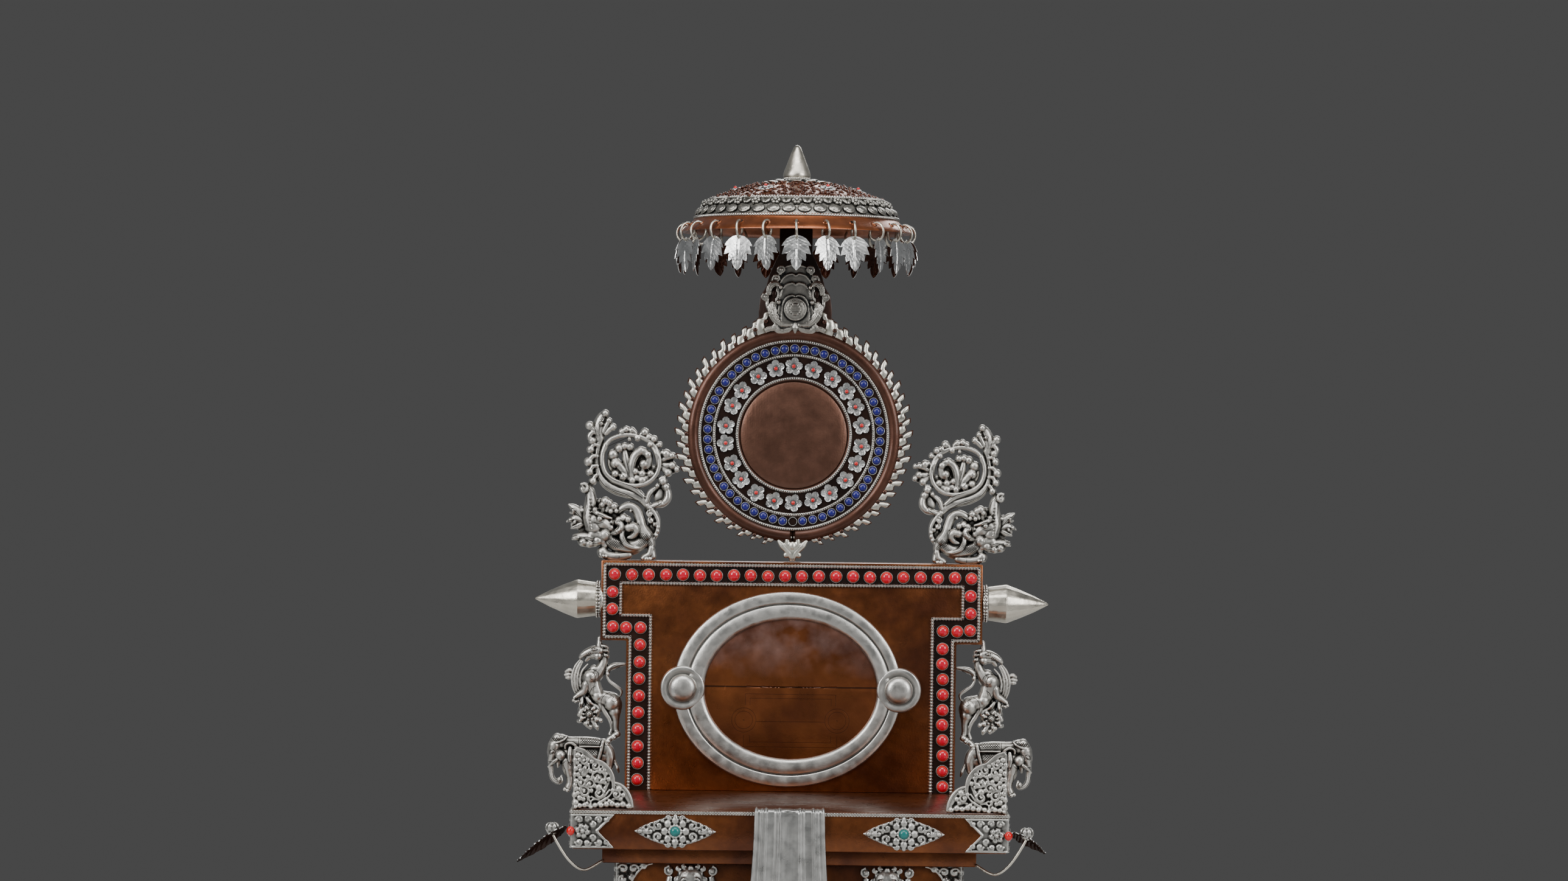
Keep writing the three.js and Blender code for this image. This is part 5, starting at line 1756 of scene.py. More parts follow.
def leafForm(bm, curl, fold):
    p = parasol
    half, long = p["leafWidth"] / 2, p["leafLength"]

    def edgeAt(v):
        at = v * (len(leafEdge) - 1)
        low = min(int(at + 1e-6), len(leafEdge) - 2)
        a, b = leafEdge[low], leafEdge[low + 1]
        s = at - low
        return a[0] + (b[0] - a[0]) * s, a[1] + (b[1] - a[1]) * s

    def place(u, v):
        s = u * 2 - 1
        x, down = edgeAt(v)
        # Every rib starts on the midrib and runs down to its tooth.
        root = down * 0.82 if down < 0.9 else down
        z = -(root + (down - root) * abs(s)) * long
        across = s * x * half
        vein = 0.0
        for a, b in (
            (0.05, 0.22), (0.12, 0.34), (0.20, 0.46), (0.30, 0.58), (0.42, 0.70), (0.55, 0.82),
            (0.70, 0.92)
        ):
            line = a + (b - a) * abs(s) * 0.9
            vein += 0.34 * max(0.0, 1 - abs(-z / long - line) / 0.018) * min(1, abs(s) * 6) * (abs(s) < 0.9)
        mid = 0.45 * max(0.0, 1 - abs(across) / 0.55)
        bow = fold * abs(across) / half * 2.0 + curl * (z / long) ** 2 * 3.2
        return Vector((across, -0.6 - 1.1 * sin(pi * min(1, -z / long)) + bow + vein + mid, z))

    made = mapped(bm, 20, 54, place, 0.0004)
    faces = list({f for v in made for f in v.link_faces})
    bmesh.ops.recalc_face_normals(bm, faces=faces)
    front = sum((f.normal.y for f in faces))
    if front > 0:
        bmesh.ops.reverse_faces(bm, faces=faces)
    grown = bmesh.ops.extrude_face_region(bm, geom=faces)
    moved = [g for g in grown["geom"] if isinstance(g, bmesh.types.BMVert)]
    bmesh.ops.translate(bm, vec=(0, -p["thickness"], 0), verts=moved)
    outer = {g for g in grown["geom"] if isinstance(g, bmesh.types.BMFace)}
    # the inside keeps the copper, and the outside and the edges are silvered
    for f in faces:
        if f.is_valid:
            f.material_index = 1
    for f in outer:
        f.material_index = 0


def makePendants():
    p = parasol
    shaky = random.Random(21)
    for i in range(p["pendants"]):
        twist = 0.38 * sin(i * 2.4)
        bm = bmesh.new()
        leafForm(bm, shaky.uniform(-0.5, 0.5), shaky.uniform(-0.5, 0.6))
        turn = Matrix.Rotation(twist, 4, "Z") @ Matrix.Rotation(-0.05 + shaky.uniform(-0.03, 0.03), 4, "X")
        lean = Matrix.Rotation(shaky.uniform(-0.14, 0.14), 4, "Y")
        move = Matrix.Translation((0, -74, 486.9 - p["ring"] + 2.0)) @ turn @ lean
        bmesh.ops.transform(bm, matrix=move, verts=bm.verts)
        for f in bm.faces:
            f.smooth = True
        loop = bmesh.new()
        path = []
        count = 24
        for k in range(count + 1):
            a = 2 * pi * k / count
            path.append((0.25 * sin(a * 2), 486.9 + p["ring"] * cos(a), -73.6 + 0.88 * p["ring"] * sin(a)))
        # a ring bent from round wire, its ends meeting at the foot
        points = [Vector((x, y, z)) for x, z, y in path]

        def place(u, v):
            at = u * count
            low = min(int(at + 1e-6), count - 1)
            spot = points[low].lerp(points[low + 1], at - low)
            a = 2 * pi * u
            out = Vector((0, sin(a), cos(a)))
            roll = 2 * pi * v
            return spot + out * (p["wire"] * cos(roll)) + Vector((1, 0, 0)) * (p["wire"] * sin(roll))

        mapped(loop, count, 8, place, 0.01)
        spin = Matrix.Rotation(twist * 0.8, 4, "Z")
        bmesh.ops.transform(
            loop, matrix=Matrix.Translation((0, -74, 0)) @ spin @ Matrix.Translation((0, 74, 0)),
            verts=loop.verts
        )
        swing = Matrix.Translation((0, p["axis"], 0)) @ Matrix.Rotation(2 * pi * i / p["pendants"], 4, "Z")
        for part, name, finish in (
            (bm, "pendantLeaf", [leafSilver, leafCopper]), (loop, "pendantRing", [warmSilver])
        ):
            bmesh.ops.transform(part, matrix=swing, verts=part.verts)
            node = ["leaf_pendant_%02d" % (i + 1)] if part is bm else []
            finished(part, name + "%02d" % (i + 1), finish, node, sharp=50)


leafCopper = copperFinish("leafCopper", (0.045, 0.012, 0.005), (0.120, 0.034, 0.012), 0.34)
# Near-black, for the painted shade in the brim's holes.
holeShade = copperFinish("holeShade", (0.006, 0.004, 0.003), (0.012, 0.006, 0.004), 0.6)
makeCanopy()
makeBand()
makeFinial()
makePendants()
print("parasol ready")
# ---- beasts beside the panel, and corner crests

# Tables of strokes, placed by (distance from the middle, height). A bar holds its way, the radii along it
# and the height of its ridge over the back plane. A ball or a scroll holds its place, its sizes and the
# same height. Lines are engraved.
beasts = {"back": 82.0, "voxel": 0.40, "rightScale": 0.93, "rightPivot": (76, 82, 271.1), "rightShift": 3.4}

makaraGround = [
    ([(128.2, 350.3), (129, 338.9), (128.2, 329.3), (123.6, 321.6)], [3.2, 3.2, 3.4, 3.6], 2), ([(118.8,
    339), (118.2, 333), (112.8, 327.1), (105.6, 323.6), (97.2, 324.9), (92.4, 330.9)], [4, 4.4, 4.8, 4.6,
    4.2, 3], 2), ([(102, 340.4), (98.4, 335.7), (100.8, 329.6)], [4.4, 5, 4.4], 2), ([(113.4, 344.5),
    (108.6, 343.7), (106.8, 335.6)], [2.6, 3, 3.4], 1.8), ([(86.4, 339.4), (82.8, 335.9), (80.4, 331.1)],
    [3.4, 4, 3.6], 1.8), ([(94.8, 304.5), (91.4, 298.6), (91.4, 291.4), (93.6, 285.3)], [3.4, 4, 4.4,
    3.6], 2.4), ([(87.6, 313), (85.4, 319)], [4.6, 3.6], 2), ([(127.2, 307.7), (122.4, 304.2), (117.6,
    300.6), (111.6, 295.9)], [3.6, 4.4, 4.6, 5], 2.6), ([(120, 291), (111.6, 288.7), (103.2, 291.2)], [6,
    6.4, 5], 3), ([(134.4, 292), (138, 290.8)], [5, 4], 2.2)
]
makaraBars = [
    ([(128.2, 350.3), (128.6, 355.1), (128.2, 360.5), (126.6, 364.7), (124.6, 367.3)], [3.6, 4.6, 4.2,
    3.4, 2.4], 4.4), ([(129.6, 355.7), (132.2, 356.6), (134.6, 359)], [2.4, 2.6, 2.4], 4.6), ([(125.4,
    355.1), (123.6, 359.1), (121.9, 362.3)], [1.6, 1.8, 1.8], 4.4), ([(123.8, 353.9), (121.4, 356.7),
    (119.2, 358.2)], [1.6, 1.8, 1.8], 4.4), ([(128.6, 353.9), (132.2, 354.7), (134.6, 352), (133.4,
    349.1)], [1.6, 1.9, 1.9, 1.8], 4.8), ([(127.4, 350.9), (128.9, 343.7), (129.4, 335.3), (128.2, 327.5),
    (123.6, 320.9), (116.4, 316.7), (108, 314.2), (100.8, 311.4), (95, 306.3)], [2.6, 1.9, 1.9, 2.4, 3.2,
    3.4, 3.2, 3, 2.6], 4.4), ([(124.2, 327.5), (119.4, 323.4), (111.6, 320.5), (104.4, 317.6), (99,
    312.9)], [1.2, 2.2, 2.4, 2.4, 1.8], 4.8), ([(128.9, 346.1), (131.8, 346.3), (133.9, 343.4)], [1.2,
    1.6, 1.6], 4.4), ([(129.4, 338.9), (132.2, 338.8), (134.9, 335.4)], [1.3, 1.8, 1.8], 4.4), ([(129,
    332.3), (132, 332.1), (134, 328.7)], [1.2, 1.6, 1.6], 4.4), ([(127.7, 326.9), (130.3, 325.9), (131.9,
    322.8)], [1.2, 1.6, 1.6], 4.4), ([(123.8, 346.7), (120, 350.5), (112.8, 353), (105.6, 352.9), (97.8,
    350.7), (91.8, 345.9), (88.6, 338.8), (88.6, 331.6), (91.8, 325.2), (97.8, 321), (105, 319.7), (112.2,
    320.9), (118.8, 323.6), (123.6, 327.9), (125.9, 334.1), (125.8, 340.7), (123.8, 346.7)], [1.5, 1.6,
    1.7, 1.7], 5.2), ([(117.6, 351.5), (113.4, 353.7), (112.2, 355.9)], [1.2, 1.6, 1.8], 4.8), ([(105.6,
    352.4), (104.2, 354.1), (105.8, 356)], [1.2, 1.6, 1.8], 4.8), ([(100.8, 351.2), (100.6, 353.6), (98.2,
    355.1)], [1.4, 1.8, 2.2], 4.8), ([(93.6, 346.5), (94.2, 349.9), (92.2, 350.9)], [1.4, 1.8, 2], 4.8),
    ([(90.6, 343.9), (90.5, 346.3), (88.6, 347.1)], [1.2, 1.6, 1.8], 4.6), ([(117.6, 336), (113.4, 331.3),
    (108, 324.7)], [3, 3, 2.4], 4.2), ([(111.6, 343.7), (110.2, 336.7), (107.8, 327.1)], [2, 2.6, 2.4],
    4), ([(106.2, 324.2), (106.6, 333.2), (104.2, 340.2), (99.6, 342.6), (95.5, 339.3), (96, 333.5),
    (98.9, 331.8)], [1.8, 2.8, 3, 3, 2.8, 2.4, 1.8], 5.2), ([(94.2, 347.5), (90.4, 341.2), (89.4, 333.4)],
    [1, 1.9, 0.8], 5.8), ([(103.2, 324.8), (97.2, 324.3), (92.4, 328.5)], [2.6, 2.8, 1.6], 4.6), ([(88.1,
    338), (86.9, 341.6), (84, 341.1)], [1.4, 2, 2.4], 4.4), ([(87.8, 335.8), (82.8, 338.9), (78.2,
    339.5)], [1.6, 2.2, 1.8], 4.2), ([(87.8, 334.6), (84, 333.2), (79.8, 333.5), (76.3, 330.7)], [1.6,
    2.4, 2.2, 1.4], 4.2), ([(87.4, 333.4), (85, 330.8), (82.6, 328.7)], [1.6, 2.2, 2.4], 4.4), ([(95,
    305.1), (90.2, 307.2), (85.8, 308.2), (82.6, 311.9), (82.8, 316.7), (85.4, 319.5)], [1.8, 2.2, 2.6,
    2.8, 2.4, 1.8], 4.8), ([(96.2, 309.5), (94.2, 315.3), (89.8, 319.2)], [1.6, 2, 1.2], 4.8), ([(85.8,
    322), (87.6, 324.4), (85.4, 325)], [1.6, 1.8, 1.8], 4.4), ([(96, 306.9), (91.8, 302.7), (88.8, 296.8),
    (89, 290.8), (92.2, 285.6)], [1.2, 1.5, 1.5, 1.4, 0.9], 4.8), ([(114.7, 302.6), (112.2, 305), (107.8,
    306.3), (103.4, 303.9), (101, 298.4), (99.4, 292.2), (96.2, 287.1)], [2.2, 2.7, 3, 3.4, 3.7, 4.2,
    4.8], 7.6), ([(96, 287.1), (93.4, 282.3), (92.9, 278.1)], [4.6, 3.2, 2.2], 7.2), ([(92.9, 278.7),
    (94.2, 274.8), (97.8, 272.6)], [2.3, 2.3, 2.2], 6.2), ([(92.2, 277.5), (91.8, 273.3)], [2, 2.2], 5.8),
    ([(121.2, 283.5), (114, 280.3), (105.6, 279.4), (97.8, 282.9)], [4.4, 5.2, 5.4, 4.6], 7.2), ([(111.6,
    291.7), (112.3, 286.3), (109.8, 281.3), (104.2, 279), (99.6, 279.2)], [1.4, 1.8, 1.9, 1.7, 1], 8.4),
    ([(108, 292.3), (104.6, 292.6), (103.2, 289.8), (105.4, 286.6), (108.2, 285.4)], [3.2, 3.6, 3, 2.2,
    1.2], 9), ([(136.1, 319.4), (133.9, 316), (133.2, 310), (133.9, 304), (133.4, 298), (130.8, 292.1)],
    [1.8, 3.2, 4, 4.4, 5.2, 6.4], 8.6), ([(130.8, 296.9), (124.8, 295.1), (120.6, 292.2)], [5.4, 6, 4],
    8.8), ([(131.4, 287.3), (125.4, 286.1), (121.4, 286.2)], [4.8, 5.2, 3.6], 8.4), ([(132.6, 285.4),
    (137.4, 286), (141.6, 286.2), (145, 286.5)], [3.6, 2.8, 2, 0.6], 8), ([(129.6, 282.5), (133.8, 281.5),
    (138.6, 282.1), (140.4, 283.3)], [3.4, 2.8, 2.6, 1.8], 7.6), ([(125.4, 283.1), (123.6, 280.1)], [3,
    2], 7.4), ([(141.6, 285), (144.2, 284.7), (145.4, 283.7)], [1.4, 1.4, 0.5], 7), ([(131.8, 302.6),
    (128.6, 301.4), (124.1, 299.6), (119.4, 298.2)], [1, 1.5, 1.4, 0.8], 9.8), ([(119, 295.6), (114.2,
    295.4), (113.3, 292), (116.2, 289.1), (119.8, 287.9)], [1.6, 2.6, 2.6, 2.2, 0.9], 9.2), ([(125.4,
    302.9), (124.8, 307.1), (123.6, 309.2)], [1.6, 2, 2.4], 7), ([(122.4, 303), (121, 306), (117.6,
    306.1)], [1.6, 2, 2.2], 7), ([(127.2, 304.7), (126.6, 306.5), (125, 307.5)], [1.2, 1.6, 1.6], 6.6),
    ([(125, 275.6), (121.2, 273.5), (115.2, 272.8), (107.8, 274.1)], [3.4, 3.2, 3.4, 2.6], 6.8), ([(138.5,
    297.4), (141.4, 302.2), (145, 305.1), (148.3, 307.2)], [1.8, 3.2, 2.6, 0.4], 4.8), ([(138.7, 296.2),
    (143.4, 297.7), (149.5, 295.4)], [1.8, 3, 0.4], 5), ([(137.8, 294.6), (141.4, 292.9), (146.6, 291.1)],
    [1.6, 2.4, 0.4], 4.6), ([(137.3, 299.8), (138.7, 303.4), (140.2, 306.1)], [1.4, 2.2, 0.4], 4.8),
    ([(142.8, 296.7), (145.2, 294.5), (145.9, 292.4)], [1.2, 1.5, 0.4], 4.4), ([(142.8, 302.7), (145.2,
    301.5), (147.6, 301.7)], [1.2, 1.4, 0.4], 4.4)
]
makaraBalls = [
    (124.3, 367.3, 2.7, 5), (134.6, 359.2, 3, 5), (121.9, 362.5, 2.3, 4.8), (119.2, 358.4, 2.6, 4.8),
    (132.7, 349.2, 2.9, 5), (127, 360.5, 1.6, 5.4), (133.8, 343.3, 2.8, 5), (135, 335.2, 3.3, 5), (134.2,
    328.5, 2.8, 5), (132, 322.5, 2.9, 5), (113.3, 355.2, 2.5, 5), (110.4, 356.9, 2.5, 5.2), (106.8, 356.2,
    2.5, 5), (108.2, 350.4, 1.5, 5.2), (98.2, 355.1, 3.1, 5.2), (103, 351.2, 2.4, 5.6), (95.5, 352, 2.4,
    5.2), (92.2, 350.6, 2.8, 5.2), (88.4, 347.1, 2.3, 5), (119, 340.2, 3.8, 5), (115, 344.3, 3.2, 5),
    (111.4, 345.8, 2.6, 5), (107.8, 345.4, 2.8, 5), (117.6, 334.2, 3.2, 5), (117.4, 327.5, 2.9, 4.8),
    (112.1, 325.7, 3.2, 5), (98.6, 334.2, 3.1, 5.8), (100.6, 343.1, 3, 5.6), (95.8, 340.3, 2.8, 5.8),
    (104.2, 329.1, 2.6, 4.8), (99.6, 327.7, 2.9, 5), (106.1, 323.3, 2.6, 5), (99.4, 323.4, 3.4, 5.2),
    (94.1, 327.8, 2.8, 5.2), (94.8, 347, 2, 5.6), (84, 341.1, 3.3, 5), (79.9, 340, 2.4, 4.6), (82.6,
    328.7, 3.1, 5), (79.9, 333.5, 2.9, 4.8), (76.8, 330.9, 2.2, 4.4), (76.8, 339.5, 1.8, 4), (85.7, 322.9,
    3.1, 5), (83.5, 319.1, 2.7, 5), (86.9, 308.2, 2.4, 5.2), (89.5, 319.9, 1.8, 5), (88.6, 292.6, 1.5, 5),
    (88.8, 289.9, 1.5, 5), (89.8, 287.3, 1.4, 4.8), (91.7, 285.1, 1.4, 4.8), (94.8, 301.1, 2, 4.8), (92.9,
    297.3, 2, 4.8), (90.7, 294.4, 1.7, 4.8), (114.6, 297.3, 2.3, 9.2), (111.6, 298.8, 2.6, 9.4), (108.5,
    297.6, 2.3, 9.2), (123.6, 309.4, 3.1, 7.8), (121, 308.3, 2.6, 7.6), (117.6, 306.1, 2.5, 7.6), (120,
    302.8, 1.9, 7.8), (116.2, 303, 1.6, 7.2), (125.5, 307, 2, 7.4), (130.3, 303.8, 1.8, 9.6), (123.6,
    287.4, 4.2, 9.2), (128.2, 283.5, 3.6, 8.6), (133.7, 281.2, 2.8, 8.2), (138.2, 282.1, 2.9, 8), (127.2,
    297.9, 2.2, 9.8), (125, 275.8, 3.9, 7.2), (126.5, 273.6, 1.3, 7.4), (124.8, 273.2, 1.3, 7.4), (123.1,
    273, 1.3, 7.2), (98.2, 272.1, 1.9, 6.4), (96, 271.6, 1.8, 6.6), (93.8, 271.6, 1.7, 6.4), (144.5,
    303.2, 1.4, 5.6), (146.6, 296.7, 1.3, 5.6), (143.8, 295.3, 1.2, 5.6), (106.8, 303.2, 1, 8)
]
makaraScrolls = [
    (137.8, 317.7, 3.2, 60, 420, 1.2, 7.6), (94.3, 301.4, 2.3, 90, -300, 0.7, 5.4),
    (93.4, 297.1, 2.2, 90, -300, 0.7, 5.4), (111.6, 298.3, 1.5, 40, -250, 0.6, 9.8),
]
makaraLines = [
    [(125.5, 349.1), (127.4, 342.5), (127.9, 335.3), (126.5, 328.4), (121.7, 322.7), (114, 318.7), (105.6,
    315.9), (99, 311.9)], [(129.1, 343.4), (130.1, 335.3), (128.9, 326.9), (124.1, 319.5), (116.2, 315),
    (108, 312.5), (100.2, 309.2)], [(118.2, 323.7), (111.6, 321.3), (104.4, 318.6), (98.4, 314.1)],
    [(123.6, 319.5), (117.6, 316.5), (109.2, 313.7), (102, 309.8)], [(128.2, 352.1), (128.2, 356.9), (127,
    361.7), (125.3, 364.8)], [(130.1, 352.7), (131, 356.9), (133, 358.8)], [(122.4, 345.6), (117.6,
    349.6), (111.6, 351.3), (105, 350.9), (98.2, 348.6), (92.9, 343.9), (90.4, 337.2), (90.7, 331.2),
    (93.8, 326.6), (99.6, 323.2), (105.6, 321.9), (112.2, 323), (118.2, 325.8), (122.2, 329.6), (123.8,
    334.4), (123.6, 340.1), (122.4, 345.6)], [(94.8, 304.5), (90, 306.4), (86.2, 309.7), (85, 314.2),
    (86.2, 317.8)], [(94.2, 303.3), (91, 297.4), (91, 291.4), (93.4, 286.3)], [(95.8, 308.1), (93.4,
    313.9), (90, 317.8)], [(105, 325.4), (105, 333.2), (103, 338.5), (99.6, 340.2), (97.4, 337.8), (97.9,
    335)], [(118.2, 333.6), (114, 328.3), (109.2, 324.2)], [(111, 340.9), (109.9, 335.5), (108, 328.3)],
    [(129.6, 297.8), (127.4, 299.1), (124.6, 298.1), (127, 296.2), (129.6, 297.8)], [(130.6, 299.7),
    (127.2, 300.7), (123.6, 299.1)], [(130.8, 295.7), (128.2, 294.7), (124.6, 295.7)], [(144.7, 285.9),
    (139.8, 284.7), (135, 285.8), (131.8, 284.6), (128.2, 285.9)], [(140.4, 281.7), (135.6, 283), (130.8,
    281.3), (126, 282.3)], [(123.6, 289.5), (121, 287.4), (121.4, 284.7)], [(118.2, 294.4), (115, 293.9),
    (114.5, 292), (117.4, 289.8)], [(136.8, 314.8), (135.4, 307.6), (136.3, 300.4)], [(135.1, 318.6),
    (131.3, 314.3), (129.6, 307.7), (130.1, 304.1)], [(111, 290.9), (111.4, 286.1), (109.2, 282), (104.2,
    279.9)], [(106.8, 291.2), (104.9, 290.7), (105.4, 288.3), (107.3, 287.6)], [(127.2, 274.6), (126.6,
    272.9)], [(125.5, 274.4), (125, 272.6)], [(123.8, 274.1), (123.4, 272.4)], [(114, 274), (114, 271.6)],
    [(139.2, 298), (142.8, 302.1), (147.6, 306.5)], [(139.4, 296.2), (144, 296.9), (148.6, 295.4)],
    [(138.2, 294.6), (142.2, 292.9), (146.2, 291.3)], [(114, 303.1), (111.6, 304.3), (107.8, 305.1)]
]
leogryphBars = [
    ([(126.4, 218.9), (126.4, 215.7), (126.7, 212.5)], [1.5, 1.9, 2.6], 5.6), ([(126.3, 210.9), (130.3,
    210.9), (134.3, 209.6), (137.5, 207.6), (138.7, 206.4)], [3.4, 3.2, 2.7, 2, 1.3], 6.8), ([(128.7,
    208.1), (132.7, 207.2), (135, 204.4)], [3, 2.2, 1.3], 6.2), ([(124.3, 214.1), (122.3, 213.8), (120.7,
    212.6)], [1, 1.2, 0.8], 5.8), ([(124.3, 210.9), (121.5, 211), (120.3, 209.8)], [1, 1.2, 0.8], 5.8),
    ([(123.9, 208.2), (121.5, 207.8), (120.3, 206.6)], [1, 1.2, 0.8], 5.6), ([(124.3, 208.5), (123.4,
    204.6), (124.6, 200.5), (127.3, 196.5), (130.5, 193.3)], [3.2, 3, 3.4, 4.8, 5.8], 6.8), ([(129.8,
    198.1), (132.5, 193.2), (132.4, 188.4), (130, 184.5)], [3.4, 5.6, 5, 4], 7.4), ([(134.8, 188.4), (136,
    184.4), (139.2, 182), (142.3, 179.5)], [3, 2.7, 1.9, 1.5], 7.2), ([(129.3, 190.1), (128.4, 184.5),
    (125.9, 180.1), (120.3, 178.2)], [3.8, 4.8, 4.8, 5.2], 6.8), ([(122.7, 179.8), (117.9, 177.4), (116.2,
    173.4), (115.4, 168.6)], [4.6, 6.2, 5.6, 3.2], 7.4), ([(115.8, 171), (115, 165.5), (114.9, 159.9),
    (114, 155.5)], [4.4, 2.4, 2, 2.4], 6.8), ([(114, 155.9), (116.8, 154.2), (119.6, 151.8), (121.6,
    149.4)], [2.4, 2.1, 2, 1.6], 6.4), ([(125.1, 175.7), (122.2, 170.6), (119, 165.4), (117.7, 159.8),
    (118.8, 155.8)], [2, 1.7, 1.4, 1.1, 1.3], 5.2), ([(112.3, 180.7), (111.6, 184.3), (115.2, 187.5),
    (119.3, 190.6), (121.3, 194.6), (120.9, 197.4)], [0.7, 1, 1, 0.95, 0.9, 1], 4.4), ([(121.3, 195),
    (120.2, 198.6), (117, 200.6), (113, 201.5), (109.4, 201.9)], [1, 2, 2.2, 1.5, 0.9], 4.8), ([(138.6,
    205.2), (142.2, 200.3), (144.1, 193.9), (143.6, 187.5), (141.6, 181.9)], [0.5, 0.8, 0.9, 0.9, 0.6],
    4.2), ([(137.8, 204.4), (140.6, 199.5), (142.3, 193.5), (142, 187.5), (140.4, 182.3)], [0.5, 0.8, 0.9,
    0.9, 0.6], 4.4), ([(137, 203.6), (139.4, 198.4), (140.5, 193.1), (140.4, 187.9), (139.2, 183.6)],
    [0.4, 0.6, 0.7, 0.7, 0.5], 4.4), ([(133.8, 202), (137.3, 197.6), (138.7, 192.4), (138.4, 187.6),
    (137.2, 184.4)], [0.5, 0.8, 0.8, 0.8, 0.5], 5), ([(143.7, 197.1), (146.5, 197.5), (148.5, 196.6)], [1,
    1.4, 0.8], 4), ([(144.1, 195.1), (146.9, 194.7), (148.9, 194.6)], [1, 1.4, 0.8], 4), ([(144.1, 193.1),
    (146.5, 192.7), (148.1, 192.7)], [1, 1.3, 0.8], 4), ([(133.1, 180.4), (132.7, 175.6), (132.6, 171.6)],
    [2.4, 3, 3.2], 3.4), ([(137.5, 179.6), (137.9, 176.4), (138.6, 172.4)], [1.2, 1.8, 0.9], 4.8),
    ([(134.3, 179.6), (132.3, 176.8), (129.5, 174.9)], [1.2, 1.7, 0.8], 4.8), ([(129.1, 174.9), (126.2,
    172.5), (127, 168.5)], [1.2, 1.8, 1], 4.6), ([(136.2, 172.4), (138.6, 169.2), (137, 165.2)], [1.2,
    1.8, 1.2], 4.6), ([(136.2, 166.8), (138.9, 164.4), (140.9, 164.3)], [1.4, 1.8, 0.6], 4.2), ([(133,
    166), (133.7, 162.4), (131.7, 159.6)], [1.6, 2.2, 1], 4.4), ([(129.4, 166.9), (127, 165.3), (123.7,
    163.7)], [1.6, 2, 0.6], 4.4), ([(130.5, 164.5), (128.5, 161.7), (126.9, 158.9)], [1.6, 1.9, 0.9], 4.4)
]
leogryphBalls = [
    (132.6, 168.4, 5.8, 3.2), (137.4, 171.6, 3, 3), (128.2, 167.7, 3.4, 3), (131.3, 162.9, 3.2, 3),
    (136.2, 165.2, 2.8, 3), (134.6, 173.2, 1.6, 4.6), (129.8, 172.5, 1.6, 4.6), (124.9, 164.5, 1.4, 4.4),
    (131.7, 160.4, 1.5, 4.4), (135.3, 162.8, 1.4, 4.4), (139.4, 168.4, 1.3, 4.2), (127.1, 207.3, 3, 6.8),
    (132.6, 168.8, 3.5, 4.6), (132.6, 168.8, 2.2, 5.2), (130.3, 211.7, 0.9, 7.4), (143.1, 177.9, 1, 6.6),
    (141.5, 177.1, 1, 6.6), (139.9, 177.6, 0.9, 6.2), (138.3, 175.6, 1.5, 5.2), (127.4, 170.5, 1.6, 5),
    (137.4, 166, 1.7, 5), (127.8, 165.3, 1.7, 4.8), (138.5, 164.4, 1.2, 4.6), (127.3, 160.5, 1.5, 4.8),
    (133.7, 162.8, 1.4, 4.8), (119.2, 151, 1.3, 6.2), (120.8, 149.4, 1.2, 6), (116, 153.4, 1.5, 6.6),
    (120.5, 195.4, 1.2, 4.8), (127.1, 180.9, 4.4, 7), (117.5, 176.6, 6.3, 8.3), (132.1, 193.6, 5.2, 8.1)
]
leogryphLines = [
    [(132.7, 211.6), (130.3, 212.7), (127.5, 211.7), (130.3, 210.7), (132.7, 211.6)], [(137.5, 208.8),
    (135.9, 210.8), (133.5, 212), (131.5, 213.3)], [(137.4, 205.6), (135.9, 207.2), (133.5, 207.6),
    (131.5, 207.3)], [(134.7, 208.8), (133.5, 207.2)], [(133.9, 209.6), (132.7, 208)], [(132.7, 210),
    (131.9, 208.5)], [(124.3, 212.5), (123.5, 208.6), (124.6, 205.3), (127, 203.7)], [(123.9, 212.6),
    (120.7, 212.6)], [(123.5, 209.4), (120.3, 209.8)], [(123.5, 207), (120.7, 206.6)], [(137.2, 185.2),
    (138.1, 190.8), (137.3, 195.2), (134.5, 197.6), (130.6, 198.5), (127.3, 196.9), (126.5, 194.1),
    (128.5, 191.7), (131.3, 192.1), (132.1, 194)], [(133.7, 196), (130.5, 196.5), (129.3, 194.9), (130.9,
    193.7)], [(134.3, 179.6), (132.4, 182.8), (130.8, 186.1), (128.4, 187.7)], [(124.2, 172.1), (124.7,
    177.7), (122.4, 181.8), (118.4, 183.4), (115.2, 181.9), (113.9, 179.1), (115.9, 177.4), (117.9,
    178.6)], [(119.2, 182.2), (116.7, 180.6), (117.5, 179)], [(143.1, 180.3), (144.3, 178.3)], [(141.5,
    179.9), (142.3, 177.1)], [(139.9, 179.6), (140.3, 177.1)], [(118, 155.4), (115.2, 152.6)], [(116.4,
    156.6), (113.6, 154.3)], [(119.6, 152.6), (117.2, 150.6)], [(119.7, 195.8), (118.2, 199), (114.6,
    200.7), (110.6, 201.5)], [(120.5, 197.4), (117.4, 200.6), (113.4, 202.3)], [(118.5, 196.6), (116.2,
    198.6), (112.6, 200.3)], [(133.9, 178.8), (132.7, 176.4), (130.3, 174.5)], [(138.3, 178), (138.3,
    174.8), (139, 172.4)], [(128.3, 174.1), (126.6, 171.7), (127.4, 168.5)], [(133.7, 164.4), (133.3,
    162), (131.7, 160)]
]
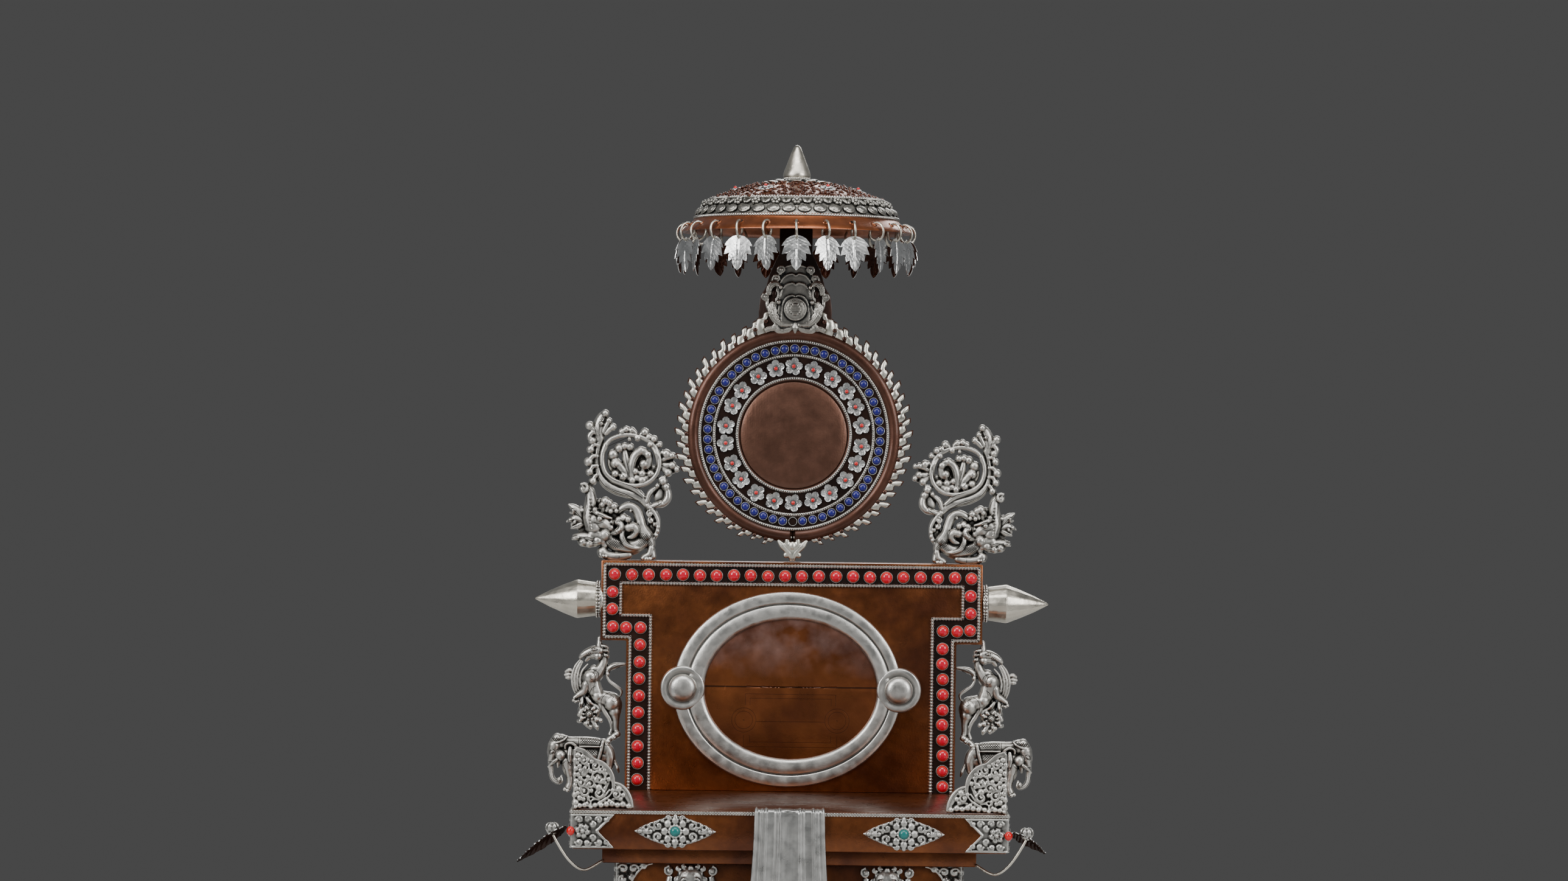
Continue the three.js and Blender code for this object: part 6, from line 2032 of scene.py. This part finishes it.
elephantBars = [
    ([(156.8, 149.7), (154.4, 151.8), (150.8, 152.6), (147.2, 151.5)], [2.2, 3.2, 3, 2.6], 7.8), ([(150.4,
    149.8), (142.4, 149.9), (133.2, 149.6), (125.5, 148.5), (121.9, 145.4)], [4.4, 4, 4.4, 4.4, 4.2],
    7.6), ([(146.3, 142.7), (137.1, 142), (127.9, 142.1), (121.5, 141.4)], [6.4, 7, 6.6, 5.2], 7.9),
    ([(123.2, 149.4), (119.9, 144.6), (118.6, 139.8), (119, 134.2)], [3.6, 4.2, 3.8, 2.6], 7.4), ([(155.1,
    148.2), (155.9, 143.3), (156.2, 139.3)], [4.4, 4.2, 3.2], 8.8), ([(156.3, 142.5), (157.4, 136.9),
    (157.3, 132.1), (156.9, 128.1), (154.9, 125), (152, 123.8), (150.1, 125), (150.5, 127.4)], [3, 2, 1.6,
    1.6, 1.6, 1.5, 1.3, 1], 8.6), ([(153.8, 138.6), (156.6, 136.5), (159.4, 133.7)], [1.3, 1.1, 0.5],
    9.2), ([(152.6, 140.2), (152.6, 136.2), (153, 133.4)], [2.6, 1.7, 0.7], 8.2), ([(146.6, 137.9),
    (146.2, 132.7), (144.9, 127.5), (144.8, 123.5), (146, 119.9)], [4, 3.6, 2.3, 2.1, 2.3], 8), ([(141,
    136.7), (139.7, 128.7), (139.6, 123.9)], [4, 3.4, 2.8], 6.4), ([(125, 136.9), (124.5, 128.9), (125.2,
    124.1)], [4.6, 3.4, 2.8], 6.4), ([(119.1, 148.6), (116.7, 143), (115, 137.4), (113.4, 133.5), (112.5,
    130.3)], [0.7, 0.8, 0.9, 1.2, 0.5], 6), ([(147.9, 145.8), (147.6, 149.1), (144.4, 150.1), (141.5,
    148.7), (139.5, 146)], [0.7, 0.9, 0.9, 0.9, 0.6], 9.4), ([(144.7, 146.7), (145.1, 141.9), (144.6,
    137.9), (144.6, 135.5)], [1.4, 1.7, 1.4, 0.5], 9.2), ([(123.2, 151), (124.3, 145.3), (125.8, 139.7)],
    [1.1, 1.2, 1.1], 9), ([(138.7, 147.8), (131.9, 147.8), (124.7, 147.7)], [0.6, 0.6, 0.6], 9), ([(157.6,
    150.1), (153.2, 150.2), (149.2, 151.8), (146.8, 154.3)], [0.6, 0.8, 0.8, 0.6], 8.6)
]
elephantBalls = [
    (151.1, 141.8, 3.9, 9.6), (151.7, 125.8, 1.4, 8), (156.7, 144.1, 1, 9.8), (148, 119.4, 1.2, 8.2),
    (146, 118.7, 1.2, 8.2), (153.6, 153, 3.2, 8.2),
]
elephantLines = [
    [(158.3, 144.1), (157.1, 145.7), (155.1, 145.4), (155.9, 143.3), (157.9, 142.5), (158.3, 144.1)],
    [(154.6, 138.6), (154.7, 142.6), (153.5, 145.4), (150.7, 146.2), (147.9, 143.8), (147, 139.9), (148.6,
    137), (151, 135.8)], [(157.6, 149.5), (153.2, 149.4), (148.8, 151), (146, 153.5)], [(148.7, 145.8),
    (148.4, 149), (144.8, 151.1), (141.2, 149.9), (138.7, 146.4)], [(146.7, 146.3), (145.5, 148.1),
    (143.5, 148.3), (141.9, 147.1)], [(146.3, 145.5), (146.7, 140.7), (145.4, 136.7), (144.2, 135.1),
    (143, 137.9), (143.5, 142.3), (143.1, 145.5)], [(144.7, 144.3), (144.8, 138.7)], [(139.2, 154),
    (139.1, 147.2)], [(138.3, 148.8), (124.7, 148.9)], [(138.7, 146.8), (125.1, 146.5)], [(136.3, 146),
    (133.5, 142.4), (130.2, 139.7)], [(126.3, 146.5), (127, 139.3)], [(124.8, 151.3), (125.9, 145.3),
    (127, 139.3)], [(121.6, 150.6), (122.7, 145), (124.2, 138.9)], [(122.3, 148.6), (118.7, 148.6)],
    [(158.5, 131.3), (157.7, 127.3), (155.2, 123.8), (152, 122.6)], [(156.1, 131.3), (155.7, 127.7),
    (154.1, 125.4)], [(148.8, 118.6), (146.8, 116.3)], [(146.8, 118.3), (145.5, 115.9)], [(149, 135.4),
    (147.3, 130.7), (146.9, 125.1)], [(159, 137.7), (155.8, 137.3), (153.8, 139)], [(138, 153.2), (134.4,
    149.6)], [(136.4, 153.2), (132.8, 149.6)], [(134.9, 153.2), (131.2, 149.7)], [(133.3, 153.2), (129.7,
    149.7)], [(131.8, 153.2), (128.1, 149.7)], [(130.2, 153.3), (126.6, 149.7)], [(128.6, 153.3), (125,
    149.7)], [(127.1, 153.3), (124.4, 150.7)], [(125.5, 153.3), (124.4, 152.2)], [(136.8, 153.2), (138.4,
    151.6)], [(135.2, 153.2), (138.4, 150)], [(133.7, 153.2), (137.2, 149.6)], [(132.1, 153.2), (135.7,
    149.6)], [(130.6, 153.3), (134.1, 149.6)], [(129, 153.3), (132.6, 149.6)], [(127.4, 153.3), (131,
    149.7)], [(125.9, 153.3), (129.4, 149.7)], [(124.3, 153.3), (127.9, 149.7)], [(134.7, 146), (129.5,
    140.9)], [(133.5, 146), (135.1, 144.4)], [(133.1, 146), (127.9, 140.9)], [(131.9, 146), (135.1,
    142.8)], [(131.5, 146), (126.7, 141.3)], [(130.3, 146.1), (134.3, 142)], [(129.9, 146.1), (126.7,
    142.9)], [(128.7, 146.1), (132.7, 142)], [(128.3, 146.1), (126.7, 144.5)], [(127.1, 146.1), (131.1,
    142.1)], [(156.4, 150.9), (154.4, 154.2)], [(156.8, 153.3), (154.8, 151)], [(154.9, 151.3), (153,
    154.2)], [(155.4, 153.4), (153.3, 151.2)], [(153.5, 151.6), (151.5, 154.2)], [(153.9, 153.4), (151.9,
    151.5)], [(152.1, 152), (150.1, 154.2)], [(152.5, 153.4), (150.5, 151.7)], [(150.6, 152.3), (148.7,
    154.2)], [(151, 153.4), (149, 152)]
]
crestRim = [
    (0.8, 37.4), (5.7, 35.9), (9.4, 32.9), (12.5, 30.2), (17, 28.7), (20.8, 25.7), (23.8, 21.2), (24.9, 16.3),
    (24.6, 11.3), (21.9, 7.6), (18.1, 4.9), (14.7, 3),
]
crestLobe = [
    (24.9, 16.6), (29.5, 15.1), (33.3, 11.7), (35.9, 6.8), (37, 1.5),
]
crestBars = [
    ([(19.7, 8.3), (19.7, 12.5), (22.7, 17.4)], [0.5, 1.7, 0.5], 2.1), ([(31.8, 11.3), (33.3, 7.6), (35.2,
    3)], [1.2, 1.6, 0.8], 2), ([(11, 7.6), (15.1, 6), (19.7, 8.3), (22.7, 12.1)], [0.5, 0.7, 0.7, 0.5],
    2), ([(10.6, 4.5), (13.2, 6), (16.6, 5.3)], [0.5, 0.8, 0.5], 2), ([(24.2, 6), (27.2, 6.4), (30.2,
    4.5)], [0.5, 0.9, 0.5], 2)
]
crestBalls = [
    (12.1, 19.3, 1.83, 2.7), (19.3, 24.2, 1.83, 2.7), (11.3, 29.5, 1.95, 2.7), (8.7, 30.6, 1.83, 2.7),
    (3.8, 30.6, 1.95, 2.7), (4.5, 23.8, 1.83, 2.7), (8.3, 23.4, 1.71, 2.6), (4.2, 19.3, 1.71, 2.7), (7.9,
    17.4, 1.71, 2.6), (13.2, 14.4, 1.83, 2.6), (12.5, 22.7, 1.59, 2.6), (4.5, 12.1, 1.83, 2.7), (1.1,
    14.7, 1.71, 2.7), (1.1, 21.2, 1.71, 2.7), (6.4, 6, 1.71, 2.7), (24.6, 11.7, 1.71, 2.6), (29.5, 6.4,
    1.71, 2.6), (22.7, 4.9, 1.59, 2.6), (19.7, 16.3, 1.46, 2.6), (18.9, 10.6, 1.34, 2.5), (9.4, 7.2, 1.46,
    2.6), (3, 9.8, 1.71, 2.7), (2.3, 28.7, 1.71, 2.7), (5.7, 32.5, 1.83, 2.7), (14.4, 18.1, 2.44, 3),
    (18.1, 17.4, 2.44, 3), (15.9, 13.2, 2.81, 3), (28.4, 12.5, 2.44, 3), (6.4, 22.3, 3.17, 2.8), (3.8,
    26.5, 1.83, 2.7), (3, 21.2, 2.07, 2.7), (1.9, 17, 2.2, 2.7), (1.9, 12.5, 2.2, 2.7), (1.1, 8.7, 2.07,
    2.7), (4.2, 6.8, 2.32, 2.8), (1.5, 3.8, 2.44, 2.8), (4.2, 1.9, 1.95, 2.7), (1.5, 24.9, 1.95, 2.7),
    (1.1, 30.2, 1.95, 2.7), (2.6, 33.3, 2.2, 2.7), (10.6, 23.4, 1.83, 2.7), (9.1, 19.7, 1.71, 2.6), (20,
    21.9, 1.95, 2.7), (21.9, 18.5, 1.83, 2.7), (8.7, 27.6, 1.83, 2.6), (11.3, 11.3, 1.71, 2.6), (8.3,
    14.4, 1.71, 2.6), (31, 8.7, 1.83, 2.6), (7.2, 2.3, 1.95, 2.9), (13.6, 2.3, 1.84, 2.9), (17.4, 2.3,
    1.95, 2.9), (20.8, 3, 2.18, 2.9), (24.2, 3.4, 2.3, 2.9), (27.6, 2.6, 2.07, 2.9), (31, 3, 2.3, 2.9),
    (34.4, 1.9, 1.95, 2.9), (11, 1.1, 1.38, 2.9), (1.5, 1.1, 1.38, 2.9)
]
crestScrolls = [
    (16.3, 19.3, 5.15, 200, -240, 0.88, 2.9), (15.9, 9.8, 3.25, 60, -330, 0.88, 2.8), (6.8, 10.6, 3.7,
    150, -300, 0.88, 2.8), (6.4, 29.9, 2.91, 120, -300, 0.77, 2.7), (13.6, 26.8, 2.8, 60, -320, 0.77,
    2.7), (16.6, 24.2, 2.35, 60, -320, 0.66, 2.7), (4.9, 15.9, 2.69, 100, -300, 0.77, 2.7), (10.6, 15.5,
    3.25, 160, -260, 0.77, 2.7), (26.8, 9.1, 2.69, 100, -320, 0.77, 2.7), (7.6, 25.3, 2.46, 60, -300,
    0.77, 2.7), (9.1, 3.4, 2.46, 100, -260, 0.66, 2.6)
]


# A bar with a round top and straight sides that run down to the back plane.
def raised(bm, way, radii, ridge, back):
    points = spots(way, 0)
    length = sum(hypot(b[0] - a[0], b[1] - a[1]) for a, b in zip(way, way[1:]))
    widest = max(radii)

    def place(u, v):
        t = min(max(u, 0.0), 1.0)
        heading = wayAt(points, min(t + 0.01, 1.0)) - wayAt(points, max(t - 0.01, 0.0))
        side = Vector((heading.z, 0, -heading.x)).normalized()
        r = along(radii, t)
        top = ridge * (0.45 + 0.55 * r / widest)
        rise = min(r, top)
        k = round(v * 9) % 9
        if k < 7:
            across, out = r * cos(k * pi / 6), rise * sin(k * pi / 6) + top - rise
        else:
            across, out = (-0.97 * r, -0.5) if k == 7 else (0.97 * r, -0.5)
        return wayAt(points, t) + side * across + Vector((0, back - out, 0))

    made = mapped(bm, max(4, round(length / 0.9)), 9, place)
    openEnds = list({e for v in made for e in v.link_edges if e.is_boundary})
    bmesh.ops.holes_fill(bm, edges=openEnds, sides=0)
    for (x, z), r in ((way[0], radii[0]), (way[-1], radii[-1])):
        if r > 0.75:
            raisedBall(bm, x, z, r, ridge * (0.45 + 0.55 * r / widest), back)


def raisedBall(bm, x, z, radius, ridge, back):
    rise = min(radius, ridge)
    profile = [(radius * sin(k * pi / 10), -rise * cos(k * pi / 10)) for k in range(6)]
    lathe(
        bm, profile + [(0.97 * radius, ridge - rise + 0.5), (0, ridge - rise + 0.5)],
        (x, back - ridge + rise, z), segments=14
    )


def drawn(bm, back, bars=(), balls=(), scrolls=()):
    for way, radii, ridge in bars:
        raised(bm, way, radii, ridge, back)
    for x, z, radius, ridge in balls:
        raisedBall(bm, x, z, radius, ridge, back)
    for x, z, radius, start, end, thick, ridge in scrolls:
        raisedBall(bm, x, z, radius * 0.95, ridge - thick * 0.9, back)
        raised(
            bm, spiral((x, z), radius, radius * 0.3, start, end, 11), [thick * 0.8, thick, thick * 0.8],
            ridge, back
        )
        raisedBall(bm, x, z, thick * 0.9, ridge + 0.2, back)


# Small studs along a way over a body, or ribs across it.
def studded(bm, way, count, size, ridge, back, ribs=0.0):
    points = spots(way, 0)
    for i in range(count):
        t = (i + 0.5) / count
        here = wayAt(points, t)
        if ribs:
            ahead = (wayAt(points, min(1, t + 0.02)) - wayAt(points, max(0, t - 0.02))).normalized()
            side = Vector((ahead.z, 0, -ahead.x)) * ribs
            a, b = here - side, here + side
            raised(
                bm, [(a.x, a.z), (here.x, here.z), (b.x, b.z)], [size * 0.7, size, size * 0.7], ridge,
                back
            )
        else:
            raisedBall(bm, here.x, here.z, size, ridge, back)


# Fine dark lines that follow the front of a form, as if engraved and left to tarnish.
def engraved(form, lines, width=0.22):
    skin = BVHTree.FromBMesh(form)
    bm = bmesh.new()
    for line in lines:
        points = spots(line, 0)
        length = sum(hypot(b[0] - a[0], b[1] - a[1]) for a, b in zip(line, line[1:]))
        count = max(3, round(length / 0.5))
        way = []
        for i in range(count + 1):
            here = wayAt(points, i / count)
            hit = skin.ray_cast(Vector((here.x, -200, here.z)), Vector((0, 1, 0)))[0]
            if hit:
                way.append((here.x, here.z, hit.y - 0.02))
            elif len(way) > 2:
                break
        if len(way) > 2:
            tube(bm, way, [width * 0.6, width, width, width * 0.6], 0, 1.0, steps=len(way) - 1, sides=5)
    return bm


def latticeLines(centre, half, pitch):
    lines = []
    for lean in (0.7, -0.7):
        for i in range(int(2 * half[0] / pitch) + 1):
            x = centre[0] - half[0] + i * pitch
            reach = half[1] * sqrt(max(0.0, 1 - ((x - centre[0]) / half[0]) ** 2))
            if reach > 0.5:
                lines.append([(x - lean * reach, centre[1] - reach), (x + lean * reach, centre[1] + reach)])
    return lines


def makeMakaras():
    b = beasts
    back = b["back"]
    bm = bmesh.new()
    drawn(bm, back, makaraGround + makaraBars, makaraBalls, makaraScrolls)
    studded(bm, [(132.2, 290.0), (133.6, 297.0), (133.0, 304.6), (133.4, 312.0)], 10, 0.40, 9.0, back)
    studded(
        bm, [(119.0, 295.2), (114.4, 295.0), (113.3, 291.6), (116.2, 288.6)], 9, 0.36, 9.7, back, ribs=1.6
    )
    left = fused(bm, b["voxel"], 1, back)
    leftLines = engraved(
        left,
        makaraLines + latticeLines(
            (116.5, 281.5), (5.2, 3.4), 1.15
        ) + latticeLines((97.0, 284.6), (3.6, 4.6), 1.15)
    )
    pivot = Vector(b["rightPivot"])
    small = Matrix.Translation(pivot) @ Matrix.Scale(b["rightScale"], 4) @ Matrix.Translation(-pivot)
    move = Matrix.Translation((b["rightShift"], 0, 0)) @ small
    for bm, name, metals, nodes in (
        (
            left, "makara", [wornSilver, haloCopper], ["makara_left"]
        ), (leftLines, "makaraLines", [darkLine], [])
    ):
        right = bm.copy()
        mirrorX(bm)
        finished(bm, name + "Left", metals, nodes, sharp=0)
        bmesh.ops.transform(right, matrix=move, verts=right.verts)
        finished(right, name + "Right", metals, ["makara_right"] if nodes else [], sharp=0)


def mirroredPair(bm, name, node=None, metals=None):
    other = bm.copy()
    mirrorX(other)
    metals = metals or [chasedSilver, brownCopper]
    finished(other, name + "Left", metals, [node + "_left"] if node else [], sharp=0)
    finished(bm, name + "Right", metals, [node + "_right"] if node else [], sharp=0)


def cutFoot(bm, height):
    bmesh.ops.bisect_plane(
        bm, geom=bm.verts[:] + bm.edges[:] + bm.faces[:], plane_co=(0, 0, height), plane_no=(0, 0, -1),
        clear_outer=True,
    )
    closeRim(bm)


def makeLeogryphs():
    back = beasts["back"]
    bm = bmesh.new()
    drawn(bm, back, leogryphBars, leogryphBalls)
    for k in range(9):
        turn = 2 * pi * k / 9
        raisedBall(bm, 132.6 + 3.6 * cos(turn), 168.8 + 3.6 * sin(turn), 0.8, 4.6, back)
    form = fused(bm, 0.36, 2, back)
    rings = [
        [
            (132.6 + r * cos(k * pi / 6), 168.8 + r * sin(k * pi / 6)) for k in range(13)
        ] for r in (2.7, 1.7, 0.8)
    ]
    mirroredPair(engraved(form, leogryphLines + rings), "leogryphLines", None, [darkLine])
    mirroredPair(form, "leogryph", "leogryph", [wornSilver, brownCopper])


def makeElephants():
    back = beasts["back"]
    bm = bmesh.new()
    drawn(bm, back, elephantBars, elephantBalls)
    form = fused(bm, 0.36, 2, back)
    mirroredPair(engraved(form, elephantLines), "elephantLines", None, [darkLine])
    mirroredPair(form, "elephant", "elephant", [wornSilver, brownCopper])


# ---- crests of curls bent round the front corners

crest = {"corner": (134.7, -92.2), "foot": 120.4, "voxel": 0.36}
crestOutline = [
    (0.3, 0), (0.3, 35.6), (2, 37), (6, 36), (10, 33.4), (13, 30), (17, 28.6), (21.5, 25.8), (24.4, 21),
    (25.2, 17.4), (30, 15.6), (34, 11.4), (36.4, 6), (37.4, 0)
]


# One wing seen from outside: across runs in from the corner, up from the tray. Its back plane is y = 0.
def crestWing(plainer):
    bm = bmesh.new()
    sheet(bm, crestOutline, -0.8, 1.2)
    for shift in (-0.75, 0.0, 0.75):
        raised(
            bm, [(x + shift * 0.8, z + shift) for x, z in crestRim], [0.5, 0.55, 0.55, 0.5, 0.35], 2.3, 0
        )
    raised(bm, crestLobe, [0.8, 1.0, 0.8], 2.2, 0)
    raised(bm, [(x - 1.1, z - 1.3) for x, z in crestLobe], [0.5, 0.6, 0.5], 2.0, 0)
    if plainer:
        shaky = random.Random(8)
        for x, z, r, ridge in crestBalls:
            drawn(
                bm, 0,
                scrolls=[(x, z, r * 0.95, shaky.uniform(0, 360), shaky.uniform(-420, -300), 0.6, 2.0)]
            )
        drawn(bm, 0, crestBars, [], crestScrolls)
    else:
        drawn(bm, 0, crestBars, crestBalls, crestScrolls)
    return bm


def makeCornerCrests():
    c = crest
    x, y = c["corner"]
    places = (
        Matrix(((-1, 0, 0, x), (0, 1, 0, y), (0, 0, 1, c["foot"]), (0, 0, 0, 1))),
        Matrix(((0, -1, 0, x - 2.4), (1, 0, 0, y + 0.2), (0, 0, 1, c["foot"]), (0, 0, 0, 1))),
    )
    bm, floor = bmesh.new(), bmesh.new()
    for plainer, place in enumerate(places):
        wing = crestWing(plainer)
        # A near-black sheet, just in front of each wing's backing sheet, shows between the curls: painted shade in
        # the gaps.
        hollow = bmesh.new()
        inset = [(min(max(px, 1.0), 36.6), max(0.3, pz - 0.9)) for px, pz in crestOutline]
        sheet(hollow, inset, -0.98, 0.2)
        for source, target in ((wing, bm), (hollow, floor)):
            bmesh.ops.transform(source, matrix=place, verts=source.verts)
            bmesh.ops.recalc_face_normals(source, faces=source.faces)
            part = bpy.data.meshes.new("wing")
            source.to_mesh(part)
            source.free()
            target.from_mesh(part)
            bpy.data.meshes.remove(part)
    raised(bm, [(x - 0.7, 119.6), (x - 0.7, 138), (x - 0.9, 156.6)], [0.6, 0.9, 0.9], 1.8, y - 0.4)
    out = fused(bm, c["voxel"], 1)
    cutFoot(out, c["foot"])
    mirroredPair(floor, "crestShadeFloor", None, [darkLine])
    mirroredPair(out, "cornerCrest", "corner_crest", [wornSilver, brownCopper])


darkLine = silverFinish("darkLine", (0.030, 0.027, 0.024), (0.012, 0.011, 0.010), 0.5)
wornSilver = silverFinish(
    "wornSilver", (0.54, 0.52, 0.48), (0.020, 0.018, 0.015), 0.38, 0.0026, 0.06, openFrom=0.42
)
makeMakaras()
makeLeogryphs()
makeElephants()
makeCornerCrests()
print("beasts and crests ready")
